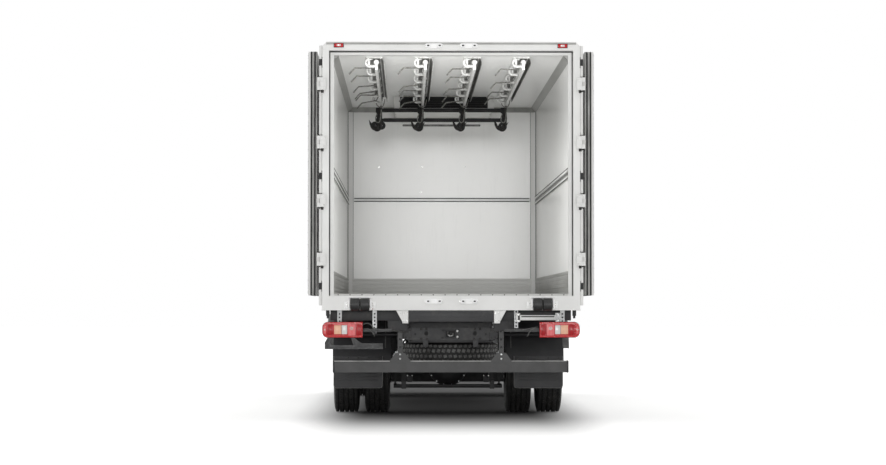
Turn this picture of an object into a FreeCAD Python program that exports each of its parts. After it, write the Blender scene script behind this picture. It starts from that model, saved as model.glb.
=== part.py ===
import FreeCAD, Part
import math
import os

import Sketcher
from FreeCAD import Rotation, Vector

# Refrigerated two-axle truck: insulated load space with overhead meat rails and two
# rear doors that fold back against the side walls, on a channel-rail chassis with a
# tilting cab. Frame: X to the right, Y forward, Z up, in millimetres. The origin is on
# the ground below the centre of the vehicle.

SIZES = {
    # length of the vehicle
    "wheelbase": 5300,
    "rear_overhang": 2420,
    "front_overhang": 1380,
    "roller_reach": 130,
    "roller_radius": 62,
    "roller_height": 58,
    "roller_from_centre": 918,
    "roller_half": 94,
    "roller_cheek": 25,
    # insulated body
    "body_width": 2580,
    "frame_width": 2600,
    "frame_depth": 120,
    "sill_bottom": 1117,
    "floor_level": 1280,
    "ceiling": 3700,
    "roof_thickness": 110,
    "frame_rise": 15,
    "wall": 90,
    "body_length": 7050,
    "opening_half": 1185,
    "rebate_half": 1233,
    "rebate_depth": 90,
    "rebate_step": 30,
    "cove": 60,
    "kick_height": 235,
    "kick_thickness": 12,
    "groove_depth": 4,
    "groove_pitch": 42,
    "rail_band_low": 2455,
    "rail_band_height": 106,
    "rail_band_depth": 15,
    # meat rails
    "meat_pitch": 501,
    "meat_shift": -30,
    "meat_start": 290,
    "meat_plate": 170,
    "meat_plate_depth": 12,
    "meat_bulb": 22,
    "meat_stem": 27,
    "meat_stem_height": 78,
    "meat_drop": 100,
    "meat_bulb_drop": 50,
    "hanger_pitch": 913,
    "hanger_width": 85,
    "hanger_thickness": 22,
    "hanger_depth": 50,
    "hanger_count": 6,
    "stop_bar_radius": 20,
    "stop_bar_high": 178,
    "stop_bar_low": 296,
    "hook_radius": 45,
    "hook_wire": 9,
    "hook_drop": 385,
    # evaporator and refrigeration unit
    "evaporator_width": 1210,
    "evaporator_length": 1740,
    "evaporator_height": 155,
    "louvre_pitch": 27,
    "unit_width": 1900,
    "unit_depth": 440,
    "unit_clearance": 290,
    "unit_height": 610,
    # rear doors
    "door_axis_out": 36,
    "door_axis_back": 25,
    "leaf_thickness": 88,
    "leaf_proud": 6,
    "leaf_gap": 8,
    "leaf_half_gap": 6,
    "leaf_sill_lap": 10,
    "leaf_head_lap": 32,
    "edge_groove": 16,
    "edge_groove_depth": 12,
    "hinge_from_sill": 350,
    "hinge_from_head": 300,
    "hinge_height": 130,
    "hinge_knuckle": 40,
    "hinge_pin": 8,
    "hinge_radius": 14,
    "strap_thickness": 8,
    "strap_length": 300,
    "lock_rod": 13.5,
    "lock_from_centre": 176,
    "lock_above_sill": 73,
    "lock_below_head": 25,
    "keeper_width": 165,
    "keeper_height": 36,
    "keeper_above_sill": 91,
    "keeper_below_head": 40,
    # chassis
    "rail_outer": 430,
    "rail_flange": 70,
    "rail_web": 8,
    "rail_top": 1000,
    "rail_height": 210,
    "rail_rear": 400,
    "subframe_width": 60,
    "member_depth": 90,
    "member_height": 150,
    "member_from_axle": 800,
    "member_pitch": 1100,
    "bearer_pitch": 1480,
    "spare_gap": 8,
    "spare_back": 1050,
    # wheels
    "tyre_radius": 506,
    "tyre_width": 276,
    "twin_gap": 60,
    "twin_outer": 1240,
    "front_wheel_x": 1000,
    "rim_seat": 286,
    "rim_flange": 304,
    "rim_half": 104,
    "rim_lip": 12,
    "rim_wall": 14,
    "disc_thickness": 13,
    "hand_hole": 26,
    "hub_radius": 115,
    "drum_radius": 205,
    "spindle": 45,
    "running": 0.3,
    # axles and steering
    "kingpin_x": 830,
    "kingpin_radius": 25,
    "axle_tube": 68,
    "banjo_radius": 232,
    "spring_x": 395,
    "spring_width": 80,
    "spring_half": 780,
    "steering_arm": 240,
    # cab
    "cab_half": 1150,
    "cab_bottom": 1060,
    "cab_front": 1360,
    "cab_back": 450,
    "cab_roof": 2820,
    "cab_edge": 60,
    "cab_wall": 55,
    "screen_base": 1760,
    "screen_drop": 260,
    "screen_lean": 215,
    "tunnel_half": 450,
    "tunnel_top": 1400,
    "tunnel_front": 950,
    "cab_door_front": 1180,
    "cab_door_back": 230,
    "cab_door_bottom": 1100,
    "cab_door_top": 2600,
    "cab_door_gap": 8,
    "cab_hinge_out": 10,
    "window_base": 1830,
    "glass": 6,
    "pivot_ahead": 1220,
    "pivot_height": 860,
    "mirror_width": 185,
    "bumper_bottom": 350,
    "bumper_top": 900,
    "bumper_corner": 150,
}

doc = FreeCAD.newDocument("refrigerated_truck")
sheet = doc.addObject("Spreadsheet::Sheet", "Dim")
for row, (alias, amount) in enumerate(SIZES.items(), start=1):
    sheet.set(f"A{row}", alias)
    sheet.set(f"B{row}", str(amount))
    sheet.setAlias(f"B{row}", alias)
doc.recompute()


class Size:
    """A length together with the sheet formula that gives it."""

    def __init__(self, value, text):
        self.value = float(value)
        self.text = text

    def __float__(self):
        return self.value

    def joined(self, other, value, sign):
        return Size(value, f"({self.text} {sign} {other.text})")

    def __add__(self, other):
        other = as_size(other)
        return self.joined(other, self.value + other.value, "+")

    def __sub__(self, other):
        other = as_size(other)
        return self.joined(other, self.value - other.value, "-")

    def __mul__(self, other):
        other = as_size(other)
        return self.joined(other, self.value * other.value, "*")

    def __truediv__(self, other):
        other = as_size(other)
        return self.joined(other, self.value / other.value, "/")

    def __radd__(self, other):
        return as_size(other) + self

    def __rsub__(self, other):
        return as_size(other) - self

    def __rmul__(self, other):
        return as_size(other) * self

    def __rtruediv__(self, other):
        return as_size(other) / self

    def __neg__(self):
        return as_size(0) - self


def as_size(thing):
    """A Size from a Size or a plain number."""
    if isinstance(thing, Size):
        return thing
    number = float(thing)
    return Size(number, f"{number:.6f}" if number >= 0 else f"(0 - {-number:.6f})")


def dim(alias):
    """The named value of the sheet."""
    return Size(float(sheet.get(alias)), f"Dim.{alias}")


def bind(item, path, size):
    """Tie one property of an object to a formula of the sheet."""
    size = as_size(size)
    if "Dim." in size.text:
        item.setExpression(path, size.text)


def move_to(item, place):
    """Put an object's base at three bound coordinates."""
    item.Placement.Base = Vector(*[float(as_size(step)) for step in place])
    for letter, step in zip("xyz", place):
        bind(item, f"Placement.Base.{letter}", step)


def box(name, across, along, up):
    """A block between two X, two Y and two Z coordinates."""
    item = doc.addObject("Part::Box", name)
    spans = (across, along, up)
    for side, (low, high) in zip(("Length", "Width", "Height"), spans):
        size = as_size(high) - low
        setattr(item, side, float(size))
        bind(item, side, size)
    move_to(item, [low for low, high in spans])
    return item


TURNS = {
    "X": Rotation(Vector(0, 1, 0), 90),
    "Y": Rotation(Vector(1, 0, 0), -90),
    "Z": Rotation(),
}


def rod(name, radius, axis, low, high, centre):
    """A cylinder along one axis from low to high, centre giving the other two places."""
    item = doc.addObject("Part::Cylinder", name)
    item.Radius = float(as_size(radius))
    bind(item, "Radius", radius)
    length = as_size(high) - low
    item.Height = float(length)
    bind(item, "Height", length)
    place = list(centre)
    place.insert("XYZ".index(axis), low)
    item.Placement.Rotation = TURNS[axis]
    move_to(item, place)
    return item


def outline(body, plane, points, shift):
    """A closed sketch through bound points on one of a body's origin planes."""
    origin_plane = [part for part in body.Origin.OriginFeatures if part.Role == plane][0]
    sketch = body.newObject("Sketcher::SketchObject", body.Name + "_outline")
    sketch.AttachmentSupport = [(origin_plane, "")]
    sketch.MapMode = "FlatFace"
    sketch.AttachmentOffset.Base.z = float(as_size(shift))
    bind(sketch, "AttachmentOffset.Base.z", shift)
    flat = [Vector(float(as_size(a)), float(as_size(b)), 0) for a, b in points]
    count = len(points)
    for index in range(count):
        sketch.addGeometry(Part.LineSegment(flat[index], flat[(index + 1) % count]))
    for index in range(count):
        after = (index + 1) % count
        sketch.addConstraint(Sketcher.Constraint("Coincident", index, 2, after, 1))
    for index, pair in enumerate(points):
        for kind, coordinate in zip(("DistanceX", "DistanceY"), pair):
            size = as_size(coordinate)
            rule = Sketcher.Constraint(kind, -1, 1, index, 1, float(size))
            number = sketch.addConstraint(rule)
            bind(sketch, f"Constraints[{number}]", size)
    return sketch


def prism(name, plane, points, low, high):
    """A padded outline between two places on the axis across its plane."""
    body = doc.addObject("PartDesign::Body", name)
    shift = -as_size(high) if plane == "XZ_Plane" else as_size(low)
    sketch = outline(body, plane, points, shift)
    pad = body.newObject("PartDesign::Pad", name + "_pad")
    pad.Profile = sketch
    length = as_size(high) - low
    pad.Length = float(length)
    bind(pad, "Length", length)
    sketch.Visibility = False
    return body


def soften(bodies, radius, corners, ends=False):
    """Round the edges of padded outlines at the given corners.

    The long edges are rounded, or with ends the edges of both end faces between corners.
    """
    doc.recompute()
    places = [(float(as_size(a)), float(as_size(b))) for a, b in corners]
    for body in bodies:
        pad = body.Tip
        role = pad.Profile[0].AttachmentSupport[0][0].Role
        keep = [axis for axis in (0, 1, 2) if axis != {"YZ_Plane": 0, "XZ_Plane": 1, "XY_Plane": 2}[role]]
        names = []
        for number, edge in enumerate(pad.Shape.Edges, start=1):
            flat = [[vertex.Point[axis] for axis in keep] for vertex in edge.Vertexes]
            on_corner = all(any(math.dist(end, place) < 0.1 for place in places) for end in flat)
            if on_corner and ends == (math.dist(flat[0], flat[-1]) > 0.1):
                names.append(f"Edge{number}")
        rounding = body.newObject("PartDesign::Fillet", body.Name + "_round")
        rounding.Base = (pad, names)
        rounding.Radius = float(as_size(radius))
        bind(rounding, "Radius", radius)


def turned(name, points, centre, start=0, angle=360):
    """An outline turned about X: each point is a place along X and a radius.

    A part turn begins start degrees ahead of the top and goes over the top to the rear.
    """
    body = doc.addObject("PartDesign::Body", name)
    sketch = outline(body, "XZ_Plane", points, 0)
    spin = body.newObject("PartDesign::Revolution", name + "_spin")
    spin.Profile = sketch
    spin.ReferenceAxis = (sketch, ["H_Axis"])
    spin.Angle = angle
    sketch.Visibility = False
    body.Placement.Rotation = Rotation(Vector(1, 0, 0), -start)
    move_to(body, centre)
    return body


def join(name, pieces):
    """One solid from several that meet."""
    item = doc.addObject("Part::MultiFuse", name)
    item.Shapes = pieces
    item.Refine = True
    return item


def cut(name, base, tools):
    """A base with one or more tools taken out."""
    tool = tools[0]
    if len(tools) > 1:
        tool = group(name + "_tools", tools)
    item = doc.addObject("Part::Cut", name)
    item.Base = base
    item.Tool = tool
    item.Refine = True
    return item


def common(name, base, tool):
    """What a base and a tool share."""
    item = doc.addObject("Part::Common", name)
    item.Base = base
    item.Tool = tool
    item.Refine = True
    return item


def group(name, pieces):
    """Several solids that don't touch, kept as one sub-part."""
    item = doc.addObject("Part::Compound", name)
    item.Links = pieces
    return item


def mirrored(name, source):
    """The same piece on the other side of the vehicle."""
    item = doc.addObject("Part::Mirroring", name)
    item.Source = source
    item.Base = Vector(0, 0, 0)
    item.Normal = Vector(1, 0, 0)
    return item


NODES = []


def node(label, item):
    """Register a finished sub-part under the name of its file."""
    item.Label = label
    NODES.append(item)
    return item


def pair(stem, left_item):
    """Register a left piece and its mirror image on the right."""
    node(stem + "_left", left_item)
    node(stem + "_right", mirrored(stem + "_right_mirror", left_item))


# Places along the vehicle

half_length = (
    dim("wheelbase") + dim("rear_overhang") + dim("front_overhang") + dim("roller_reach")
) / 2
rear_face = dim("roller_reach") - half_length
rear_axle = rear_face + dim("rear_overhang")
front_axle = rear_axle + dim("wheelbase")
nose = front_axle + dim("front_overhang")
body_front = rear_face + dim("body_length")

# Load space: floor, walls and roof as whole insulated panels behind the rear frame

half_body = dim("body_width") / 2
half_inside = half_body - dim("wall")
frame_front = rear_face + dim("frame_depth")
inside_front = body_front - dim("wall")
running = dim("running")
floor_level = dim("floor_level")
ceiling = dim("ceiling")
sill_bottom = dim("sill_bottom")
roof_top = ceiling + dim("roof_thickness")
frame_top = roof_top + dim("frame_rise")
leaf_bottom = floor_level - dim("leaf_sill_lap")
leaf_top = ceiling + dim("leaf_head_lap")
kick = dim("kick_thickness")

node("load_floor", box(
    "floor_panel", (kick - half_inside, half_inside - kick), (frame_front, inside_front - kick),
    (sill_bottom, floor_level)))
side_wall = box(
    "side_panel", (-half_body, -half_inside), (frame_front, body_front),
    (sill_bottom, ceiling))
node("side_walls", group("side_wall_group", [side_wall, mirrored("side_panel_right", side_wall)]))
node("front_wall", box(
    "front_panel_body", (-half_inside, half_inside), (inside_front, body_front),
    (sill_bottom, ceiling)))
node("roof", box(
    "roof_panel", (-half_body, half_body), (frame_front, body_front),
    (ceiling, roof_top)))

# Rear frame: a welded portal with a rebate for the leaves, hinge lugs and lock keepers

half_frame = dim("frame_width") / 2
chamfer = 40
frame_block = prism("frame_block", "XZ_Plane", [
    (-half_frame, sill_bottom),
    (half_frame, sill_bottom),
    (half_frame, frame_top - chamfer),
    (half_frame - chamfer, frame_top),
    (chamfer - half_frame, frame_top),
    (-half_frame, frame_top - chamfer),
], rear_face, frame_front)
opening_half = dim("opening_half")
portal = box(
    "portal_opening", (-opening_half, opening_half), (rear_face - 10, frame_front + 10),
    (floor_level, ceiling))
rebate_half = dim("rebate_half")
leaf_gap = dim("leaf_gap")
rebate = box(
    "leaf_rebate", (-rebate_half, rebate_half), (rear_face - 10, rear_face + dim("rebate_depth")),
    (leaf_bottom - leaf_gap, leaf_top + leaf_gap))
frame_shell = cut("frame_shell", frame_block, [portal, rebate])

axis_x = half_frame + dim("door_axis_out")
axis_y = rear_face - dim("door_axis_back")
hinge_first = floor_level + dim("hinge_from_sill")
hinge_step = (ceiling - dim("hinge_from_head") - hinge_first) / 3
HINGE_HEIGHTS = [hinge_first + hinge_step * index for index in range(4)]
half_hinge = dim("hinge_height") / 2
half_knuckle = dim("hinge_knuckle") / 2
lugs = []
for side in (-1, 1):
    for level in HINGE_HEIGHTS:
        pin_low = level - half_hinge
        pin_high = level + half_hinge
        lugs.append(rod(
            "hinge_pin", dim("hinge_pin"), "Z", pin_low, pin_high, (side * axis_x, axis_y)))
        for low, high in ((pin_low, level - half_knuckle - 2), (level + half_knuckle + 2, pin_high)):
            inner = side * (half_frame - 34)
            outer = side * (axis_x)
            across = (outer, inner) if side < 0 else (inner, outer)
            lugs.append(box("hinge_lug", across, (axis_y - 12, rear_face), (low, high)))
            lugs.append(rod("hinge_eye", 16, "Z", low, high, (side * axis_x, axis_y)))
keepers = []
lock_x = dim("lock_from_centre")
half_keeper = dim("keeper_width") / 2
for side in (-1, 1):
    for middle in (sill_bottom + dim("keeper_above_sill"), frame_top - dim("keeper_below_head")):
        low = middle - dim("keeper_height") / 2
        for edge in (-1, 1):
            near = side * lock_x + edge * 34
            far = side * lock_x + edge * half_keeper
            across = (far, near) if edge < 0 else (near, far)
            keepers.append(box(
                "lock_keeper", across, (rear_face - 45, rear_face), (low, low + dim("keeper_height"))))
roller_y = rear_face - dim("roller_reach") + dim("roller_radius")
roller_z = sill_bottom + dim("roller_height")
roller_half = dim("roller_half")
cheek_in = roller_half + 6
cheek_out = cheek_in + dim("roller_cheek")
brackets = []
rollers = []
for side in (-1, 1):
    middle = side * dim("roller_from_centre")
    for edge in (-1, 1):
        near = middle + edge * cheek_in
        far = middle + edge * cheek_out
        across = (far, near) if edge < 0 else (near, far)
        brackets.append(box(
            "roller_cheek", across, (roller_y - 30, rear_face), (sill_bottom + 5, roller_z + 50)))
    brackets.append(rod(
        "roller_pin", 12, "X", middle - cheek_in, middle + cheek_in, (roller_y, roller_z)))
    for low, high in ((-roller_half, as_size(-1.5)), (as_size(1.5), roller_half)):
        rollers.append(turned("roller", [
            (low, 12 + running), (high, 12 + running), (high, dim("roller_radius") - 7),
            (high - 7, dim("roller_radius")), (low + 7, dim("roller_radius")),
            (low, dim("roller_radius") - 7),
        ], (middle, roller_y, roller_z)))
node("dock_rollers", group("roller_group", rollers))
node("rear_frame", join("rear_frame_join", [frame_shell] + lugs + keepers + brackets))

# Linings: coves, kick plates and cargo rails

cove = dim("cove")
kick_top = floor_level + dim("kick_height")
ceiling_cove = prism("ceiling_cove", "XZ_Plane", [
    (-half_inside, ceiling), (-half_inside, ceiling - cove), (cove - half_inside, ceiling),
], frame_front, inside_front)
front_cove = prism("front_cove", "YZ_Plane", [
    (inside_front, ceiling), (inside_front - cove, ceiling), (inside_front, ceiling - cove),
], -half_inside, half_inside)
corner_cove = prism("corner_cove", "XY_Plane", [
    (-half_inside, inside_front), (-half_inside, inside_front - cove), (cove - half_inside, inside_front),
], kick_top, ceiling)
node("cove_profiles", join("cove_join", [
    ceiling_cove, mirrored("ceiling_cove_right", ceiling_cove), front_cove,
    corner_cove, mirrored("corner_cove_right", corner_cove)]))



def grooved(low, high, face, first, count):
    """A strip's profile: a depth from the wall and a height, grooves cut along its face."""
    deep = face - dim("groove_depth")
    points = [(as_size(0), low), (face, low)]
    for index in range(count):
        groove = first + index * dim("groove_pitch")
        points += [(face, groove), (deep, groove + 3), (deep, groove + 13), (face, groove + 16)]
    return points + [(face, high), (as_size(0), high)]


kick_profile = grooved(sill_bottom, kick_top, kick, floor_level + 20, 5)
kick_left = prism("kick_left", "XZ_Plane", [
    (depth - half_inside, level) for depth, level in kick_profile], frame_front, inside_front)
kick_front = prism("kick_front", "YZ_Plane", [
    (inside_front - depth, level) for depth, level in kick_profile], -half_inside, half_inside)
kick_plates = join("kick_join", [kick_left, mirrored("kick_right", kick_left), kick_front])

band_low = dim("rail_band_low")
band_high = band_low + dim("rail_band_height")
band_end = inside_front - cove - 20
band_profile = grooved(band_low, band_high, dim("rail_band_depth"), band_low + 20, 2)
band_left = prism("band_left", "XZ_Plane", [
    (depth - half_inside, level) for depth, level in band_profile], frame_front, band_end)
node("wall_protection", group("wall_protection_group", [
    kick_plates, band_left, mirrored("band_right", band_left),
    box("band_front", (cove + 20 - half_inside, half_inside - cove - 20),
        (inside_front - dim("rail_band_depth"), inside_front), (band_low + 42, band_low + 88))]))

# Overhead meat rails: ceiling strip, bulb rail with its stem and J hangers

evaporator_front = inside_front - cove
evaporator_back = evaporator_front - dim("evaporator_length")
meat_start = rear_face + dim("meat_start")
meat_end = evaporator_back - 60
plate_low = ceiling - dim("meat_plate_depth")
bulb_z = ceiling - dim("meat_bulb_drop")
stem_low = bulb_z - dim("meat_stem_height")
half_stem = dim("meat_stem") / 2
half_plate = dim("meat_plate") / 2
hanger_x = dim("hanger_width") / 2
hanger_low = ceiling - dim("meat_drop")
thick = dim("hanger_thickness")
stop_y = meat_end - 25
stop_radius = dim("stop_bar_radius")
stop_high = ceiling - dim("stop_bar_high")
stop_low = ceiling - dim("stop_bar_low")
rail_pieces = []
rail_places = []
for index in range(4):
    middle = dim("meat_shift") + (index - 1.5) * dim("meat_pitch")
    rail_x = middle + 22
    rail_places.append(rail_x)
    outer_x = middle - hanger_x - thick
    inner_x = outer_x + thick
    hangers = []
    for step in range(int(SIZES["hanger_count"])):
        start = meat_start + 20 + step * dim("hanger_pitch")
        hangers.append(prism("meat_hanger", "XZ_Plane", [
            (outer_x, plate_low), (outer_x, hanger_low), (rail_x, hanger_low),
            (rail_x, hanger_low + thick), (inner_x, hanger_low + thick), (inner_x, plate_low),
        ], start, start + dim("hanger_depth")))
    soften(hangers, 40, [(outer_x, hanger_low)])
    rail_pieces += hangers + [
        box("meat_plate", (middle - half_plate, middle + half_plate), (meat_start, meat_end),
            (plate_low, ceiling)),
        rod("meat_bulb", dim("meat_bulb"), "Y", meat_start, meat_end, (rail_x, bulb_z)),
        box("meat_stem", (rail_x - half_stem, rail_x + half_stem), (meat_start, meat_end),
            (stem_low, bulb_z)),
        box("stop_plate", (rail_x - half_stem, rail_x + half_stem),
            (stop_y - 22, stop_y + 22), (stop_low - 26, bulb_z))]
for level in (stop_high, stop_low):
    rail_pieces.append(rod(
        "stop_bar", stop_radius, "X", rail_places[0], rail_places[3], (stop_y, level)))

# Hooks parked at the front end of each rail: a shank with a bend that points up
hook_radius = dim("hook_radius")
hook_wire = dim("hook_wire")
slant = hook_wire * math.sqrt(0.5)
hook_z = ceiling - dim("hook_drop")
for rail_x in rail_places:
    for back in (70, 140):
        hook_y = stop_y - back
        bend = turned("hook_bend", [
            (hook_wire, hook_radius), (slant, hook_radius + slant), (0, hook_radius + hook_wire),
            (-slant, hook_radius + slant), (-hook_wire, hook_radius),
            (-slant, hook_radius - slant), (0, hook_radius - hook_wire),
            (slant, hook_radius - slant),
        ], (rail_x - hook_radius, hook_y, hook_z), -90, 200)
        bend.Placement.Rotation = Rotation(Vector(0, 0, 1), 90) * bend.Placement.Rotation
        shank = rod("hook_shank", hook_wire, "Z", hook_z, stem_low + 10, (rail_x, hook_y))
        rail_pieces += [bend, shank]
node("meat_rails", join("meat_rail_join", rail_pieces))

# Evaporator on the ceiling and refrigeration unit on the front wall

half_evaporator = dim("evaporator_width") / 2
evaporator_low = ceiling - dim("evaporator_height")
evaporator_case = prism("evaporator_case", "XZ_Plane", [
    (-half_evaporator, evaporator_low), (half_evaporator, evaporator_low),
    (half_evaporator, ceiling), (-half_evaporator, ceiling),
], evaporator_back, evaporator_front)
soften([evaporator_case], 30, [(-half_evaporator, evaporator_low), (half_evaporator, evaporator_low)])
louvres = []
for index in range(4):
    low = evaporator_low + 25 + index * dim("louvre_pitch")
    louvres.append(box(
        "louvre", (75 - half_evaporator, half_evaporator - 75),
        (evaporator_back - 10, evaporator_back + 60), (low, low + 17)))
node("evaporator", cut("evaporator_cut", evaporator_case, louvres))

half_unit = dim("unit_width") / 2
unit_front = body_front + dim("unit_depth")
unit_low = dim("cab_roof") + dim("unit_clearance")
unit_high = unit_low + dim("unit_height")
unit_case = prism("unit_case", "YZ_Plane", [
    (body_front, unit_low), (unit_front - 150, unit_low), (unit_front, unit_low + 120),
    (unit_front - 30, unit_high - 140), (unit_front - 150, unit_high), (body_front, unit_high),
], -half_unit, half_unit)
soften([unit_case], 55, [
    (unit_front - 150, unit_low), (unit_front, unit_low + 120), (unit_front - 30, unit_high - 140),
    (unit_front - 150, unit_high)], ends=True)
intake_half = half_unit - 180
intake_low = unit_low + 150
intake_high = unit_high - 180
intake = box(
    "unit_intake", (-intake_half, intake_half), (unit_front - 70, unit_front + 50),
    (intake_low, intake_high))
unit_pieces = [cut("unit_cut", unit_case, [intake])]
blade_step = (intake_high - intake_low) / 7
for index in range(7):
    low = intake_low + index * blade_step + 8
    unit_pieces.append(box(
        "unit_blade", (-intake_half, intake_half), (unit_front - 75, unit_front - 40),
        (low, low + 16)))
node("refrigeration_unit", join("unit_join", unit_pieces))

# Marker lamps on the header of the rear frame

lamp_low = frame_top - 36
markers = [
    box("marker_left", (-1180, -1090), (rear_face - 18, rear_face), (lamp_low - 16, lamp_low + 18)),
    box("marker_right", (1080, 1170), (rear_face - 18, rear_face), (lamp_low - 20, lamp_low + 14))]

# Rear doors, drawn folded back against the side walls

leaf_near = axis_x - rebate_half + leaf_gap
leaf_far = axis_x - dim("leaf_half_gap")
skin_offset = dim("door_axis_back") - dim("leaf_proud")
leaf_outer = -(axis_x + skin_offset)
leaf_inner = leaf_outer - dim("leaf_thickness")
leaf_back = axis_y + leaf_near
leaf_front = axis_y + leaf_far
leaf_panel = box(
    "leaf_panel", (leaf_inner, leaf_outer), (leaf_back, leaf_front), (leaf_bottom, leaf_top))
edge_depth = dim("edge_groove_depth")
grooves = []
for start in (22, 58):
    across = (leaf_inner + start, leaf_inner + start + dim("edge_groove"))
    band = box(
        "edge_band", across, (leaf_back - 10, leaf_front + 10), (leaf_bottom - 10, leaf_top + 10))
    kept = box(
        "edge_core", across, (leaf_back + edge_depth, leaf_front - edge_depth),
        (leaf_bottom + edge_depth, leaf_top - edge_depth))
    grooves.append(cut("edge_groove_ring", band, [kept]))
leaf_pieces = [cut("leaf_grooved", leaf_panel, grooves)]
for level in HINGE_HEIGHTS:
    low = level - half_knuckle
    high = level + half_knuckle
    strap = box(
        "hinge_strap", (leaf_outer, leaf_outer + dim("strap_thickness")),
        (axis_y, leaf_back + dim("strap_length")), (low, high))
    knuckle = rod("hinge_knuckle", dim("hinge_radius"), "Z", low, high, (-axis_x, axis_y))
    leaf_pieces += [strap, knuckle]
pin_bores = []
for level in HINGE_HEIGHTS:
    pin_bores.append(rod(
        "pin_bore", dim("hinge_pin") + dim("running"), "Z", level - half_knuckle - 5,
        level + half_knuckle + 5, (-axis_x, axis_y)))
rod_y = axis_y + axis_x - lock_x
rod_x = leaf_outer + dim("lock_rod") + 6
leaf_pieces.append(rod(
    "lock_rod", dim("lock_rod"), "Z", sill_bottom + dim("lock_above_sill"),
    frame_top - dim("lock_below_head"), (rod_x, rod_y)))
guide_step = (leaf_top - leaf_bottom - 260) / 3
for index in range(4):
    level = leaf_bottom + 130 + index * guide_step
    leaf_pieces.append(box(
        "rod_guide", (leaf_outer, rod_x + 4), (rod_y - 40, rod_y + 40), (level - 25, level + 25)))
rear_door = cut("rear_door_cut", join("rear_door_join", leaf_pieces), pin_bores)
pair("rear_door", rear_door)

# Chassis: two channel rails with cross-members, body subframe and rear draw beam

rail_outer = dim("rail_outer")
rail_web = dim("rail_web")
rail_inner = rail_outer - dim("rail_flange")
rail_top = dim("rail_top")
rail_bottom = rail_top - dim("rail_height")
rail_back = rear_face + dim("rail_rear")
rail_front = front_axle + 1130
channel = prism("channel_rail", "XZ_Plane", [
    (-rail_outer, rail_bottom), (-rail_inner, rail_bottom), (-rail_inner, rail_bottom + rail_web),
    (rail_web - rail_outer, rail_bottom + rail_web), (rail_web - rail_outer, rail_top - rail_web),
    (-rail_inner, rail_top - rail_web), (-rail_inner, rail_top), (-rail_outer, rail_top),
], rail_back, rail_front)
members = [channel, mirrored("channel_rail_right", channel)]
member_low = rail_top - rail_web - dim("member_height")
member_reach = dim("member_from_axle")
MEMBER_PLACES = [rail_back + 150, rear_axle - member_reach] + [
    rear_axle + member_reach + dim("member_pitch") * index for index in range(3)]
for place in MEMBER_PLACES:
    members.append(box(
        "cross_member", (rail_web - rail_outer, rail_outer - rail_web),
        (place, place + dim("member_depth")), (member_low, rail_top - rail_web)))
members.append(box(
    "front_member", (rail_web - rail_outer, rail_outer - rail_web),
    (rail_front - 80, rail_front), (rail_bottom + rail_web, rail_bottom + 90)))
spare_y = rear_face + dim("spare_back")
spare_middle = rail_bottom - dim("spare_gap") - dim("tyre_width") / 2
members += [
    box("carrier_bar", (rail_web - rail_outer, rail_outer - rail_web),
        (spare_y - 40, spare_y + 40), (rail_bottom + rail_web, rail_bottom + 60)),
    rod("carrier_bolt", 14, "Z", spare_middle + 44.3, rail_bottom + 30, (0, spare_y)),
]
pivot_y = front_axle + dim("pivot_ahead")
pivot_z = dim("pivot_height")
pivot_inner = rail_outer + 30
for side in (-1, 1):
    pin = (-545, -pivot_inner) if side < 0 else (pivot_inner, 545)
    plate = (-pivot_inner, -rail_outer) if side < 0 else (rail_outer, pivot_inner)
    members.append(rod("pivot_pin", 20, "X", pin[0], pin[1], (pivot_y, pivot_z)))
    members.append(box(
        "pivot_plate", plate, (rail_front - 60, pivot_y + 30), (pivot_z - 60, pivot_z + 40)))
node("chassis_frame", join("chassis_join", members))

subframe = [
    box("bearer_left", (-rail_outer, dim("subframe_width") - rail_outer),
        (rear_face + 20, body_front), (rail_top, sill_bottom)),
    box("bearer_right", (rail_outer - dim("subframe_width"), rail_outer),
        (rear_face + 20, body_front), (rail_top, sill_bottom)),
]
for index in range(5):
    place = rear_face + 20 + dim("bearer_pitch") * index
    subframe.append(box(
        "bearer_member", (-rail_outer, rail_outer), (place, place + 60),
        (rail_top + 15, sill_bottom)))
node("body_subframe", join("subframe_join", subframe))

beam_low = 810
beam_high = 937
beam_plate = prism("beam_plate", "XZ_Plane", [
    (-485, beam_low + 25), (-440, beam_low), (440, beam_low), (485, beam_low + 25),
    (485, beam_high - 15), (440, beam_high), (-440, beam_high), (-485, beam_high - 15),
], rail_back - 14, rail_back)
beam_holes = []
for side in (-1, 1):
    for level in (-40, 40):
        beam_holes.append(rod(
            "coupling_hole", 10.5, "Y", rail_back - 30, rail_back + 10,
            (side * 80, (beam_low + beam_high) / 2 + level)))
beam_holes.append(box(
    "coupling_slot", (-45, 45), (rail_back - 30, rail_back + 10), (beam_low + 36, beam_high - 36)))
node("draw_beam", cut("draw_beam_cut", beam_plate, beam_holes))

# Underrun guard, rear lamps and their brackets

guard_bar = box("guard_bar", (-1195, 1195), (rail_back - 100, rail_back - 15), (485, 603))
guard = [guard_bar]
for side in (-1, 1):
    gusset = prism("guard_gusset", "XZ_Plane", [
        (side * 515 - 105, 585), (side * 515 + 105, 585), (side * 515 + 105, 603),
        (side * 515 + 48, 683), (side * 515 - 48, 683), (side * 515 - 105, 603),
    ], rail_back - 110, rail_back - 100)
    guard.append(gusset)
    for name, near, far, back, front, low, high in (
        ("guard_post", 490, 540, rail_back - 100, rail_back - 15, 603, 950),
        ("guard_plate", 490, 500, rail_back - 100, rail_back + 260, 790, 950),
        ("guard_foot", 430, 490, rail_back + 60, rail_back + 240, 830, 930),
    ):
        across = (-far, -near) if side < 0 else (near, far)
        guard.append(box(name, across, (back, front), (low, high)))
node("underrun_guard", join("guard_join", guard))

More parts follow.
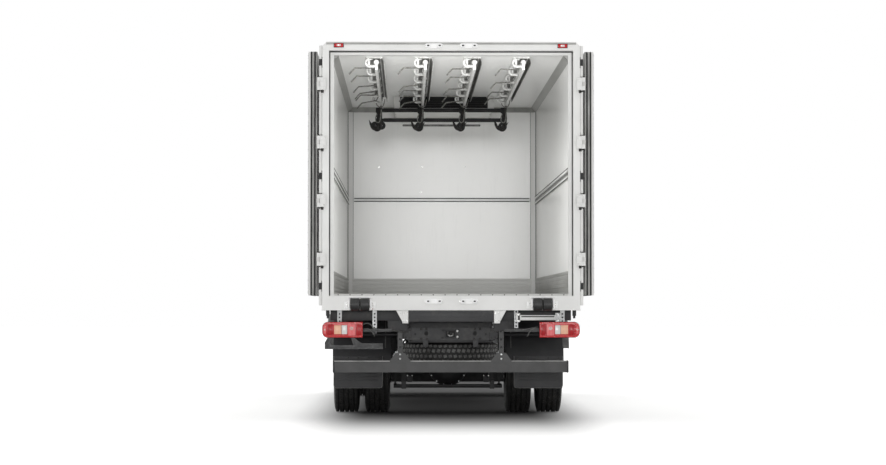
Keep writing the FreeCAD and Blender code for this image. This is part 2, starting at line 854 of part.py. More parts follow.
lamp_face = rear_face + 60
lamp_out = 1295
lamp_in = 895
lamp_z = (845, 995)
tail_lamps = []
for side in (-1, 1):
    tail = prism("tail_lamp", "XZ_Plane", [
        (side * lamp_in, lamp_z[0]), (side * lamp_out, lamp_z[0]),
        (side * lamp_out, lamp_z[1]), (side * lamp_in, lamp_z[1]),
    ], lamp_face, lamp_face + 70)
    soften([tail], 55, [(side * lamp_out, lamp_z[0]), (side * lamp_out, lamp_z[1])])
    tail_lamps.append(tail)
node("rear_lamps", group("rear_lamp_group", markers + tail_lamps))
strap_back = lamp_face + 70
straps = []
for near, far, low in ((-1150, -1105, 950), (-795, -750, 880), (640, 680, 900), (1105, 1150, 950)):
    holes = []
    for index in range(int((float(sill_bottom) - low) // 36)):
        holes.append(rod(
            "strap_hole", 9, "Y", strap_back - 10, strap_back + 20, ((near + far) / 2, low + 22 + 36 * index)))
    straps.append(cut("lamp_strap", box(
        "lamp_strap_plate", (near, far), (strap_back, strap_back + 5), (low, sill_bottom)), holes))
straps += [
    box("lamp_arm", (-895, -600), (strap_back + 5, strap_back + 10), (900, 930)),
    box("lamp_arm", (540, 1150), (strap_back + 5, strap_back + 10), (900, 930)),
    box("lamp_bar", (680, 1060), (strap_back - 5, strap_back + 15), (1020, 1064)),
    box("lamp_bar_end", (1060, 1105), (strap_back - 15, strap_back + 25), (1000, 1085)),
]
marker_frame = cut("marker_frame", prism("marker_plate", "XZ_Plane", [
    (-1275, 725), (-690, 725), (-690, 785), (-905, 785), (-985, 845), (-1245, 845), (-1275, 790),
], lamp_face + 30, lamp_face + 50), [prism("marker_window", "XZ_Plane", [
    (-1215, 765), (-985, 765), (-1015, 845), (-1195, 845),
], lamp_face + 20, lamp_face + 60)])
node("lamp_brackets", group("lamp_bracket_group", straps + [marker_frame]))

# Wheels: tyres turned over the bead seats, rims with offset discs, hubs and drums

tyre_radius = dim("tyre_radius")
half_tyre = dim("tyre_width") / 2
rim_half = dim("rim_half")
rim_seat = dim("rim_seat")
rim_flange = dim("rim_flange")
rim_offset = (dim("tyre_width") + dim("twin_gap")) / 2


def tyre(name, centre):
    """One tyre section turned about the wheel's axis."""
    bead = rim_seat + running
    half_bead = rim_half - running
    section = [
        (-half_bead, bead), (half_bead, bead), (half_bead, rim_flange + 4),
        (half_tyre, bead + 105), (half_tyre - 12, tyre_radius - 26),
        (half_tyre - 34, tyre_radius), (34 - half_tyre, tyre_radius),
        (12 - half_tyre, tyre_radius - 26), (-half_tyre, bead + 105),
        (-half_bead, rim_flange + 4),
    ]
    return turned(name, section, centre)


def rim(name, centre, outward):
    """A drop-centre rim with its disc and hand holes on the side outward gives, -1 or 1."""
    lip = rim_half + dim("rim_lip")
    wall = dim("rim_wall")
    disc_back = rim_offset - dim("disc_thickness")
    ring = [
        (-lip, rim_flange), (-rim_half, rim_flange), (-rim_half, rim_seat), (-45, rim_seat - 34),
        (35, rim_seat - 34), (rim_half, rim_seat), (rim_half, rim_flange), (lip, rim_flange),
        (lip, rim_seat - wall), (38, rim_seat - 34 - wall), (-48, rim_seat - 34 - wall),
        (-lip, rim_seat - wall),
    ]
    disc = [
        (62, rim_seat - wall - 10), (rim_half, rim_seat - wall - 2), (rim_offset, 180),
        (rim_offset, 80), (disc_back, 80), (disc_back, 174), (56, rim_seat - wall - 26),
    ]
    if outward < 0:
        ring = [(-as_size(along), radius) for along, radius in ring]
        disc = [(-as_size(along), radius) for along, radius in disc]
    hand_holes = []
    across = (20, rim_offset + 20) if outward > 0 else (-rim_offset - 20, as_size(-20))
    for index in range(8):
        turn = math.radians(45 * index)
        hand_holes.append(rod(
            name + "_hand_hole", dim("hand_hole"), "X", centre[0] + across[0], centre[0] + across[1],
            (centre[1] + 214 * math.cos(turn), centre[2] + 214 * math.sin(turn))))
    return join(name, [
        turned(name + "_ring", ring, centre),
        cut(name + "_disc", turned(name + "_dish", disc, centre), hand_holes)])


wheel_height = tyre_radius
outer_centre = -(dim("twin_outer") - half_tyre)
inner_centre = outer_centre + dim("tyre_width") + dim("twin_gap")
mount_plane = (outer_centre + inner_centre) / 2
rear_tyres = group("rear_tyre_group", [
    tyre("rear_tyre_outer", (outer_centre, rear_axle, wheel_height)),
    tyre("rear_tyre_inner", (inner_centre, rear_axle, wheel_height))])
pair("rear_tyres", rear_tyres)
hub_bore = dim("spindle") + running
rear_hub = turned("rear_hub", [
    (-230, hub_bore), (-230, 95), (-150, dim("hub_radius")), (0, dim("hub_radius")),
    (0, dim("drum_radius") - 30), (14, dim("drum_radius")), (235, dim("drum_radius")),
    (235, dim("drum_radius") - 14), (28, dim("drum_radius") - 14), (28, hub_bore + 40),
    (235, hub_bore + 40), (235, hub_bore),
], (mount_plane, rear_axle, wheel_height))
rear_rims = join("rear_rim_join", [
    rim("rear_rim_outer", (outer_centre, rear_axle, wheel_height), 1),
    rim("rear_rim_inner", (inner_centre, rear_axle, wheel_height), -1), rear_hub])
pair("rear_rims", rear_rims)

front_centre = -dim("front_wheel_x")
front_tyre = tyre("front_tyre_body", (front_centre, front_axle, wheel_height))
pair("front_tyre", front_tyre)
front_mount = front_centre - rim_offset
front_hub = turned("front_hub", [
    (-60, hub_bore), (-60, 70), (0, 100), (0, 175), (13, dim("drum_radius") - 14),
    (40, dim("drum_radius")), (250, dim("drum_radius")), (250, dim("drum_radius") - 14),
    (45, dim("drum_radius") - 28), (30, hub_bore + 40), (250, hub_bore + 40), (250, hub_bore),
], (front_mount, front_axle, wheel_height))
front_rim = join("front_rim_join", [
    rim("front_rim_body", (front_centre, front_axle, wheel_height), -1), front_hub])
pair("front_rim", front_rim)

# Rear axle with its differential casing, springs and anti-roll bar

axle_end = mount_plane + 262
spindle_end = mount_plane - 225
rear_axle_pieces = [
    rod("axle_tube", dim("axle_tube"), "X", axle_end, -axle_end, (rear_axle, wheel_height)),
    rod("axle_spindle", dim("spindle"), "X", spindle_end, -spindle_end, (rear_axle, wheel_height)),
]
banjo = turned("banjo_case", [
    (-75, 0), (-75, 150), (-50, dim("banjo_radius")), (50, dim("banjo_radius")), (75, 150), (75, 0),
], (0, rear_axle, wheel_height))
nose_cone = rod("pinion_case", 95, "Y", rear_axle, rear_axle + 380, (0, wheel_height))
rear_axle_pieces += [banjo, nose_cone]


def leaf_spring(name, middle, seat, rise, half):
    """A pack of leaves over an axle, stepped below, from its seat up to its eyes."""
    spring_x = dim("spring_x")
    half_width = dim("spring_width") / 2
    top = seat + 60
    eye = seat + rise
    upper = [(-half, eye), (-half / 2, top + 18), (0, top), (half / 2, top + 18), (half, eye)]
    lower = [
        (half, eye - 12), (half * 0.8, eye - 40), (half * 0.78, eye - 54), (half * 0.6, seat + 46),
        (half * 0.58, seat + 33), (half * 0.38, seat + 24), (half * 0.36, seat + 12),
        (half * 0.16, seat),
    ]
    points = [(middle + along, level) for along, level in upper + lower]
    points += [(middle - along, level) for along, level in reversed(lower)]
    return prism(name, "YZ_Plane", points, -spring_x - half_width, half_width - spring_x)


def hangers(name, middle, eye, half):
    """Two spring hangers below a rail, one at each eye."""
    pieces = []
    for place in (middle - half, middle + half):
        pieces.append(box(
            name, (-rail_outer, -rail_inner), (place - 45, place + 45), (eye + 0.3, rail_bottom)))
    return pieces


half_spring = dim("spring_half")
rear_seat = wheel_height + dim("axle_tube") + 16
saddle = box(
    "rear_saddle", (-450, -340), (rear_axle - 90, rear_axle + 90),
    (wheel_height + dim("axle_tube") + 0.3, rear_seat))
rear_spring = join("rear_spring_left", [
    leaf_spring("rear_leaves", rear_axle, rear_seat, 110, half_spring), saddle])
rear_hangers = hangers("rear_hanger", rear_axle, rear_seat + 110, half_spring)
rear_set = [rear_spring] + rear_hangers

bar_y = rear_axle - 262
roll_pieces = [rod("roll_bar", 20, "X", -590, 590, (bar_y, 292))]
for side in (-1, 1):
    for across, along, up in (
        ((455, 505), (bar_y - 25, bar_y + 25), (262, 330)),
        ((455, 505), (bar_y - 25, rear_axle + 60), (330, 350)),
        ((455, 505), (rear_axle - 60, rear_axle + 60), (350, wheel_height)),
        ((555, 590), (bar_y, rear_axle + 300), (277, 307)),
        ((565, 585), (rear_axle + 270, rear_axle + 290), (307, 800)),
        ((rail_outer, 600), (rear_axle + 250, rear_axle + 310), (800, 840)),
    ):
        low, high = across
        span = (-as_size(high), -as_size(low)) if side < 0 else (low, high)
        roll_pieces.append(box("roll_bracket", span, along, up))
node("rear_axle", join("rear_axle_join", rear_axle_pieces + roll_pieces))

# Front axle beam, knuckles on kingpins, tie rod and springs

kingpin_x = dim("kingpin_x")
boss_radius = dim("kingpin_radius") + 20
beam = prism("axle_beam", "XZ_Plane", [
    (-kingpin_x, 462), (-740, 456), (-640, 400), (640, 400), (740, 456), (kingpin_x, 462),
    (kingpin_x, 555), (640, 490), (-640, 490), (-kingpin_x, 555),
], front_axle - 42, front_axle + 42)
beam_bosses = []
beam_bores = []
for side in (-1, 1):
    beam_bosses.append(rod(
        "kingpin_boss", boss_radius, "Z", 446, 566, (side * kingpin_x, front_axle)))
    beam_bores.append(rod(
        "kingpin_bore", dim("kingpin_radius") + running, "Z", 400, 620, (side * kingpin_x, front_axle)))
node("front_axle", cut("front_axle_cut", join("front_axle_join", [beam] + beam_bosses), beam_bores))

arm_reach = dim("steering_arm")
arm_x = kingpin_x
fork_back = kingpin_x + boss_radius + 5
plate_out = fork_back + 25
knuckle_pieces = [
    rod("kingpin", dim("kingpin_radius"), "Z", 390, 612, (-kingpin_x, front_axle)),
    box("fork_back", (-plate_out, -fork_back), (front_axle - 60, front_axle + 60), (390, 612)),
    box("fork_top", (-plate_out, -kingpin_x), (front_axle - 40, front_axle + 40), (574, 612)),
    rod("fork_top_eye", 40, "Z", 574, 612, (-kingpin_x, front_axle)),
    box("fork_bottom", (-plate_out, -kingpin_x), (front_axle - 40, front_axle + 40), (390, 436)),
    rod("fork_bottom_eye", 40, "Z", 390, 436, (-kingpin_x, front_axle)),
    rod("back_plate", 196, "X", -plate_out, 12 - plate_out, (front_axle, wheel_height)),
    rod("front_spindle", dim("spindle"), "X", front_mount - 55, -fork_back,
        (front_axle, wheel_height)),
    box("steering_arm_bar", (-kingpin_x - 26, 26 - kingpin_x),
        (front_axle - arm_reach, front_axle), (400, 425)),
    rod("steering_arm_eye", 26, "Z", 400, 425, (-arm_x, front_axle - arm_reach)),
]
tie_y = front_axle - arm_reach
knuckle_left = cut("knuckle_left_cut", join("knuckle_join", knuckle_pieces), [
    rod("tie_bore", 12 + running, "Z", 390, 430, (-arm_x, tie_y))])
node("knuckle_left", knuckle_left)
node("knuckle_right", mirrored("knuckle_right_mirror", cut(
    "knuckle_right_cut", join("knuckle_join_right", knuckle_pieces), [
        rod("open_bore", 14, "Z", 390, 430, (-arm_x, tie_y))])))
node("tie_rod", join("tie_rod_join", [
    rod("tie_bar", 18, "X", -arm_x, arm_x, (tie_y, 376)),
    rod("tie_pin_left", 12, "Z", 376, 430, (-arm_x, tie_y)),
    rod("tie_pin_right", 12, "Z", 376, 430, (arm_x, tie_y)),
    rod("tie_ball_left", 26, "Z", 352, 394, (-arm_x, tie_y)),
    rod("tie_ball_right", 26, "Z", 352, 394, (arm_x, tie_y))]))

front_seat = as_size(520)
front_saddle = box(
    "front_saddle", (-450, -340), (front_axle - 80, front_axle + 80), (490, front_seat))
front_spring = join("front_spring_left", [
    leaf_spring("front_leaves", front_axle, front_seat, 160, half_spring), front_saddle])
front_hangers = hangers("front_hanger", front_axle, front_seat + 160, half_spring)
front_set = [front_spring] + front_hangers
spring_set = rear_set + front_set
node("leaf_springs", group("spring_group", spring_set + [
    mirrored("spring_right", item) for item in spring_set]))

# Engine, gearbox, propeller shaft and radiator

engine_back = front_axle - 480
gearbox_back = front_axle - 1150
node("engine_block", join("engine_join", [
    box("engine", (-320, 320), (engine_back, front_axle + 720), (620, 1290)),
    box("gearbox_case", (-210, 210), (gearbox_back, engine_back), (620, 980))]))
pinion_end = rear_axle + 380
ends = []
for place, level in ((pinion_end, wheel_height), (gearbox_back, wheel_height + 230)):
    ring = doc.addObject("Part::Circle", "shaft_ring")
    ring.Radius = 55
    ring.Placement.Rotation = TURNS["Y"]
    move_to(ring, (0, place, level))
    ends.append(ring)
shaft = doc.addObject("Part::Loft", "shaft_tube")
shaft.Sections = ends
shaft.Solid = True
node("propeller_shaft", shaft)
node("radiator", join("radiator_join", [
    box("radiator_core", (-340, 340), (front_axle + 900, front_axle + 985), (700, 1030)),
    box("radiator_support", (rail_web - rail_outer, rail_outer - rail_web),
        (front_axle + 900, front_axle + 940), (860, 900))]))

# Tanks, battery box, spare wheel, side guards and mudguards

tank_back = front_axle - 2200
tank_front = front_axle - 1150
tank = prism("tank_shell", "XZ_Plane", [
    (520, 560), (600, 480), (1080, 480), (1160, 560), (1160, 920), (1080, 1000), (600, 1000), (520, 920),
], tank_back, tank_front)
tank_pieces = [tank]
for place in (tank_back + 180, tank_front - 230):
    tank_pieces.append(box(
        "tank_bracket", (rail_outer, 560), (place, place + 50), (600, 985)))
node("fuel_tank", join("tank_join", tank_pieces))
battery_back = front_axle - 1900
node("battery_box", join("battery_join", [
    box("battery_case", (-1120, -500), (battery_back, battery_back + 650), (560, 960)),
    box("battery_bracket", (-500, -rail_outer), (battery_back + 80, battery_back + 140), (770, 940)),
    box("battery_bracket", (-500, -rail_outer), (battery_back + 500, battery_back + 560), (770, 940))]))
air_back = front_axle - 3000
air_pieces = []
for centre in (-640, -920):
    air_pieces.append(rod("air_tank", 125, "Y", air_back, air_back + 900, (centre, 700)))
for place in (air_back + 150, air_back + 700):
    air_pieces.append(box("air_bracket", (-960, -rail_outer), (place, place + 50), (810, 850)))
node("air_tanks", join("air_join", air_pieces))

spare = turned("spare_tyre", [
    (-rim_half, rim_seat), (rim_half, rim_seat), (half_tyre, rim_seat + 105),
    (half_tyre - 12, tyre_radius - 26), (half_tyre - 34, tyre_radius),
    (34 - half_tyre, tyre_radius), (12 - half_tyre, tyre_radius - 26), (-half_tyre, rim_seat + 105),
], (0, 0, 0))
spare.Placement.Rotation = Rotation(Vector(0, 1, 0), -90)
move_to(spare, (0, spare_y, spare_middle))
spare_disc = rod(
    "spare_disc", rim_seat + 2, "Z", spare_middle + 30, spare_middle + 44, (0, spare_y))
node("spare_wheel", join("spare_join", [spare, spare_disc]))

guard_back = rear_axle + 650
guard_front = front_axle - 2300
guard_left = [
    box("side_rail_low", (-1210, -1180), (guard_back, guard_front), (430, 530)),
    box("side_rail_high", (-1210, -1180), (guard_back, guard_front), (700, 800)),
]
for place in (guard_back + 150, guard_front - 200):
    guard_left.append(box("side_post", (-1180, -1150), (place, place + 50), (430, sill_bottom)))
side_guard = join("side_guard_left", guard_left)
node("side_guards", group("side_guard_group", [
    side_guard, mirrored("side_guard_right", side_guard)]))

guard_radius = tyre_radius + 55
guard_outer = dim("twin_outer") + 5
guard_inner = dim("twin_outer") - 2 * dim("tyre_width") - dim("twin_gap") - 13
rear_guard = join("rear_guard_left", [
    turned("rear_guard_arc", [
        (-guard_outer, guard_radius), (-guard_inner, guard_radius),
        (-guard_inner, guard_radius + 5), (-guard_outer, guard_radius + 5),
    ], (0, rear_axle, wheel_height), 65, 160),
    rod("guard_stay", 18, "X", -guard_outer + 20, -rail_outer, (rear_axle - 470, 851)),
    rod("guard_stay", 18, "X", -guard_outer + 20, -rail_outer, (rear_axle + 470, 851))])
flap_y = rear_axle - guard_radius - 5
flap = box("mud_flap", (-1230, -710), (flap_y - 6.3, flap_y - 0.3), (280, 620))
front_guard = join("front_guard_left", [
    turned("front_guard_arc", [
        (-1150, 606), (-870, 606), (-870, 611), (-1150, 611),
    ], (0, front_axle, wheel_height), -50, 50),
    rod("front_guard_stay", 16, "X", -1130, -rail_outer, (front_axle - 538, 817))])
node("mudguards", group("mudguard_group", [
    rear_guard, mirrored("rear_guard_right", rear_guard),
    front_guard, mirrored("front_guard_right", front_guard),
    flap, mirrored("mud_flap_right", flap)]))

# Bumper with lamp pockets, lamps and cab steps

bumper_low = dim("bumper_bottom")
bumper_high = dim("bumper_top")
cab_half = dim("cab_half")
bumper_outer = prism("bumper_outer", "XY_Plane", [
    (-cab_half, nose - 180), (cab_half, nose - 180), (cab_half, nose), (-cab_half, nose),
], bumper_low, bumper_high)
soften([bumper_outer], dim("bumper_corner"), [(cab_half, nose), (-cab_half, nose)])
bumper_inner = prism("bumper_inner", "XY_Plane", [
    (50 - cab_half, nose - 190), (cab_half - 50, nose - 190), (cab_half - 50, nose - 50),
    (50 - cab_half, nose - 50),
], bumper_low - 10, bumper_high + 10)
soften([bumper_inner], dim("bumper_corner") - 50, [
    (cab_half - 50, nose - 50), (50 - cab_half, nose - 50)])
bumper_shell = cut("bumper_shell", bumper_outer, [bumper_inner])
lamp_boxes = []
pockets = []
for side in (-1, 1):
    near = side * (cab_half - 350)
    far = side * (cab_half - 110)
    across = (far, near) if side < 0 else (near, far)
    pockets.append(box("lamp_pocket", across, (nose - 30, nose + 10), (620, 790)))
    lamp_boxes.append(box("head_lamp", across, (nose - 30, nose - 2), (620, 790)))
pockets += [
    rod("towing_socket", 20, "Y", nose - 70, nose + 10, (350, 450)),
    box("air_inlet", (530 - cab_half, cab_half - 530), (nose - 80, nose + 10), (640, 780))]
bumper = [cut("bumper_cut", bumper_shell, pockets)]
for side in (-1, 1):
    across = (-rail_outer, -rail_inner) if side < 0 else (rail_inner, rail_outer)
    bumper.append(box(
        "bumper_arm", across, (rail_front, nose - 50), (rail_bottom, rail_bottom + 50)))
node("front_bumper", join("bumper_join", bumper))
node("front_lamps", group("front_lamp_group", lamp_boxes))
step_in = 280 - cab_half
step_back = step_in - 60
step_near = front_axle + 640
step_far = nose - 182
step_low = bumper_low + 30
step_high = dim("cab_bottom") - 30
step_left = join("step_join", [
    cut("step_cut", box(
        "step_block", (10 - cab_half, step_in), (step_near, step_far), (step_low, step_high)), [
        box("step_recess", (-cab_half, step_back), (step_near + 40, step_far - 40),
            (step_low + 40, step_low + 260)),
        box("step_recess", (-cab_half, step_back), (step_near + 40, step_far - 40),
            (step_low + 320, step_high - 70))]),
    box("step_bracket", (step_in, -rail_outer), (step_near + 60, step_near + 120), (790, 850))])
node("cab_steps", group("step_group", [step_left, mirrored("step_right", step_left)]))

# Cab: one hollow shell parted into floor, back, roof, front and sides, with cut windows

cab_back_y = front_axle - dim("cab_back")
cab_front_y = front_axle + dim("cab_front")
cab_low = dim("cab_bottom")
cab_wall = dim("cab_wall")
screen_low = dim("screen_base")
roof_z = dim("cab_roof")
screen_high = roof_z - dim("screen_drop")
lean = dim("screen_lean")
cab_profile = [
    (cab_back_y, cab_low), (cab_front_y - 30, cab_low), (cab_front_y, cab_low + 70),
    (cab_front_y, 1500), (cab_front_y - 25, screen_low), (cab_front_y - 25 - lean, screen_high),
    (cab_front_y - 360, roof_z - 100), (cab_front_y - 510, roof_z - 30),
    (cab_front_y - 960, roof_z), (cab_back_y, roof_z - 20),
]
outer_block = prism("cab_outer", "YZ_Plane", cab_profile, -cab_half, cab_half)
soften([outer_block], dim("cab_edge"), cab_profile[1:], ends=True)
inner_half = cab_half - cab_wall
inner_block = prism("cab_inner", "YZ_Plane", [
    (cab_back_y + cab_wall, cab_low + cab_wall), (cab_front_y - cab_wall, cab_low + cab_wall),
    (cab_front_y - cab_wall, 1500), (cab_front_y - 80, screen_low - 10),
    (cab_front_y - 73 - lean, screen_high - 30), (cab_front_y - 400, roof_z - 155),
    (cab_front_y - 530, roof_z - 85), (cab_front_y - 965, roof_z - cab_wall),
    (cab_back_y + cab_wall, roof_z - 20 - cab_wall),
], -inner_half, inner_half)
cab_shell = cut("cab_shell", outer_block, [inner_block])

floor_top = cab_low + cab_wall
roof_seam = screen_high + 60
back_seam = cab_back_y + cab_wall
seam_y = front_axle + dim("cab_door_front") + dim("cab_door_gap")
slope = lean / (screen_high - screen_low)
knee = as_size(1800)
lean_at_seam = (roof_seam - knee) * slope
tunnel_half = dim("tunnel_half")
tunnel_top = dim("tunnel_top")
tunnel_front = front_axle + dim("tunnel_front")
far = 2000
tunnel_hole = box(
    "tunnel_hole", (-tunnel_half, tunnel_half), (cab_back_y - 50, tunnel_front),
    (cab_low - 50, tunnel_top))
floor_zone = box("floor_zone", (-far, far), (cab_back_y - 50, nose + 200), (cab_low - 50, floor_top))
tunnel_cover = box(
    "tunnel_cover", (-tunnel_half - 30, tunnel_half + 30), (back_seam, tunnel_front + 30),
    (floor_top, tunnel_top + 30))
ears = []
for side in (-1, 1):
    across = (-530, -490) if side < 0 else (490, 530)
    ears.append(box("cab_ear", across, (pivot_y - 25, pivot_y + 25), (pivot_z, cab_low)))
    ears.append(rod("cab_ear_eye", 38, "X", across[0], across[1], (pivot_y, pivot_z)))
ear_bores = [rod("ear_bore", 20 + running, "X", -600, 600, (pivot_y, pivot_z))]
node("cab_floor", cut("cab_floor_cut", join("cab_floor_join", [
    common("floor_panel_cab", cab_shell, floor_zone), tunnel_cover] + ears),
    [tunnel_hole] + ear_bores))
back_zone = box(
    "back_zone", (-far, far), (cab_back_y - 50, back_seam), (floor_top, roof_seam))
cab_back = cut("cab_back_cut", common("back_panel_cab", cab_shell, back_zone), [tunnel_hole])
roof_zone = box(
    "roof_zone", (-far, far), (cab_back_y - 50, nose + 200), (roof_seam, roof_z + 50))
node("cab_roof", common("roof_panel_cab", cab_shell, roof_zone))
front_zone = prism("front_zone", "YZ_Plane", [
    (seam_y, floor_top), (nose + 200, floor_top), (nose + 200, roof_seam),
    (seam_y - lean_at_seam, roof_seam), (seam_y, knee),
], -far, far)
screen_half = cab_half - 130
screen_from = screen_low + 40
screen_to = screen_high - 50
screen_hole = box(
    "screen_hole", (-screen_half, screen_half), (front_axle + 900, nose + 200),
    (screen_from, screen_to))
hinge_x = cab_half + dim("cab_hinge_out")
hinge_y = front_axle + dim("cab_door_front") + dim("cab_door_gap") / 2
CAB_HINGE_HEIGHTS = (1300, 1680)
front_lugs = []
for side in (-1, 1):
    for level in CAB_HINGE_HEIGHTS:
        front_lugs.append(rod(
            "cab_hinge_pin", 7, "Z", level - 42, level + 42, (side * hinge_x, hinge_y)))
        for low, high in ((level - 42, level - 22), (level + 22, level + 42)):
            across = (-hinge_x - 10, -cab_half) if side < 0 else (cab_half, hinge_x + 10)
            front_lugs.append(box("cab_hinge_lug", across, (hinge_y, hinge_y + 45), (low, high)))
            front_lugs.append(rod("cab_hinge_eye", 10, "Z", low, high, (side * hinge_x, hinge_y)))
grille_hole = box(
    "grille_hole", (-720, 720), (cab_front_y - 200, nose + 200), (1190, 1470))
cab_front = cut(
    "cab_front_cut", common("front_panel_cab", cab_shell, front_zone), [screen_hole, grille_hole])
node("cab_front", join("cab_front_join", [cab_front] + front_lugs))
slats = []
for index in range(6):
    low = 1190 + index * 46 + 6
    slats.append(prism("grille_slat", "YZ_Plane", [
        (cab_front_y - 50, low), (cab_front_y - 14, low), (cab_front_y - 4, low + 10),
        (cab_front_y - 4, low + 26), (cab_front_y - 50, low + 34),
    ], -720, 720))
slats.append(box("grille_back", (-720, 720), (cab_front_y - 54, cab_front_y - 50), (1190, 1470)))
node("grille", join("grille_join", slats))


def screen_place(level, inset):
    """The Y of the sloping screen at a height, set in from the outer skin."""
    return cab_front_y - 25 - inset - (level - screen_low) * slope


glass = dim("glass")
node("windscreen", prism("windscreen_pane", "YZ_Plane", [
    (screen_place(screen_from, 12), screen_from), (screen_place(screen_to, 12), screen_to),
    (screen_place(screen_to, 12 + glass), screen_to), (screen_place(screen_from, 12 + glass), screen_from),
], -screen_half, screen_half))

gap = dim("cab_door_gap")
door_front = front_axle + dim("cab_door_front")
door_back = front_axle + dim("cab_door_back")
door_low = floor_top + gap
door_high = roof_seam - gap - 14
lean_at_top = (door_high - knee) * slope


def door_outline(inset):
    """The door's outline in YZ, drawn in from its edge by inset."""
    return [
        (door_back + inset, door_low + inset), (door_front - inset, door_low + inset),
        (door_front - inset, knee), (door_front - inset - lean_at_top, door_high - inset),
        (door_back + inset, door_high - inset),
    ]


side_zone = box("side_zone", (-far, -inner_half), (back_seam, seam_y), (floor_top, roof_seam))
door_hole = prism("door_hole", "YZ_Plane", door_outline(-gap), -far, -inner_half + 10)
door_sill_hole = box(
    "door_sill_hole", (-far, -inner_half + 10), (door_back - gap, seam_y), (floor_top - 1, knee))
cab_side = cut("cab_side_cut", common("side_panel_cab", cab_shell, side_zone), [
    front_zone, door_hole, door_sill_hole])
node("cab_walls", join("cab_wall_join", [cab_back, cab_side, mirrored("cab_side_right", cab_side)]))
window_low = dim("window_base")
window_high = door_high - 70
window_lean = (window_high - window_low) * slope
window_points = [
    (door_back + 90, window_low), (door_front - 110, window_low),
    (door_front - 110 - window_lean, window_high), (door_back + 90, window_high),
]
door_zone = prism("door_zone", "YZ_Plane", door_outline(0), -far, -inner_half)
window_hole = prism("window_hole", "YZ_Plane", window_points, -far, -inner_half + 10)
door_hinges = []
door_bores = []
for level in CAB_HINGE_HEIGHTS:
    door_hinges.append(rod("door_knuckle", 10, "Z", level - 20, level + 20, (-hinge_x, hinge_y)))
    door_hinges.append(box(
        "door_leaf", (-hinge_x - 10, -cab_half), (hinge_y - 60, hinge_y), (level - 20, level + 20)))
    door_bores.append(rod(
        "door_bore", 7 + running, "Z", level - 30, level + 30, (-hinge_x, hinge_y)))
cab_door = cut("cab_door_cut", join("cab_door_join", [
    common("door_panel_cab", cab_shell, door_zone)] + door_hinges), [window_hole] + door_bores)
pair("cab_door", cab_door)
pair("door_glass", prism(
    "door_pane", "YZ_Plane", window_points, 20 - cab_half, 20 - cab_half + glass))

# Inside the cab: seats, dashboard and steering wheel; mirrors outside

seat = join("seat_join", [
    box("seat_base", (95 - inner_half, 535 - inner_half), (front_axle - 180, front_axle + 260), (floor_top, 1450)),
    box("seat_cushion", (55 - inner_half, 575 - inner_half),
        (front_axle - 200, front_axle + 320), (1450, 1560)),
    box("seat_back", (55 - inner_half, 575 - inner_half),
        (front_axle - 320, front_axle - 200), (1450, roof_z - 670)),
    box("seat_head", (185 - inner_half, 445 - inner_half),
        (front_axle - 310, front_axle - 220),
        (roof_z - 670, roof_z - 490))])
node("seats", group("seat_group", [seat, mirrored("seat_right", seat)]))
dash_low = tunnel_top + 35
dash = prism("dash_body", "YZ_Plane", [
    (cab_front_y - cab_wall, dash_low), (cab_front_y - cab_wall, 1500),
    (cab_front_y - 80, screen_low - 10), (cab_front_y - 320, screen_low + 20),
    (cab_front_y - 400, screen_low - 70), (cab_front_y - 460, dash_low),
], -inner_half + 10, inner_half - 10)
wheel_centre = (315 - inner_half, front_axle + 760, 1730)
WHEEL_TILT = 35
tilt_turn = Rotation(Vector(1, 0, 0), WHEEL_TILT)


def on_column(name, radius, low, high):
    """A cylinder on the steering column's axis, measured from the wheel's centre."""
    item = doc.addObject("Part::Cylinder", name)
    item.Radius = radius
    item.Height = high - low
    item.Placement.Rotation = tilt_turn
    offset = tilt_turn.multVec(Vector(0, 0, low))
    move_to(item, [start + step for start, step in zip(wheel_centre, offset)])
    return item


column = on_column("column_tube", 32, -332, -42)
shaft_end = on_column("column_shaft", 10, -50, -12)
node("dashboard", join("dash_join", [dash, column, shaft_end]))
rim_ring = turned("wheel_ring", [
    (15, 214), (15, 226), (6, 235), (-6, 235), (-15, 226), (-15, 214), (-6, 205), (6, 205),
], wheel_centre)
rim_ring.Placement.Rotation = tilt_turn * Rotation(Vector(0, 1, 0), -90)
spokes = []
for turn in (0, 120, 240):
    spoke = doc.addObject("Part::Cylinder", "wheel_spoke")
    spoke.Radius = 10
    spoke.Height = 215
    spoke.Placement.Rotation = tilt_turn * Rotation(Vector(0, 0, 1), turn) * TURNS["Y"]
    move_to(spoke, wheel_centre)
    spokes.append(spoke)
node("steering_wheel", cut("wheel_cut", join("wheel_join", [
    rim_ring, on_column("wheel_hub", 55, -38, 12)] + spokes), [
    on_column("wheel_bore", 10.3, -45, -10)]))

mirror_low = screen_low + 120
mirror_high = mirror_low + (screen_high - screen_low) * 0.6
mirror_out = cab_half + 65 + dim("mirror_width")
mirror_case = prism("mirror_case", "XY_Plane", [
    (-mirror_out, front_axle + 1240), (-cab_half - 65, front_axle + 1240),
    (-cab_half - 65, front_axle + 1330), (-mirror_out, front_axle + 1330),
], mirror_low, mirror_high)
soften([mirror_case], 35, [(-mirror_out, front_axle + 1330), (-cab_half - 65, front_axle + 1330)])
arm_in = -cab_half
arm_out = arm_in - 65
mirror = join("mirror_join", [
    mirror_case,
    box("mirror_arm", (arm_out, arm_in), (front_axle + 1205, front_axle + 1225),
        (mirror_low - 40, mirror_low - 20)),
    box("mirror_arm", (arm_out - 20, arm_out), (front_axle + 1205, front_axle + 1260),
        (mirror_low - 40, mirror_low + 20)),
    box("mirror_arm", (arm_out, arm_in), (front_axle + 1080, front_axle + 1100),
        (mirror_high + 30, mirror_high + 50)),
    box("mirror_arm", (arm_out - 20, arm_out), (front_axle + 1080, front_axle + 1260),
        (mirror_high - 10, mirror_high + 50))])
node("mirrors", group("mirror_group", [mirror, mirrored("mirror_right", mirror)]))

# Check every object, then write one file for each sub-part

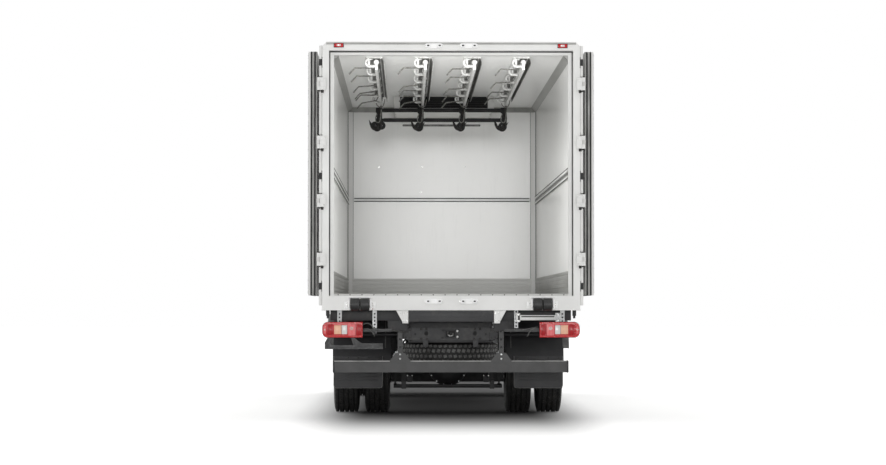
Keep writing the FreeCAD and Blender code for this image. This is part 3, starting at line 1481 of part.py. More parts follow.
doc.recompute()
for item in doc.Objects:
    if "Invalid" in item.State or "Error" in item.State:
        raise RuntimeError(f"{item.Name} did not build: {item.State}")
for item in NODES:
    if item.Shape.isNull() or not item.Shape.isValid() or not item.Shape.Solids:
        raise RuntimeError(f"{item.Label} has no valid solid")
os.makedirs("parts", exist_ok=True)
for item in NODES:
    item.Shape.exportStep(os.path.join("parts", item.Label + ".step"))
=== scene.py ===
import math

import bmesh
import bpy
from mathutils import Matrix, Vector


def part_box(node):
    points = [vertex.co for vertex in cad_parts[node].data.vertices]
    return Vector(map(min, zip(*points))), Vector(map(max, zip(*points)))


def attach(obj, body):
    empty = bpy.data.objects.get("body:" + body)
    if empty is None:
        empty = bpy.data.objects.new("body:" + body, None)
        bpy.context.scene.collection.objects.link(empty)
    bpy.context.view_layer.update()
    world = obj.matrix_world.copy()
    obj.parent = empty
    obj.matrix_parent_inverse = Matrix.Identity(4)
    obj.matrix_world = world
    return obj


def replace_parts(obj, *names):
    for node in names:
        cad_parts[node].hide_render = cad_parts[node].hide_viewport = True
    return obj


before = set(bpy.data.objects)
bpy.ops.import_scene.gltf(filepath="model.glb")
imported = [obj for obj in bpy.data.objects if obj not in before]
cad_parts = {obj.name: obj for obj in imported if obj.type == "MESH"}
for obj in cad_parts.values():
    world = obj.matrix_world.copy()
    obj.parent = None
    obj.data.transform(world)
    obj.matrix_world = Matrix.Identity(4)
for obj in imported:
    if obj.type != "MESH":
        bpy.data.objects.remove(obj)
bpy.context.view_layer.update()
hands = ((-1, "left"), (1, "right"))


# The studio is a white floor that keeps the truck's soft shadow and adds a painted shadow under
# and around it, an even white sky and broad soft lamps from behind and from both sides. The
# camera stands 26 m behind the truck.

def linear(code):
    """An sRGB hex colour as linear red, green, blue and full alpha."""
    levels = [int(code[start:start + 2], 16) / 255 for start in (1, 3, 5)]
    return tuple(
        level / 12.92 if level <= 0.04045 else ((level + 0.055) / 1.055) ** 2.4
        for level in levels) + (1.0,)


def give(item, inputs):
    """Fill a node's inputs by values or sockets; another node stands for its first output."""
    for socket, value in inputs.items():
        if isinstance(value, bpy.types.Node):
            value = value.outputs[0]
        if isinstance(value, bpy.types.NodeSocket):
            item.id_data.links.new(value, item.inputs[socket])
        else:
            item.inputs[socket].default_value = value


def add(tree, kind, inputs=None, **settings):
    """Add one node with its settings and its inputs."""
    item = tree.nodes.new(kind)
    for name, value in settings.items():
        setattr(item, name, value)
    give(item, inputs or {})
    return item


def coords(tree):
    """The place of each spot in the object's own frame."""
    return add(tree, "ShaderNodeTexCoord").outputs["Object"]


def maths(tree, operation, *values):
    """One step of arithmetic on one value or two."""
    return add(tree, "ShaderNodeMath", dict(enumerate(values)), operation=operation)


def ramp(tree, value, low, high, first=0.0, last=1.0):
    """Map a value from low..high to first..last, held within its ends."""
    return add(tree, "ShaderNodeMapRange", {0: value, 1: low, 2: high, 3: first, 4: last})


def blend(tree, amount, under, over):
    """Mix two colours and give the colour itself."""
    return add(tree, "ShaderNodeMix", {0: amount, 6: under, 7: over}, data_type="RGBA").outputs[2]


def emboss(shader, height, distance, strength):
    """Let a pattern of heights show as relief, its depth in metres."""
    give(shader, {"Normal": add(shader.id_data, "ShaderNodeBump", {
        "Height": height, "Distance": distance, "Strength": strength})})


def stain(shader, paint, code, noise, start, full, most):
    """Lay a stain over a paint where a noise is high: none below start, the most from full on."""
    tree = shader.id_data
    cloud = add(tree, "ShaderNodeTexNoise", noise)
    amount = ramp(tree, cloud.outputs["Fac"], start, full, 0.0, most)
    give(shader, {"Base Color": blend(tree, amount, paint, linear(code))})


def seen(tree):
    """One for rays from the camera and through gloss or glass, nought for the light itself."""
    path = add(tree, "ShaderNodeLightPath")
    mirror = maths(tree, "ADD", path.outputs["Is Glossy Ray"], path.outputs["Is Transmission Ray"])
    both = add(tree, "ShaderNodeMath", {0: path.outputs["Is Camera Ray"], 1: mirror},
        operation="ADD", use_clamp=True)
    return path.outputs["Is Camera Ray"], both.outputs[0]


rear_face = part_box("rear_frame")[1].y - 0.12
scene = bpy.context.scene
camera_data = bpy.data.cameras.new("camera")
camera_data.lens = 104.9
camera_data.sensor_width = 36.0
camera_data.clip_end = 300.0
camera = bpy.data.objects.new("camera", camera_data)
camera.location = (-0.446, rear_face - 26.0, 1.14)
camera.rotation_euler = (math.radians(91.675), 0.0, math.radians(-0.8))
scene.collection.objects.link(camera)
scene.camera = camera
scene.view_settings.view_transform = "Standard"

floor_mesh = bpy.data.meshes.new("studio_floor")
half_floor = 120.0
floor_mesh.from_pydata(
    [(-half_floor, -half_floor, 0), (half_floor, -half_floor, 0), (half_floor, half_floor, 0),
     (-half_floor, half_floor, 0)], [], [(0, 1, 2, 3)])
studio_floor = bpy.data.objects.new("studio_floor", floor_mesh)
scene.collection.objects.link(studio_floor)
floor_paint = bpy.data.materials.new("white_floor_painted_shadow")
floor_paint.use_nodes = True
tree = floor_paint.node_tree
shader = tree.nodes["Principled BSDF"]
camera_ray, any_view = seen(tree)
# painted shadow: the floor's colour darkens under the truck and its glow for the camera dims,
# fading out some metres from it; seen along the ground, the painted shadow reaches farther ahead
spot = add(tree, "ShaderNodeSeparateXYZ", {0: coords(tree)})
aside = maths(tree, "ABSOLUTE", spot.outputs["X"])
beside = ramp(tree, aside, 0.85, 1.75)
view = add(tree, "ShaderNodeSeparateXYZ", {
    0: add(tree, "ShaderNodeNewGeometry").outputs["Incoming"]})
along_ground = ramp(tree, view.outputs["Z"], 0.035, 0.075, 6.0, 0.0)
reach = maths(tree, "SUBTRACT", spot.outputs["Y"], along_ground)
ahead = ramp(tree, reach, 4.8, 8.0)
behind = ramp(tree, spot.outputs["Y"], -2.4, -9.0)
ends = maths(tree, "MAXIMUM", ahead, behind)
away = maths(tree, "ADD", maths(tree, "POWER", beside, 2.0), maths(tree, "POWER", ends, 2.0))
far_off = maths(tree, "POWER", away, 0.5)
painted_shadow_fade = add(tree, "ShaderNodeMapRange", {0: far_off}, interpolation_type="SMOOTHSTEP")
tone = blend(tree, painted_shadow_fade, linear("#525252"), linear("#fafaf9"))
level = ramp(tree, painted_shadow_fade, 0.0, 1.0, 0.0, 0.34)
glow = maths(tree, "MULTIPLY", camera_ray, level)
give(shader, {"Base Color": tone, "Roughness": 0.9, "Specular IOR Level": 0.1,
    "Emission Color": (1, 1, 1, 1), "Emission Strength": glow})
floor_mesh.materials.append(floor_paint)

world = bpy.data.worlds.new("even_sky")
world.use_nodes = True
tree = world.node_tree
camera_ray, any_view = seen(tree)
level = ramp(tree, any_view, 0.0, 1.0, 0.62, 1.0)
give(tree.nodes["Background"], {"Color": (1, 1, 1, 1), "Strength": level})
scene.world = world


def lamp(name, direction, power, spread):
    """A broad soft lamp, far away, that shines along a direction."""
    data = bpy.data.lights.new(name, "SUN")
    data.energy = power
    data.angle = math.radians(spread)
    item = bpy.data.objects.new(name, data)
    item.location = Vector(direction) * -30
    item.rotation_euler = Vector(direction).to_track_quat("-Z", "Y").to_euler()
    scene.collection.objects.link(item)


lamp("rear_lamp", (0.05, 1.0, 0.02), 0.98, 14)
lamp("left_lamp", (1.0, -0.55, -0.8), 0.75, 50)
lamp("right_lamp", (-1.0, -0.45, -0.7), 0.65, 50)
for name, wide, long, power, spot, tilt in (
    ("load_space_light", 2.1, 6.0, 19.0, (0.0, -0.95, 1.34), 180),
    ("open_door_light", 2.0, 2.2, 24.0, (0.0, -4.30, 2.49), 90),
):
    light = bpy.data.lights.new(name, "AREA")
    light.shape = "RECTANGLE"
    light.size = wide
    light.size_y = long
    light.energy = power
    item = bpy.data.objects.new(name, light)
    item.location = spot
    item.rotation_euler = (math.radians(tilt), 0.0, 0.0)
    item.visible_camera = False
    item.visible_glossy = False
    scene.collection.objects.link(item)


# The load space is made of whole sandwich panels with glass-fibre skins on hard foam. The skins
# are white gelcoat rolled flat, with a faint cloudiness, dull cleaning streaks and a soft gloss.

def start_finish(name, roughness, metallic=0.0, code="#808080"):
    """A new material with its object coordinates, for the nodes that follow."""
    material = bpy.data.materials.new(name)
    material.use_nodes = True
    tree = material.node_tree
    shader = tree.nodes["Principled BSDF"]
    give(shader, {"Base Color": linear(code), "Roughness": roughness, "Metallic": metallic})
    place = coords(tree)
    return material, tree, shader, place


def cloudy(name, codes, patch_mm, roughness, metallic=0.0, grain_mm=4.0, bump_mm=0.2,
           stretch=(1, 1, 1), uneven=0.12):
    """A finish of two near colours in soft patches, with a finer grain in height and gloss."""
    material, tree, shader, place = start_finish(name, roughness, metallic)
    turned = add(tree, "ShaderNodeMapping", {"Vector": place, "Scale": stretch}).outputs[0]
    patches = add(tree, "ShaderNodeTexNoise", {
        "Vector": turned, "Scale": 1000 / patch_mm, "Detail": 4.0, "Roughness": 0.55})
    spread = ramp(tree, patches.outputs["Fac"], 0.36, 0.64)
    paint = blend(tree, spread, linear(codes[0]), linear(codes[1]))
    give(shader, {"Base Color": paint})
    grain = add(tree, "ShaderNodeTexNoise", {
        "Vector": turned, "Scale": 1000 / grain_mm, "Detail": 2.0})
    gloss = ramp(tree, grain.outputs["Fac"], 0.3, 0.7, roughness - uneven / 2,
        roughness + uneven / 2)
    give(shader, {"Roughness": gloss})
    emboss(shader, grain.outputs["Fac"], bump_mm / 1000, 0.6)
    return material, tree, shader, paint


gelcoat, tree, shader, paint = cloudy(
    "white_gelcoat_skin", ("#ececea", "#e9e9e7"), 900, 0.3, grain_mm=6, bump_mm=0.004,
    uneven=0.02)
place = coords(tree)
streaked = add(tree, "ShaderNodeMapping", {"Vector": place, "Scale": (3.0, 3.0, 0.35)})
stain(shader, paint, "#b9b9b6", {"Vector": streaked, "Scale": 6.0, "Detail": 6.0,
    "Roughness": 0.7}, 0.55, 0.8, 0.13)
give(shader, {"Coat Weight": 0.25, "Coat Roughness": 0.2})


def dress(finish, *names):
    """Give CAD nodes a finish."""
    for name in names:
        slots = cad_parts[name].data.materials
        slots.clear()
        slots.append(finish)


dress(gelcoat, "side_walls", "roof", "front_wall")


# The load floor is grey epoxy resin with broadcast grit, poured over the floor panel so that it
# can be hosed out. Its darker patches are drawn out lengthwise.

grit_floor = cloudy("epoxy_grit_floor", ("#c2c2bf", "#aeaeab"), 350, 0.5, grain_mm=3, bump_mm=0.8,
    stretch=(2.5, 0.6, 1))[0]
dress(grit_floor, "load_floor")


# Aluminium edge profiles cover the outer joints of the panels: a rounded rail along the sill and
# the roof, and one on each front corner, fixed with rows of sealed rivets.

def block(shape, low, high, edge=0.002):
    """Add a box between two opposite corners to a mesh, with its edges eased."""
    low, high = zip(*(sorted(ends) for ends in zip(low, high)))
    made = bmesh.ops.create_cube(shape, size=1.0)["verts"]
    for corner in made:
        corner.co = [
            near + (far - near) * (part + 0.5) for near, far, part in zip(low, high, corner.co)]
    if edge:
        edges = {side for corner in made for side in corner.link_edges}
        bmesh.ops.bevel(
            shape, geom=list(edges), offset=edge, segments=2, profile=0.6, affect="EDGES")


def slab(shape, place, size):
    """Add a sharp box of a size, put in place by a matrix."""
    made = bmesh.ops.create_cube(shape, size=1.0)["verts"]
    bmesh.ops.transform(shape, matrix=place @ Matrix.Diagonal((*size, 1.0)), verts=made)


def plate(shape, outline, low, high, axis, edge=0.0015):
    """Add a flat outline, given across one axis, thickened from low to high along it."""
    first, second = [part for part in range(3) if part != axis]
    rings = []
    for level in sorted((low, high)):
        ring = []
        for across, up in outline:
            spot = [0.0, 0.0, 0.0]
            spot[first] = across
            spot[second] = up
            spot[axis] = level
            ring.append(shape.verts.new(spot))
        rings.append(ring)
    count = len(outline)
    faces = [shape.faces.new(rings[0]), shape.faces.new(rings[1][::-1])]
    for index in range(count):
        after = (index + 1) % count
        faces.append(shape.faces.new(
            (rings[0][index], rings[1][index], rings[1][after], rings[0][after])))
    bmesh.ops.recalc_face_normals(shape, faces=faces)
    if edge:
        rim = {side for face in faces[:2] for side in face.edges}
        bmesh.ops.bevel(shape, geom=list(rim), offset=edge, segments=1, affect="EDGES")


def piece(name, shape, finish, body="vehicle", angle=32):
    """Turn a mesh being built into a finished piece that rides on a body."""
    mesh = bpy.data.meshes.new(name)
    bmesh.ops.recalc_face_normals(shape, faces=shape.faces)
    shape.to_mesh(mesh)
    shape.free()
    mesh.materials.append(finish)
    mesh.shade_smooth()
    mesh.set_sharp_from_angle(angle=math.radians(angle))
    item = bpy.data.objects.new(name, mesh)
    scene.collection.objects.link(item)
    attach(item, body)
    return item


aluminium = cloudy("anodised_aluminium", ("#a6a7a8", "#8d8e8f"), 120, 0.38, metallic=0.75,
    grain_mm=1.5, bump_mm=0.05, stretch=(1, 0.08, 1))[0]
trim = bmesh.new()
for side in (-1, 1):
    plate(trim, [
        (side * 1.287, 1.117), (side * 1.297, 1.119), (side * 1.299, 1.135), (side * 1.2955, 1.150),
        (side * 1.2955, 1.196), (side * 1.299, 1.205), (side * 1.296, 1.214), (side * 1.287, 1.215),
    ], -4.365, 2.568, 1)
    plate(trim, [
        (side * 1.287, 3.742), (side * 1.296, 3.744), (side * 1.297, 3.790), (side * 1.291, 3.812),
        (side * 1.270, 3.817), (side * 1.222, 3.816), (side * 1.220, 3.808), (side * 1.287, 3.807),
    ], -4.365, 2.568, 1)
    plate(trim, [
        (side * 1.287, 2.500), (side * 1.296, 2.502), (side * 1.297, 2.552), (side * 1.290, 2.569),
        (side * 1.272, 2.574), (side * 1.222, 2.573), (side * 1.220, 2.563), (side * 1.288, 2.563),
    ], 1.117, 3.812, 2)
plate(trim, [
    (2.500, 3.808), (2.502, 3.816), (2.552, 3.817), (2.569, 3.811), (2.574, 3.790), (2.573, 3.745),
    (2.564, 3.743), (2.564, 3.808)], -1.285, 1.285, 0)
plate(trim, [
    (2.564, 1.117), (2.574, 1.119), (2.574, 1.185), (2.564, 1.187)], -1.225, 1.225, 0)
piece("edge_profiles", trim, aluminium)


def head_tree():
    """A geometry tree that sets one round or six-sided head on each point, facing one way."""
    tree = bpy.data.node_groups.new("fastener_heads", "GeometryNodeTree")
    for name, kind in (
        ("Geometry", "Geometry"), ("Radius", "Float"), ("Height", "Float"), ("Sides", "Int"),
        ("Facing", "Vector"), ("Finish", "Material"),
    ):
        tree.interface.new_socket(name, in_out="INPUT", socket_type="NodeSocket" + kind)
    tree.interface.new_socket("Geometry", in_out="OUTPUT", socket_type="NodeSocketGeometry")
    given = add(tree, "NodeGroupInput").outputs
    narrow = maths(tree, "MULTIPLY", given["Radius"], 0.72)
    head = add(tree, "GeometryNodeMeshCone", {"Vertices": given["Sides"], "Radius Top": narrow,
        "Radius Bottom": given["Radius"], "Depth": given["Height"]})
    facing = add(tree, "FunctionNodeAlignRotationToVector", {"Vector": given["Facing"]}, axis="Z")
    spread = add(tree, "GeometryNodeInstanceOnPoints", {"Points": given["Geometry"],
        "Instance": head.outputs["Mesh"], "Rotation": facing})
    real = add(tree, "GeometryNodeRealizeInstances", {0: spread})
    coated = add(tree, "GeometryNodeSetMaterial", {"Geometry": real, "Material": given["Finish"]})
    add(tree, "NodeGroupOutput", {0: coated})
    return tree


def made_by(tree, name, points, inputs, body="vehicle", angle=32):
    """Run a geometry tree on a set of points and keep the result as a plain piece."""
    seed = bpy.data.meshes.new(name)
    seed.from_pydata([tuple(point) for point in points], [], [])
    item = bpy.data.objects.new(name, seed)
    scene.collection.objects.link(item)
    modifier = item.modifiers.new("made", "NODES")
    modifier.node_group = tree
    for socket in tree.interface.items_tree:
        if socket.in_out == "INPUT" and socket.name in inputs:
            modifier[socket.identifier] = inputs[socket.name]
    graph = bpy.context.evaluated_depsgraph_get()
    plain = bpy.data.meshes.new_from_object(item.evaluated_get(graph), depsgraph=graph)
    item.modifiers.remove(modifier)
    item.data = plain
    plain.name = name
    plain.shade_smooth()
    plain.set_sharp_from_angle(angle=math.radians(angle))
    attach(item, body)
    return item


heads = head_tree()


def bolts(name, points, radius, height, sides, facing, finish, body="vehicle"):
    """Set one head of a bolt or rivet on each point, all facing one way, as one piece."""
    return made_by(heads, name, points, {
        "Radius": radius, "Height": height, "Sides": sides, "Facing": facing, "Finish": finish,
    }, body)


rivets = []
for step in range(58):
    along = -4.32 + step * 0.12
    rivets += [(side * 1.2955, along, 1.172) for side in (-1, 1)]
    rivets += [(side * 1.297, along, 3.768) for side in (-1, 1)]
for side in (-1, 1):
    bolts("edge_rivets_" + ("left" if side < 0 else "right"),
        [spot for spot in rivets if spot[0] * side > 0], 0.006, 0.003, 10, (side, 0.0, 0.0),
        aluminium)
corner_rivets = [
    (side * 1.248, 2.5735, 1.25 + step * 0.12) for side in (-1, 1) for step in range(21)]
bolts("corner_rivets", corner_rivets, 0.006, 0.003, 10, (0.0, 1.0, 0.0), aluminium)


# Amber side marker lamps: ribbed acrylic lenses in black rubber frames along the sill rail.

black_rubber = cloudy("black_moulded_rubber", ("#19191a", "#262627"), 60, 0.62, grain_mm=2,
    bump_mm=0.15)[0]


def lens_finish(name, code, dark):
    """Clear-coated coloured acrylic with fine moulded ribs that catch the light."""
    material, tree, shader, place = start_finish(name, 0.22)
    ribs = add(tree, "ShaderNodeTexWave", {
        "Vector": place, "Scale": 22.0, "Distortion": 0.4}, bands_direction="X")
    paint = blend(tree, ribs.outputs["Fac"], linear(code), linear(dark))
    give(shader, {"Base Color": paint})
    emboss(shader, ribs.outputs["Fac"], 0.002, 0.5)
    give(shader, {"Coat Weight": 0.12, "Specular IOR Level": 0.3})
    return material


amber_lens = lens_finish("amber_acrylic", "#d98a1e", "#b36a10")
frames = bmesh.new()
lenses = bmesh.new()
for side in (-1, 1):
    for along in (-2.9, -1.2, 0.5, 2.1):
        face = side * 1.2955
        outline = [
            (along + dx * part, 1.172 + dz * part2)
            for dx, dz, part, part2 in (
                (0.058, 0.016, -1, -1), (0.058, 0.016, 1, -1), (0.066, 0.010, 1, -0.4),
                (0.066, 0.010, 1, 0.4), (0.058, 0.016, 1, 1), (0.058, 0.016, -1, 1),
                (0.066, 0.010, -1, 0.4), (0.066, 0.010, -1, -0.4))]
        plate(frames, outline, face - side * 0.002, face + side * 0.01, 0, 0.003)
        inner = [(along + (a - along) * 0.8, 1.172 + (b - 1.172) * 0.66) for a, b in outline]
        plate(lenses, inner, face + side * 0.004, face + side * 0.015, 0, 0.003)
piece("side_marker_frames", frames, black_rubber)
piece("side_marker_lenses", lenses, amber_lens)

# The rear frame is a welded steel portal, painted white. A rubber seal lies in the corner of its
# rebate, and an aluminium threshold strip is screwed down along the edge of the floor.

frame_paint, tree, shader, paint = cloudy(
    "worn_white_frame_paint", ("#ebebe9", "#e3e3e1"), 420, 0.36, grain_mm=5, bump_mm=0.06)
place = coords(tree)
chips = add(tree, "ShaderNodeTexNoise", {
    "Vector": place, "Scale": 42.0, "Detail": 8.0, "Roughness": 0.75})
edge = add(tree, "ShaderNodeNewGeometry").outputs["Pointiness"]
reach_out = maths(tree, "ADD", chips.outputs["Fac"], edge)
marks = ramp(tree, reach_out, 1.21, 1.26, 0.0, 0.4)
chipped = blend(tree, marks, paint, linear("#7d7a76"))
give(shader, {"Base Color": chipped})
dress(frame_paint, "rear_frame")


def hoop(shape, outer, inner, low, high, axis, edge=0.0015):
    """Add a rectangular ring, outer and inner given as (across, up) corner pairs."""
    first, second = [part for part in range(3) if part != axis]

    def corner(across, up, level):
        spot = [0.0, 0.0, 0.0]
        spot[first] = across
        spot[second] = up
        spot[axis] = level
        return shape.verts.new(spot)

    loops = []
    for (left, bottom), (right, top) in (outer, inner):
        for level in sorted((low, high)):
            loops.append([
                corner(left, bottom, level), corner(right, bottom, level),
                corner(right, top, level), corner(left, top, level)])
    faces = []
    for index in range(4):
        after = (index + 1) % 4
        for one, two in ((0, 1), (1, 3), (3, 2), (2, 0)):
            faces.append(shape.faces.new((
                loops[one][index], loops[one][after], loops[two][after], loops[two][index])))
    if edge:
        bmesh.ops.bevel(
            shape, geom=list({side for face in faces for side in face.edges}), offset=edge,
            segments=1, affect="EDGES")


seal = bmesh.new()
block(seal, (-1.232, -4.399, 3.727), (1.232, -4.394, 3.739), 0.0015)
for side in (-1, 1):
    block(seal, (side * 1.232, -4.399, 1.263), (side * 1.222, -4.394, 3.727), 0.0015)
piece("rebate_seal", seal, black_rubber)

steel = cloudy("stainless_steel_sheet", ("#c4c4c2", "#a9a9a7"), 90, 0.3, metallic=0.85,
    grain_mm=1.2, bump_mm=0.03, stretch=(0.1, 1, 1))[0]
threshold = bmesh.new()
plate(threshold, [
    (-4.3975, 1.2640), (-4.3975, 1.2805), (-4.390, 1.2845), (-4.28, 1.2845), (-4.27, 1.2815),
    (-4.27, 1.2765), (-4.392, 1.2765), (-4.392, 1.2640)], -1.18, 1.18, 0)
brushed_strip = cloudy("brushed_aluminium_strip", ("#dededc", "#cdcdca"), 200, 0.55, metallic=0.1,
    grain_mm=1.2, bump_mm=0.03, stretch=(0.1, 1, 1))[0]
piece("threshold_strip", threshold, brushed_strip)
bolts("threshold_screws", [(-1.14 + step * 0.12, -4.3975, 1.2735) for step in range(20)], 0.006,
    0.0012, 12, (0.0, -1.0, 0.0), black_rubber)

# Folded drip rail over the header, corner castings and the oval plates behind the lock keepers
header = bmesh.new()
plate(header, [
    (-4.485, 3.792), (-4.489, 3.797), (-4.489, 3.808), (-4.482, 3.822), (-4.468, 3.829),
    (-4.372, 3.829), (-4.372, 3.824), (-4.480, 3.818)], -1.258, 1.258, 0, 0.001)
for side in (-1, 1):
    block(header, (side * 1.262, -4.489, 1.114), (side * 1.304, -4.372, 1.128), 0.003)
piece("header_drip_rail", header, frame_paint)
header_band = bmesh.new()
plate(header_band, [
    (-4.4900, 3.7990), (-4.4908, 3.8040), (-4.4905, 3.8085), (-4.4835, 3.8228), (-4.4800, 3.8205),
    (-4.4845, 3.7990)], -1.262, 1.262, 0, 0.0008)
# the grey of the bevel band along the header's top edge is painted shade
shaded_paint = cloudy("bevel_band_painted_shade", ("#b5b5b2", "#9e9e9b"), 300, 0.42, grain_mm=4,
    bump_mm=0.08)[0]
piece("header_bevel_band", header_band, shaded_paint)
keeper_white = cloudy("bright_white_enamel", ("#ffffff", "#f6f6f5"), 60, 0.3, grain_mm=3,
    bump_mm=0.03)[0]
keeper_plates = bmesh.new()
keeper_slots = bmesh.new()
keeper_bolts = []
for side in (-1, 1):
    for level in (1.208, 3.785):
        middle = side * 0.176
        outline = []
        for step in range(24):
            turn = math.radians(step * 15)
            outline.append((
                middle + math.copysign(0.062, math.cos(turn)) + 0.032 * math.cos(turn),
                level + 0.027 * math.sin(turn)))
        plate(keeper_plates, outline, -4.496, -4.484, 1, 0.003)
        for edge in (-1, 1):
            near, far = sorted((middle + edge * 0.036, middle + edge * 0.080))
            block(keeper_plates, (near, -4.534, level - 0.020), (far, -4.528, level + 0.020), 0.003)
            block(keeper_slots, (near + 0.012, -4.5355, level - 0.007),
                  (far - 0.010, -4.5315, level + 0.007), 0.001)
            keeper_bolts.append((middle + edge * 0.086, -4.496, level))
piece("keeper_plates", keeper_plates, keeper_white)
# the keeper slots are black patches of painted shade where the keepers are open
piece("keeper_slots", keeper_slots, black_rubber)
bolts("keeper_bolts", keeper_bolts, 0.007, 0.004, 6, (0.0, -1.0, 0.0), steel)


# Cast steel hinges: each pin ends in a dark cap, its lugs are bolted through the post, and the
# leaf's strap is held by three bolts. Rubber buffers on the posts catch the folded leaves.

dark_steel = cloudy("oiled_dark_steel", ("#3a3836", "#222120"), 40, 0.5, metallic=0.5, grain_mm=2,
    bump_mm=0.2)[0]


def tube(shape, start, end, radius, sides=16, far_radius=None, edge=0.0):
    """Add a round bar between two points, with one or two radii."""
    start = Vector(start)
    end = Vector(end)
    run = end - start
    matrix = Matrix.Translation((start + end) / 2) @ run.to_track_quat("Z",
        "Y").to_matrix().to_4x4()
    made = bmesh.ops.create_cone(
        shape, cap_ends=True, segments=sides, radius1=radius,
        radius2=radius if far_radius is None else far_radius, depth=run.length, matrix=matrix)
    if edge:
        rim = {
            side for corner in made["verts"] for side in corner.link_edges
            if max(len(face.verts) for face in side.link_faces) > 4}
        bmesh.ops.bevel(shape, geom=list(rim), offset=edge, segments=2, affect="EDGES")


hinge_first = 1.28 + 0.35
hinge_levels = [hinge_first + (3.7 - 0.3 - hinge_first) / 3 * step for step in range(4)]
caps = bmesh.new()
lug_covers = bmesh.new()
lug_bolts = []
for side in (-1, 1):
    for level in hinge_levels:
        for end in (-1, 1):
            tube(caps, (side * 1.336, -4.51, level + end * 0.0645),
                 (side * 1.336, -4.51, level + end * 0.0735), 0.0145, 14, 0.010)
            block(lug_covers, (side * 1.262, -4.5265, level + end * 0.024),
                (side * 1.318, -4.5205, level + end * 0.063), 0.004)
            lug_bolts.append((side * 1.281, -4.5265, level + end * 0.044))
        tube(caps, (side * 1.3, -4.512, level - 0.092), (side * 1.3, -4.512, level - 0.064), 0.013,
            14, 0.016)
        block(lug_covers, (side * 1.262, -4.5265, level - 0.026),
            (side * 1.311, -4.5205, level + 0.026), 0.001)
        block(lug_covers, (side * 1.306, -4.5275, level - 0.0235),
            (side * 1.3215, -4.514, level + 0.0235), 0.001)
piece("hinge_caps", caps, dark_steel)
piece("hinge_covers", lug_covers, frame_paint)
bolts("hinge_bolts", lug_bolts, 0.009, 0.006, 6, (0.0, -1.0, 0.0), frame_paint)
post_tubes = bmesh.new()
for side in (-1, 1):
    ends = [1.165] + [level + shift for level in hinge_levels for shift in (-0.078, 0.078)] + [3.79]
    for low, high in zip(ends[::2], ends[1::2]):
        tube(post_tubes, (side * 1.316, -4.452, low), (side * 1.316, -4.452, high), 0.0175, 16,
             edge=0.003)
piece("post_guard_tubes", post_tubes, frame_paint)
buffers = bmesh.new()
for side in (-1, 1):
    for level in (1.36, 2.47, 3.62):
        block(buffers, (side * 1.298, -4.472, level - 0.035), (side * 1.334, -4.43, level + 0.035),
            0.008)
        block(buffers, (side * 1.298, -4.48, level - 0.055), (side * 1.306, -4.42, level + 0.055),
            0.003)
piece("leaf_buffers", buffers, black_rubber)


# Dock rollers: two black rubber halves on a steel pin between white cheeks. The pin's ends are
# peened over washers, and a small red reflector sits below the left one.

roller_rubber = cloudy("scuffed_roller_rubber", ("#2b2b2b", "#171717"), 14, 0.42, grain_mm=2,
    bump_mm=0.6, stretch=(1, 1, 0.5))[0]
dress(roller_rubber, "dock_rollers")
cheeks = bmesh.new()
for side in (-1, 1):
    for edge in (-1, 1):
        plate(cheeks, [(-4.485, 1.12), (-4.58, 1.128), (-4.604, 1.15), (-4.606, 1.19),
            (-4.59, 1.224), (-4.53, 1.246), (-4.485, 1.248)], side * 0.918 + edge * 0.103,
            side * 0.918 + edge * 0.1155, 0, 0.003)
        block(cheeks, (side * 0.918 + edge * 0.112, -4.4935, 1.135),
            (side * 0.918 + edge * 0.158, -4.4845, 1.205), 0.003)
    block(cheeks, (side * 0.918 - 0.112, -4.52, 1.24), (side * 0.918 + 0.112, -4.485, 1.25), 0.003)
piece("roller_cheeks", cheeks, keeper_white)
washers = bmesh.new()
for side in (-1, 1):
    for edge in (-1, 1):
        face = side * 0.918 + edge * 0.125
        tube(washers, (face, -4.551, 1.175), (face + edge * 0.003, -4.551, 1.175), 0.022, 20)
        tube(washers, (face, -4.551, 1.175), (face + edge * 0.009, -4.551, 1.175), 0.011, 6)
piece("roller_washers", washers, steel)
red_lens = lens_finish("red_acrylic", "#d8121c", "#a50d15")
reflector = bmesh.new()
tube(reflector, (-0.80, -4.488, 1.131), (-0.80, -4.4995, 1.131), 0.012, 20, 0.010)
piece("small_reflector", reflector, red_lens)


# Marker lamps on the header: a red lens with a clear middle in a dark rubber base.

clear_lens, tree, shader, place = start_finish("frosted_clear_acrylic", 0.18, code="#e9dcdc")
give(shader, {"Coat Weight": 0.8})
bases = bmesh.new()
reds = bmesh.new()
clears = bmesh.new()
for left, right, low, high in ((-1.180, -1.090, 3.773, 3.807), (1.080, 1.170, 3.769, 3.803)):
    block(bases, (left - 0.006, -4.494, low - 0.005), (right + 0.006, -4.484, high + 0.005), 0.004)
    block(reds, (left - 0.001, -4.5065, low - 0.001), (right + 0.001, -4.493, high + 0.001), 0.006)
    middle = (left + right) / 2
    block(clears, (middle - 0.02, -4.5085, low + 0.007), (middle + 0.02, -4.5, high - 0.007),
        0.003)
piece("header_lamp_bases", bases, black_rubber)
piece("header_lamp_lenses", reds, red_lens)
piece("header_lamp_centres", clears, clear_lens)

# The rear doors are 88 mm foam panels with gelcoat skins. Two black rubber lip seals run round the
# edge of each leaf, the inner face has a steel kick plate, and a lock rod turns on the outside.

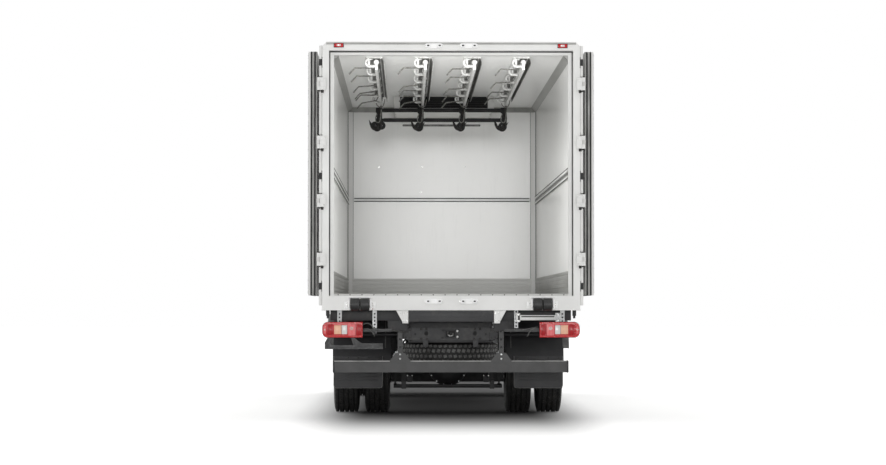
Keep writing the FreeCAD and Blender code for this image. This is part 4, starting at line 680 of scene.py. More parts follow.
door_skin, tree, shader, paint = cloudy(
    "door_gelcoat", ("#dcdcda", "#cfcfcc"), 700, 0.34, grain_mm=14, bump_mm=0.2)
place = coords(tree)
drawn = add(tree, "ShaderNodeMapping", {"Vector": place, "Scale": (4.0, 4.0, 0.3)})
stain(shader, paint, "#9d9c98", {"Vector": drawn, "Scale": 8.0, "Detail": 5.0}, 0.56, 0.76, 0.25)
dress(door_skin, "rear_door_left", "rear_door_right")
grey_edging, tree, shader, paint = cloudy(
    "grey_pvc_edging", ("#a9a9a6", "#7f7f7c"), 45, 0.5, grain_mm=3, bump_mm=0.1,
    stretch=(1, 1, 0.15))
place = coords(tree)
across = maths(tree, "ABSOLUTE", add(tree, "ShaderNodeSeparateXYZ", {0: place}).outputs["X"])
outer_band = ramp(tree, across, 1.4195, 1.4205)
outer_tone = blend(tree, outer_band, paint, linear("#dcdcda"))
give(shader, {"Base Color": outer_tone})
leaf_back, leaf_front = -4.399, -3.180
leaf_low, leaf_high = 1.270, 3.732
leaf_outer = 1.443
for side, hand in hands:
    body = f"rear_door_{hand}_leaf"
    lips = bmesh.new()
    for start in (0.0225, 0.0585):
        hoop(lips,
            ((leaf_back - 0.002, leaf_low - 0.002), (leaf_front + 0.002, leaf_high + 0.002)),
            ((leaf_back + 0.011, leaf_low + 0.011), (leaf_front - 0.011, leaf_high - 0.011)),
            side * (leaf_outer - start), side * (leaf_outer - start - 0.015), 0, 0.0035)
        middle = side * (leaf_outer - start - 0.0075)
        hoop(lips,
            ((leaf_back - 0.005, leaf_low - 0.005), (leaf_front + 0.005, leaf_high + 0.005)),
            ((leaf_back + 0.005, leaf_low + 0.005), (leaf_front - 0.005, leaf_high - 0.005)),
            middle - 0.002, middle + 0.002, 0, 0.001)
    piece(f"leaf_seals_{hand}", lips, black_rubber, body)
    edging = bmesh.new()
    for start, wide in ((0.0, 0.0215), (0.0385, 0.019), (0.0745, 0.0135)):
        hoop(edging,
            ((leaf_back - 0.0025, leaf_low - 0.0025), (leaf_front + 0.0025, leaf_high + 0.0025)),
            ((leaf_back + 0.004, leaf_low + 0.004), (leaf_front - 0.004, leaf_high - 0.004)),
            side * (leaf_outer - start), side * (leaf_outer - start - wide), 0, 0.0012)
    piece(f"leaf_edging_{hand}", edging, grey_edging, body)
    inner = side * leaf_outer
    panel = bmesh.new()
    near, far = sorted((inner - side * 0.001, inner + side * 0.004))
    hoop(panel, ((leaf_back + 0.012, leaf_low + 0.012), (leaf_front - 0.012, leaf_high - 0.012)),
         ((leaf_back + 0.052, leaf_low + 0.052), (leaf_front - 0.052, leaf_high - 0.052)),
         near, far, 0, 0.0015)
    block(panel, (near, leaf_back + 0.07, leaf_low + 0.07),
        (far, leaf_front - 0.07, leaf_low + 0.42), 0.0015)
    piece(f"leaf_liner_{hand}", panel, aluminium, body)
    screws = [
        (inner + side * 0.004, leaf_back + 0.032 + step * 0.1155, level)
        for step in range(11) for level in (leaf_low + 0.032, leaf_high - 0.032)]
    screws += [
        (inner + side * 0.004, along, leaf_low + 0.032 + step * 0.12)
        for step in range(1, 20) for along in (leaf_back + 0.032, leaf_front - 0.032)]
    screws += [
        (inner + side * 0.004, leaf_back + 0.09 + step * 0.1299, level)
        for step in range(9) for level in (leaf_low + 0.09, leaf_low + 0.40)]
    bolts(f"leaf_rivets_{hand}", screws, 0.006, 0.0025, 10, (side, 0.0, 0.0), steel, body)
    strap_bolts = [
        (side * 1.347, -4.399 + 0.075 + step * 0.085, level)
        for level in hinge_levels for step in range(3)]
    bolts(f"strap_bolts_{hand}", strap_bolts, 0.01, 0.007, 6, (-side, 0.0, 0.0), steel, body)
    rod_y = -4.51 + 1.336 - 0.176
    gear = bmesh.new()
    for level in (1.192, 3.797):
        block(gear, (side * 1.326, rod_y - 0.03, level - 0.01),
            (side * 1.345, rod_y + 0.03, level + 0.01), 0.003)
    for level in (1.40, 2.134, 2.868, 3.60):
        for end in (-1, 1):
            tube(gear, (side * 1.3355, rod_y, level + end * 0.027),
                 (side * 1.3355, rod_y, level + end * 0.035), 0.018, 18)
    plate(gear, [(rod_y - 0.02, 2.02), (rod_y + 0.018, 2.02), (rod_y + 0.018, 2.075),
        (rod_y - 0.3, 2.062), (rod_y - 0.392, 2.07), (rod_y - 0.398, 2.05), (rod_y - 0.38, 2.034),
        (rod_y - 0.3, 2.04)], side * 1.3225, side * 1.3345, 0, 0.003)
    block(gear, (side * 1.328, rod_y - 0.345, 2.02), (side * 1.356, rod_y - 0.285, 2.03), 0.002)
    block(gear, (side * 1.328, rod_y - 0.345, 2.074), (side * 1.356, rod_y - 0.285, 2.084), 0.002)
    block(gear, (side * 1.347, rod_y - 0.365, 1.985), (side * 1.3565, rod_y - 0.265, 2.12), 0.004)
    piece(f"lock_gear_{hand}", gear, steel, body)


# Extruded aluminium linings: coves in the corners, ribbed kick plates and slotted cargo rails.
# They are mill finished and dulled by cleaning, with die lines along each length.

mill_aluminium = cloudy("mill_finish_aluminium", ("#a9a9a6", "#8f8f8c"), 160, 0.42, metallic=0.25,
    grain_mm=2.5, bump_mm=0.06, stretch=(1, 0.05, 1))[0]
ribbed_aluminium, tree, shader, paint = cloudy(
    "ribbed_aluminium", ("#b2b2af", "#979794"), 220, 0.4, metallic=0.25, grain_mm=3,
    bump_mm=0.1, stretch=(1, 0.08, 1))
place = coords(tree)
spot = add(tree, "ShaderNodeSeparateXYZ", {0: place})
height = spot.outputs["Z"]
# the linings along the front wall, past Y 2.36, are toned lighter grey
bright_end = ramp(tree, spot.outputs["Y"], 2.36, 2.4)
lighter_at_front_wall = blend(tree, bright_end, paint, linear("#e4e4e2"))
give(shader, {"Base Color": lighter_at_front_wall})
# ribs stand 10 mm apart
phase = maths(tree, "MULTIPLY", height, 2 * math.pi / 0.01)
rib = maths(tree, "SINE", phase)
emboss(shader, rib, 0.0012, 0.8)
dress(mill_aluminium, "cove_profiles")
corner_trims = bmesh.new()
cove_shadow_lines = bmesh.new()
for side in (-1, 1):
    plate(corner_trims, [(side * 1.1995, 2.409), (side * 1.1995, 2.4145), (side * 1.1405, 2.4735),
        (side * 1.134, 2.4735), (side * 1.134, 2.4715), (side * 1.1975, 2.4085)], 1.282, 3.64, 2,
        0.0008)
    # near-black lines along the cove covers' edges are painted shadow, and rows of dots mark the
    # screws
    for across, along, wide in ((1.1975, 2.4075, 0.0042), (1.1325, 2.4725, 0.0022)):
        tube(cove_shadow_lines, (side * across, along, 1.282), (side * across, along, 3.640), wide, 8)
    for step in range(19):
        tube(cove_shadow_lines, (side * 1.153, 2.4590, 1.36 + step * 0.122),
             (side * 1.150, 2.4560, 1.36 + step * 0.122), 0.0045, 8)
pale_profile = cloudy("anodised_pale_profile", ("#f2f2f1", "#e8e8e6"), 160, 0.4, metallic=0.1,
    grain_mm=3, bump_mm=0.06, stretch=(1, 1, 0.1))[0]
piece("corner_cove_covers", corner_trims, pale_profile)
dress(ribbed_aluminium, "wall_protection")


def slot_tree():
    """A geometry tree that repeats a flat oval slot along a line, with a set pitch."""
    tree = bpy.data.node_groups.new("rail_slots", "GeometryNodeTree")
    for name, kind in (
        ("Geometry", "Geometry"), ("Length", "Float"), ("Width", "Float"), ("Depth", "Float"),
        ("Turn", "Vector"), ("Finish", "Material"),
    ):
        tree.interface.new_socket(name, in_out="INPUT", socket_type="NodeSocket" + kind)
    tree.interface.new_socket("Geometry", in_out="OUTPUT", socket_type="NodeSocketGeometry")
    given = add(tree, "NodeGroupInput").outputs
    pad = add(tree, "GeometryNodeMeshCylinder", {
        "Vertices": 12, "Radius": 0.5, "Depth": given["Depth"]})
    size = add(tree, "ShaderNodeCombineXYZ", {0: given["Length"], 1: given["Width"], 2: 1.0})
    oval = add(tree, "GeometryNodeTransform", {"Geometry": pad.outputs["Mesh"], "Scale": size})
    spread = add(tree, "GeometryNodeInstanceOnPoints", {"Points": given["Geometry"],
        "Instance": oval, "Rotation": given["Turn"]})
    real = add(tree, "GeometryNodeRealizeInstances", {0: spread})
    coated = add(tree, "GeometryNodeSetMaterial", {"Geometry": real, "Material": given["Finish"]})
    add(tree, "NodeGroupOutput", {0: coated})
    return tree


slots = slot_tree()
# a near-black finish of painted shadow for slots, holes, seams, gaps and recesses
shadow_gap = start_finish("painted_shadow_slot", 0.8, code="#1c1c1c")[0]
for side, hand in hands:
    made_by(slots, f"cargo_rail_slots_{hand}", [
        (side * 1.185, -4.30 + step * 0.10, 2.508) for step in range(67)], {
        "Length": 0.020, "Width": 0.050, "Depth": 0.0008,
        "Turn": (0.0, math.pi / 2, 0.0), "Finish": shadow_gap})
liner_rivets = [
    (side * 1.1878, -4.30 + step * 0.20, level)
    for side in (-1, 1) for step in range(34) for level in (1.330, 1.498)]
for side, hand in hands:
    bolts(f"kick_rivets_{hand}", [spot for spot in liner_rivets if spot[0] * side > 0], 0.006,
        0.003, 10, (-side, 0.0, 0.0), steel)
piece("corner_cove_shadow_lines", cove_shadow_lines, shadow_gap)
bar_face = bmesh.new()
bar_lines = bmesh.new()
block(bar_face, (-1.118, 2.4565, 2.507), (1.118, 2.4605, 2.531), 0.001)
for low in (2.4955, 2.5335):
    block(bar_lines, (-1.119, 2.4575, low), (1.119, 2.4605, low + 0.010), 0.0008)
for side in (-1, 1):
    near, far = (side * 1.1835, side * 1.1855)
    for low in (2.4545, 2.5530):
        block(bar_lines, (near, -4.360, low), (far, 2.38, low + 0.008), 0.0006)
    block(bar_face, (near, -4.360, 2.466), (far, 2.38, 2.484), 0.0006)
    block(bar_face, (near, -4.360, 2.530), (far, 2.38, 2.549), 0.0006)
piece("cargo_rail_faces", bar_face, pale_profile)
piece("cargo_rail_shadow_lines", bar_lines, shadow_gap)
small_plates = bmesh.new()
for across, up in ((0.0, 2.94), (0.55, 2.94), (-0.55, 2.94), (-0.02, 2.62)):
    tube(small_plates, (across - 0.25, 2.476, up), (across - 0.25, 2.468, up), 0.011, 16, 0.008)
piece("front_wall_fasteners", small_plates, steel)

# Meat rails: an aluminium ceiling strip carries J-shaped cast hangers with a round steel tube that
# the hooks slide on. A side flange holds the bolts, painted darker grey as shade; the first hangers
# are polished bright.

bright_cast, tree, shader, paint = cloudy(
    "polished_cast_aluminium", ("#e9e9e7", "#bdbdba"), 30, 0.34, metallic=0.2, grain_mm=3,
    bump_mm=0.2)
bare = paint
place = coords(tree)
spot = add(tree, "ShaderNodeSeparateXYZ", {0: place})
cell = maths(tree, "ADD", spot.outputs["X"], 0.7595)
cell = maths(tree, "DIVIDE", cell, 0.501)
cell = maths(tree, "ADD", cell, 0.5)
cell = maths(tree, "FRACT", cell)
cell = maths(tree, "SUBTRACT", cell, 0.5)
cell = maths(tree, "MULTIPLY", cell, 0.501)
height = maths(tree, "SUBTRACT", spot.outputs["Z"], 3.65)
axis_gap = add(tree, "ShaderNodeCombineXYZ", {"X": cell, "Y": height})
gap = add(tree, "ShaderNodeVectorMath", {0: axis_gap}, operation="LENGTH")
on_tube = ramp(tree, gap.outputs["Value"], 0.0225, 0.0245, 0.85, 0.0)
ahead = ramp(tree, spot.outputs["Y"], -4.186, -4.182)
tube_part = maths(tree, "MULTIPLY", on_tube, ahead)
tube_tone = blend(tree, tube_part, bare, linear("#666663"))
hung = ramp(tree, spot.outputs["Z"], 3.572, 3.56)
hung_tone = blend(tree, hung, tube_tone, linear("#242322"))
give(shader, {"Base Color": hung_tone})
dress(bright_cast, "meat_rails")
dark_strip = cloudy("dark_grey_aluminium", ("#82827f", "#5d5d5b"), 60, 0.5, metallic=0.3,
    grain_mm=3, bump_mm=0.15, stretch=(1, 0.1, 1))[0]
rail_centres = [-0.030 + (index - 1.5) * 0.501 for index in range(4)]
# the side flanges take the darker grey as painted shade under the ceiling strips
flanges = bmesh.new()
flange_bolts = []
for middle in rail_centres:
    plate(flanges, [
        (middle + 0.070, 3.6885), (middle + 0.085, 3.6885), (middle + 0.098, 3.652),
        (middle + 0.098, 3.6235), (middle + 0.092, 3.6235), (middle + 0.092, 3.650),
        (middle + 0.080, 3.681), (middle + 0.070, 3.681)], -4.195, 0.605, 1, 0.001)
    plate(flanges, [
        (middle - 0.052, 3.6885), (middle + 0.060, 3.6885), (middle + 0.060, 3.682),
        (middle - 0.052, 3.682)], -4.195, 0.605, 1, 0.001)
    flange_bolts += [(middle + 0.0985, -4.15 + step * 0.152, 3.637) for step in range(31)]
piece("rail_flanges", flanges, dark_strip)
bolts("flange_bolts", flange_bolts, 0.009, 0.006, 6, (1.0, 0.0, 0.0), bright_cast)
strip_screws = [
    (middle + shift, -4.13 + step * 0.23, 3.6882)
    for middle in rail_centres for step in range(21) for shift in (-0.072, 0.0645)]
bolts("strip_screws", strip_screws, 0.007, 0.004, 10, (0.0, 0.0, -1.0), bright_cast)
collars = bmesh.new()
for middle in rail_centres:
    rail_x = middle + 0.022
    for step in range(6):
        along = -4.175 + step * 0.913
        tube(collars, (rail_x, along + 0.004, 3.650), (rail_x, along + 0.046, 3.650), 0.0275, 20,
             edge=0.003)
        block(collars, (middle - 0.071, along - 0.012, 3.6805),
            (middle - 0.01, along + 0.062, 3.6885), 0.003)
    tube(collars, (rail_x, -4.203, 3.650), (rail_x, -4.190, 3.650), 0.019, 20, edge=0.003)
cast_white = cloudy("bright_cast_bow", ("#ececea", "#c6c6c3"), 22, 0.32, metallic=0.1, grain_mm=3,
    bump_mm=0.2)[0]
for middle in rail_centres:
    for step in range(6):
        along = -4.175 + step * 0.913
        bow = [(middle - 0.020, 3.6885)]
        for turn in range(70, 291, 20):
            bow.append(
                (middle - 0.043 + 0.052 * math.cos(math.radians(turn)),
                3.643 + 0.049 * math.sin(math.radians(turn))))
        bow += [(middle + 0.004, 3.596), (middle + 0.006, 3.608), (middle - 0.020, 3.611)]
        for turn in range(290, 69, -20):
            bow.append(
                (middle - 0.041 + 0.034 * math.cos(math.radians(turn)),
                3.643 + 0.031 * math.sin(math.radians(turn))))
        bow.append((middle - 0.014, 3.679))
        plate(collars, bow, along - 0.018, along + 0.052, 1, 0.003)
piece("hanger_collars", collars, cast_white)


# Sliding hooks of bent round wire hang on each rail. Parked ones stand askew, so their arms point
# to the left and down, and a thin pale wire loop closes the last hanger of each rail.

def pipe(shape, path, radius, sides=8, rounds=4):
    """Add a round wire along a path whose corners are rounded by a smooth curve."""
    path = [Vector(spot) for spot in path]
    spots = []
    last = len(path) - 1
    for index in range(last):
        before = path[max(index - 1, 0)]
        after = path[min(index + 2, last)]
        for step in range(rounds):
            part = step / rounds
            here, there = path[index], path[index + 1]
            spots.append(0.5 * (
                2 * here + (there - before) * part
                + (2 * before - 5 * here + 4 * there - after) * part ** 2
                + (3 * here - before - 3 * there + after) * part ** 3))
    spots.append(path[-1])
    rings = []
    across = None
    for index, spot in enumerate(spots):
        run = (spots[min(index + 1, len(spots) - 1)] - spots[max(index - 1, 0)]).normalized()
        if across is None:
            across = run.orthogonal().normalized()
        across = (across - run * across.dot(run)).normalized()
        other = run.cross(across)
        rings.append([
            shape.verts.new(spot + radius * (
                across * math.cos(2 * math.pi * part / sides)
                + other * math.sin(2 * math.pi * part / sides))) for part in range(sides)])
    for near, far in zip(rings, rings[1:]):
        for part in range(sides):
            after = (part + 1) % sides
            shape.faces.new((near[part], near[after], far[after], far[part]))
    shape.faces.new(rings[0][::-1])
    shape.faces.new(rings[-1])


def lathe(shape, profile, centre, axis, steps=96, turn=360.0, first=0.0):
    """Add a profile of (along, radius) pairs turned about one axis through a centre."""
    others = [part for part in range(3) if part != axis]
    whole = abs(turn - 360.0) < 0.01
    count = steps if whole else steps + 1
    rings = []
    for along, radius in profile:
        ring = []
        for step in range(count):
            angle = math.radians(first + turn * step / steps)
            spot = [0.0, 0.0, 0.0]
            spot[axis] = centre[axis] + along
            spot[others[0]] = centre[others[0]] + radius * math.cos(angle)
            spot[others[1]] = centre[others[1]] + radius * math.sin(angle)
            ring.append(shape.verts.new(spot))
        rings.append(ring)
    loops = list(zip(rings, rings[1:] + rings[:1]))
    for near, far in loops:
        for step in range(steps):
            after = (step + 1) % count
            shape.faces.new((near[step], near[after], far[after], far[step]))
    if not whole:
        shape.faces.new([ring[0] for ring in rings])
        shape.faces.new([ring[-1] for ring in rings][::-1])


bright_wire = cloudy("dulled_drawn_wire", ("#8f8f8b", "#5f5f5b"), 20, 0.36, metallic=0.45,
    grain_mm=2, bump_mm=0.05)[0]
arms = bmesh.new()
parked = ((0, -4.05, 0.0), (0, -3.13, 0.0), (0, -1.95, -0.012), (0, -1.15, -0.02), (0, -0.68, 0.0),
    (0, 0.12, -0.03), (1, -4.08, 0.0), (1, -2.05, -0.02), (1, -1.31, 0.0), (1, -0.5, 0.004),
    (1, 0.15, -0.03), (2, -4.0, -0.004), (2, -3.0, 0.0), (2, -1.62, -0.012), (2, -0.52, 0.0),
    (2, 0.16, -0.02), (3, -3.92, 0.0), (3, -2.42, -0.008), (3, -1.1, 0.0), (3, -0.3, -0.01))
for rail, along, dip in parked:
    x = rail_centres[rail] + 0.022
    pipe(arms, [(x + 0.029, along, 3.64), (x + 0.024, along, 3.671),
        (x - 0.004, along + 0.004, 3.678), (x - 0.03, along + 0.006, 3.655),
        (x - 0.048, along + 0.008, 3.606), (x - 0.075, along + 0.01, 3.6),
        (x - 0.222, along + 0.014, 3.602 + dip), (x - 0.252, along + 0.016, 3.57 + dip),
        (x - 0.28, along + 0.018, 3.536 + dip)], 0.0074, 8, 1)
for middle in rail_centres:
    x = middle + 0.022
    pipe(arms, [(x - 0.065, 0.42, 3.625), (x - 0.048, 0.43, 3.575), (x - 0.01, 0.44, 3.548),
        (x + 0.028, 0.44, 3.565), (x + 0.048, 0.42, 3.64)], 0.0062, 7, 2)
piece("parked_hook_wires", arms, bright_wire, angle=60)

# Black sleeves on the two stop bars, with the roller discs and the parked hooks beside them
guards = bmesh.new()
for level in (3.522, 3.404):
    for left, right in zip(rail_centres, rail_centres[1:]):
        tube(guards, (left + 0.052, 0.59, level), (right - 0.008, 0.59, level), 0.0235, 18,
            edge=0.003)
for rail, middle in enumerate(rail_centres):
    x = middle - 0.018
    block(guards, (x - 0.022, 0.560, 3.370), (x + 0.038, 0.622, 3.425), 0.008)
    block(guards, (x - 0.022, 0.560, 3.490), (x + 0.038, 0.622, 3.555), 0.008)
    rollers = ((-0.032, 3.328, 0.05), (0.046, 3.33, 0.05)) if rail == 0 else (
        (-0.004, 3.326, 0.046),)
    for shift, level, radius in rollers:
        lathe(guards, [
            (-0.014, radius), (0.014, radius), (0.016, radius - 0.012), (0.012, radius - 0.024),
            (0.010, 0.014), (-0.010, 0.014), (-0.012, radius - 0.024), (-0.016, radius - 0.012)],
            (x + shift, 0.478, level), 1, 28)
        tube(guards, (x + shift, 0.455, level), (x + shift, 0.500, level), 0.012, 12)
    plate(guards, [(x + 0.022, 3.335), (x + 0.046, 3.35), (x + 0.052, 3.42), (x + 0.044, 3.5),
        (x + 0.008, 3.53), (x - 0.014, 3.49), (x - 0.012, 3.43), (x + 0.004, 3.37)], 0.466, 0.49,
        1, 0.004)
piece("stop_bar_sleeves", guards, black_rubber, angle=50)
hook_sleeves = bmesh.new()
ring_wires = bmesh.new()
for rail, middle in enumerate(rail_centres):
    x = middle - 0.018
    for along in (0.520, 0.450):
        tube(hook_sleeves, (x + 0.012, along, 3.318), (x + 0.030, along, 3.54), 0.0135, 12)
        pipe(hook_sleeves, [
            (x + 0.012, along, 3.336), (x + 0.006, along, 3.306), (x - 0.010, along, 3.290),
            (x - 0.030, along, 3.286), (x - 0.050, along, 3.292), (x - 0.066, along, 3.308),
            (x - 0.076, along, 3.330), (x - 0.084, along, 3.352)], 0.0140, 10)
        tube(hook_sleeves, (x - 0.0835, along, 3.350), (x - 0.104, along, 3.398), 0.0135, 10, 0.001)
    if rail:
        tube(hook_sleeves, (x + 0.040, 0.452, 3.332), (x + 0.068, 0.452, 3.372), 0.010, 10, 0.001)
    pipe(ring_wires, [
        (x - 0.006, 0.436, 3.470), (x - 0.022, 0.436, 3.420), (x - 0.018, 0.436, 3.378),
        (x + 0.006, 0.436, 3.362), (x + 0.028, 0.436, 3.380), (x + 0.034, 0.436, 3.420),
        (x + 0.040, 0.436, 3.470), (x + 0.046, 0.436, 3.520)], 0.0062, 8, 2)
piece("parked_hook_rings", ring_wires, bright_wire, angle=60)
piece("parked_hooks", hook_sleeves, dark_steel, angle=50)
thin_bar = bmesh.new()
tube(thin_bar, (-0.500, 0.66, 3.345), (0.440, 0.66, 3.345), 0.0125, 14, edge=0.004)
for middle in rail_centres[1:3]:
    block(thin_bar, (middle - 0.004, 0.612, 3.350), (middle + 0.012, 0.668, 3.375), 0.003)
piece("sliding_door_bar", thin_bar, dark_strip)


# The evaporator hangs on the ceiling: a pale folded aluminium case with a louvred outlet at the
# back, two fan openings with wire guards below, and screwed end caps.

case_paint = cloudy("pale_powder_coat", ("#dededb", "#d0d0cd"), 300, 0.45, grain_mm=1.5,
    bump_mm=0.12)[0]
dress(case_paint, "evaporator")
low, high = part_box("evaporator")
louvres = bmesh.new()
for index in range(5):
    level = low.z + 0.021 + index * 0.027
    plate(louvres, [(low.y - 0.004, level - 0.006), (low.y + 0.002, level - 0.007),
        (low.y + 0.05, level + 0.01), (low.y + 0.048, level + 0.014)], low.x + 0.074,
        high.x - 0.074, 0, 0.0005)
black_louvre = cloudy("black_louvre_plastic", ("#3d3d3c", "#2c2c2b"), 90, 0.4, grain_mm=2,
    bump_mm=0.1)[0]
piece("evaporator_louvres", louvres, black_louvre)
# near-black painted shadow behind and between the louvres, for the depth of the outlet
louvre_shadow = bmesh.new()
block(louvre_shadow, (low.x + 0.074, low.y - 0.0015, low.z + 0.010),
      (high.x - 0.074, low.y + 0.001, high.z - 0.006), 0)
for index in range(4):
    level = low.z + 0.025 + index * 0.027
    block(louvre_shadow, (low.x + 0.076, low.y + 0.052, level + 0.001),
          (high.x - 0.076, low.y + 0.058, level + 0.016), 0)
piece("evaporator_louvre_shadow", louvre_shadow, shadow_gap)
caps = bmesh.new()
for side in (-1, 1):
    block(caps, (side * 0.532, low.y - 0.006, low.z - 0.003),
        (side * 0.607, low.y + 0.05, high.z - 0.004), 0.008)
    block(caps, (side * 0.5, high.y - 0.3, low.z - 0.004),
        (side * 0.609, high.y - 0.02, low.z + 0.004), 0.003)
piece("evaporator_end_caps", caps, case_paint)
corner_screws = [(side * 0.585, low.y + step * 0.42 + 0.03, low.z - 0.0005) for side in (-1, 1)
    for step in range(5)]
bolts("evaporator_screws", corner_screws, 0.009, 0.004, 10, (0.0, 0.0, -1.0), steel)
tray = bmesh.new()
hoop(tray, ((low.x + 0.1, low.y + 0.3), (high.x - 0.1, high.y - 0.34)),
    ((low.x + 0.115, low.y + 0.315), (high.x - 0.115, high.y - 0.355)), low.z - 0.004,
    low.z + 0.001, 2, 0.001)
tube(tray, (0.36, high.y - 0.42, low.z - 0.012), (0.36, high.y - 0.42, low.z + 0.001), 0.014, 14)
piece("evaporator_drip_tray", tray, case_paint)

# Chassis: two cold-pressed channel rails in dark grey paint with cross-members, bolted together.
# Road dust dulls the lower faces, and the bolt rows show as clean round heads.

chassis_paint, tree, shader, paint = cloudy(
    "dark_chassis_paint", ("#303032", "#222224"), 300, 0.5, grain_mm=4, bump_mm=0.2)
place = coords(tree)
stain(shader, paint, "#5a5752", {"Vector": place, "Scale": 9.0, "Detail": 8.0, "Roughness": 0.7},
    0.5, 0.75, 0.45)
grey_paint = cloudy("grey_underrun_paint", ("#3f3f3f", "#323232"), 180, 0.45, grain_mm=4,
    bump_mm=0.2)[0]
cast_iron = cloudy("black_painted_casting", ("#2a2a2b", "#1c1c1d"), 120, 0.55, metallic=0.1,
    grain_mm=3, bump_mm=0.6)[0]
black_plastic = cloudy("black_moulded_plastic", ("#202022", "#2a2a2c"), 200, 0.5, grain_mm=1.5,
    bump_mm=0.12)[0]
zinc, tree, shader, place = start_finish("galvanised_steel", 0.42, 0.7, "#c4c6c6")
# zinc crystals are 8 to 15 mm across
cells = add(tree, "ShaderNodeTexVoronoi", {"Vector": place, "Scale": 90.0})
tone = add(tree, "ShaderNodeSeparateColor", {0: cells.outputs["Color"]})
spangle = blend(tree, tone, linear("#aeb0b0"), linear("#d3d5d5"))
give(shader, {"Base Color": spangle})
glint = ramp(tree, tone.outputs[1], 0.0, 1.0, 0.32, 0.55)
give(shader, {"Roughness": glint})
dress(chassis_paint, "chassis_frame", "body_subframe")
dress(chassis_paint, "draw_beam")
dress(grey_paint, "underrun_guard")
dress(zinc, "lamp_brackets")
rail_bolts = []
for step in range(56):
    along = -4.0 + step * 0.15
    if not (-2.75 < along < -1.4 or 2.55 < along < 3.95):
        rail_bolts += [(0.430, along, level) for level in (0.825, 0.965)]
for side, hand in hands:
    bolts(f"rail_bolts_{hand}", [(side * x, y, z) for x, y, z in rail_bolts], 0.011, 0.009, 6,
        (side, 0.0, 0.0), cast_iron)
clamps = bmesh.new()
for side in (-1, 1):
    for along in (-3.6, -2.9, -1.1, 0.0, 1.1, 2.2):
        for shift in (-0.05, 0.05):
            tube(clamps, (side * 0.443, along + shift, 0.93), (side * 0.443, along + shift, 1.075),
                0.008, 10)
        block(clamps, (side * 0.43, along - 0.07, 0.955), (side * 0.455, along + 0.07, 0.975),
            0.003)
        block(clamps, (side * 0.43, along - 0.07, 1.045), (side * 0.455, along + 0.07, 1.065),
            0.003)
piece("body_clamps", clamps, zinc)

# Brake and wiring lines run along the inside of the rails, held by clips
lines = bmesh.new()
for side, level, radius in (
    (-1, 0.90, 0.009), (-1, 0.875, 0.006), (1, 0.905, 0.011), (1, 0.88, 0.006),
):
    path = [(side * (0.412 + (0.004 if step % 2 else 0.0)), -3.75 + step * 0.55,
        level + 0.006 * math.sin(step * 1.7)) for step in range(15)]
    pipe(lines, path, radius, 8, 3)
clips = bmesh.new()
for side in (-1, 1):
    for step in range(12):
        block(clips, (side * 0.398, -3.5 + step * 0.62, 0.866),
            (side * 0.4225, -3.485 + step * 0.62, 0.918), 0.002)
piece("chassis_lines", lines, black_rubber, angle=60)
piece("line_clips", clips, zinc)


# Below the sill: a dark cross beam between white gussets and blocks that tie the body's subframe
# to the rear frame, with hex bolts.

under = bmesh.new()
block(under, (-0.415, -4.470, 1.000), (0.415, -4.380, 1.095), 0.006)
block(under, (-0.36, -4.474, 1.048), (0.36, -4.466, 1.058), 0.002)
piece("subframe_end_beam", under, chassis_paint)
gussets = bmesh.new()
for side in (-1, 1):
    plate(gussets, [
        (side * 0.555, 1.116), (side * 0.485, 1.116), (side * 0.482, 1.000), (side * 0.492, 1.000)],
        -4.470, -4.455, 1, 0.002)
    block(gussets, (side * 0.432, -4.48, 0.985), (side * 0.492, -4.38, 1.1165), 0.004)
piece("white_gussets", gussets, frame_paint)
bolts("gusset_bolts", [(side * x, -4.48, z) for side in (-1, 1) for x in (0.447, 0.477)
    for z in (1.01, 1.09)], 0.008, 0.006, 6, (0.0, -1.0, 0.0), steel)


# Draw beam: a thick plate bolted across the rails, with groups of bolts at both ends, the four
# holes and slot for a coupling jaw in the middle, and two short brackets below.

beam_y = -4.099
beam_bolts = [
    (side * x, beam_y, z) for side in (-1, 1)
    for x, z in (
        (0.458, 0.842), (0.458, 0.905), (0.415, 0.836), (0.415, 0.911), (0.300, 0.925),
        (0.248, 0.925), (0.300, 0.826), (0.240, 0.822))]
bolts("draw_beam_bolts", beam_bolts, 0.013, 0.01, 6, (0.0, -1.0, 0.0), dark_steel)
bolts("draw_beam_bright_heads", [(0.068, beam_y, 0.905), (0.069, beam_y, 0.846)], 0.013, 0.007, 14,
    (0.0, -1.0, 0.0), frame_paint)
beam_holes = bmesh.new()
for side in (-1, 1):
    tube(beam_holes, (side * 0.248, beam_y - 0.001, 0.880), (side * 0.248, beam_y + 0.004, 0.880),
         0.021, 24)
    tube(beam_holes, (side * 0.36, beam_y - 0.001, 0.874), (side * 0.36, beam_y + 0.004, 0.874),
         0.010, 16)
piece("draw_beam_holes", beam_holes, shadow_gap)
beam_trim = bmesh.new()
for side in (-1, 1):
    block(beam_trim, (side * 0.228, -4.112, 0.74), (side * 0.282, -4.085, 0.815), 0.003)
    plate(beam_trim, [
        (side * 0.485, 0.838), (side * 0.440, 0.813), (side * 0.395, 0.813), (side * 0.395, 0.934),
        (side * 0.440, 0.934), (side * 0.485, 0.919)], -4.107, -4.098, 1, 0.003)
hoop(beam_trim, ((-0.06, 0.83), (0.06, 0.917)), ((-0.045, 0.846), (0.045, 0.901)), -4.106, -4.098,
    1, 0.002)
piece("draw_beam_brackets", beam_trim, chassis_paint)
hook = bmesh.new()
pipe(hook, [
    (-0.028, -4.092, 0.900), (-0.030, -4.112, 0.884), (-0.020, -4.124, 0.862), (0.0, -4.126, 0.856),
    (0.020, -4.124, 0.862), (0.026, -4.114, 0.880)], 0.008, 10)
piece("small_draw_hook", hook, steel, angle=60)


# Underrun guard: a grey box bar on two posts. Its top edge is lighter grey, end caps close the bar
# and bolts hold the posts and the gussets.

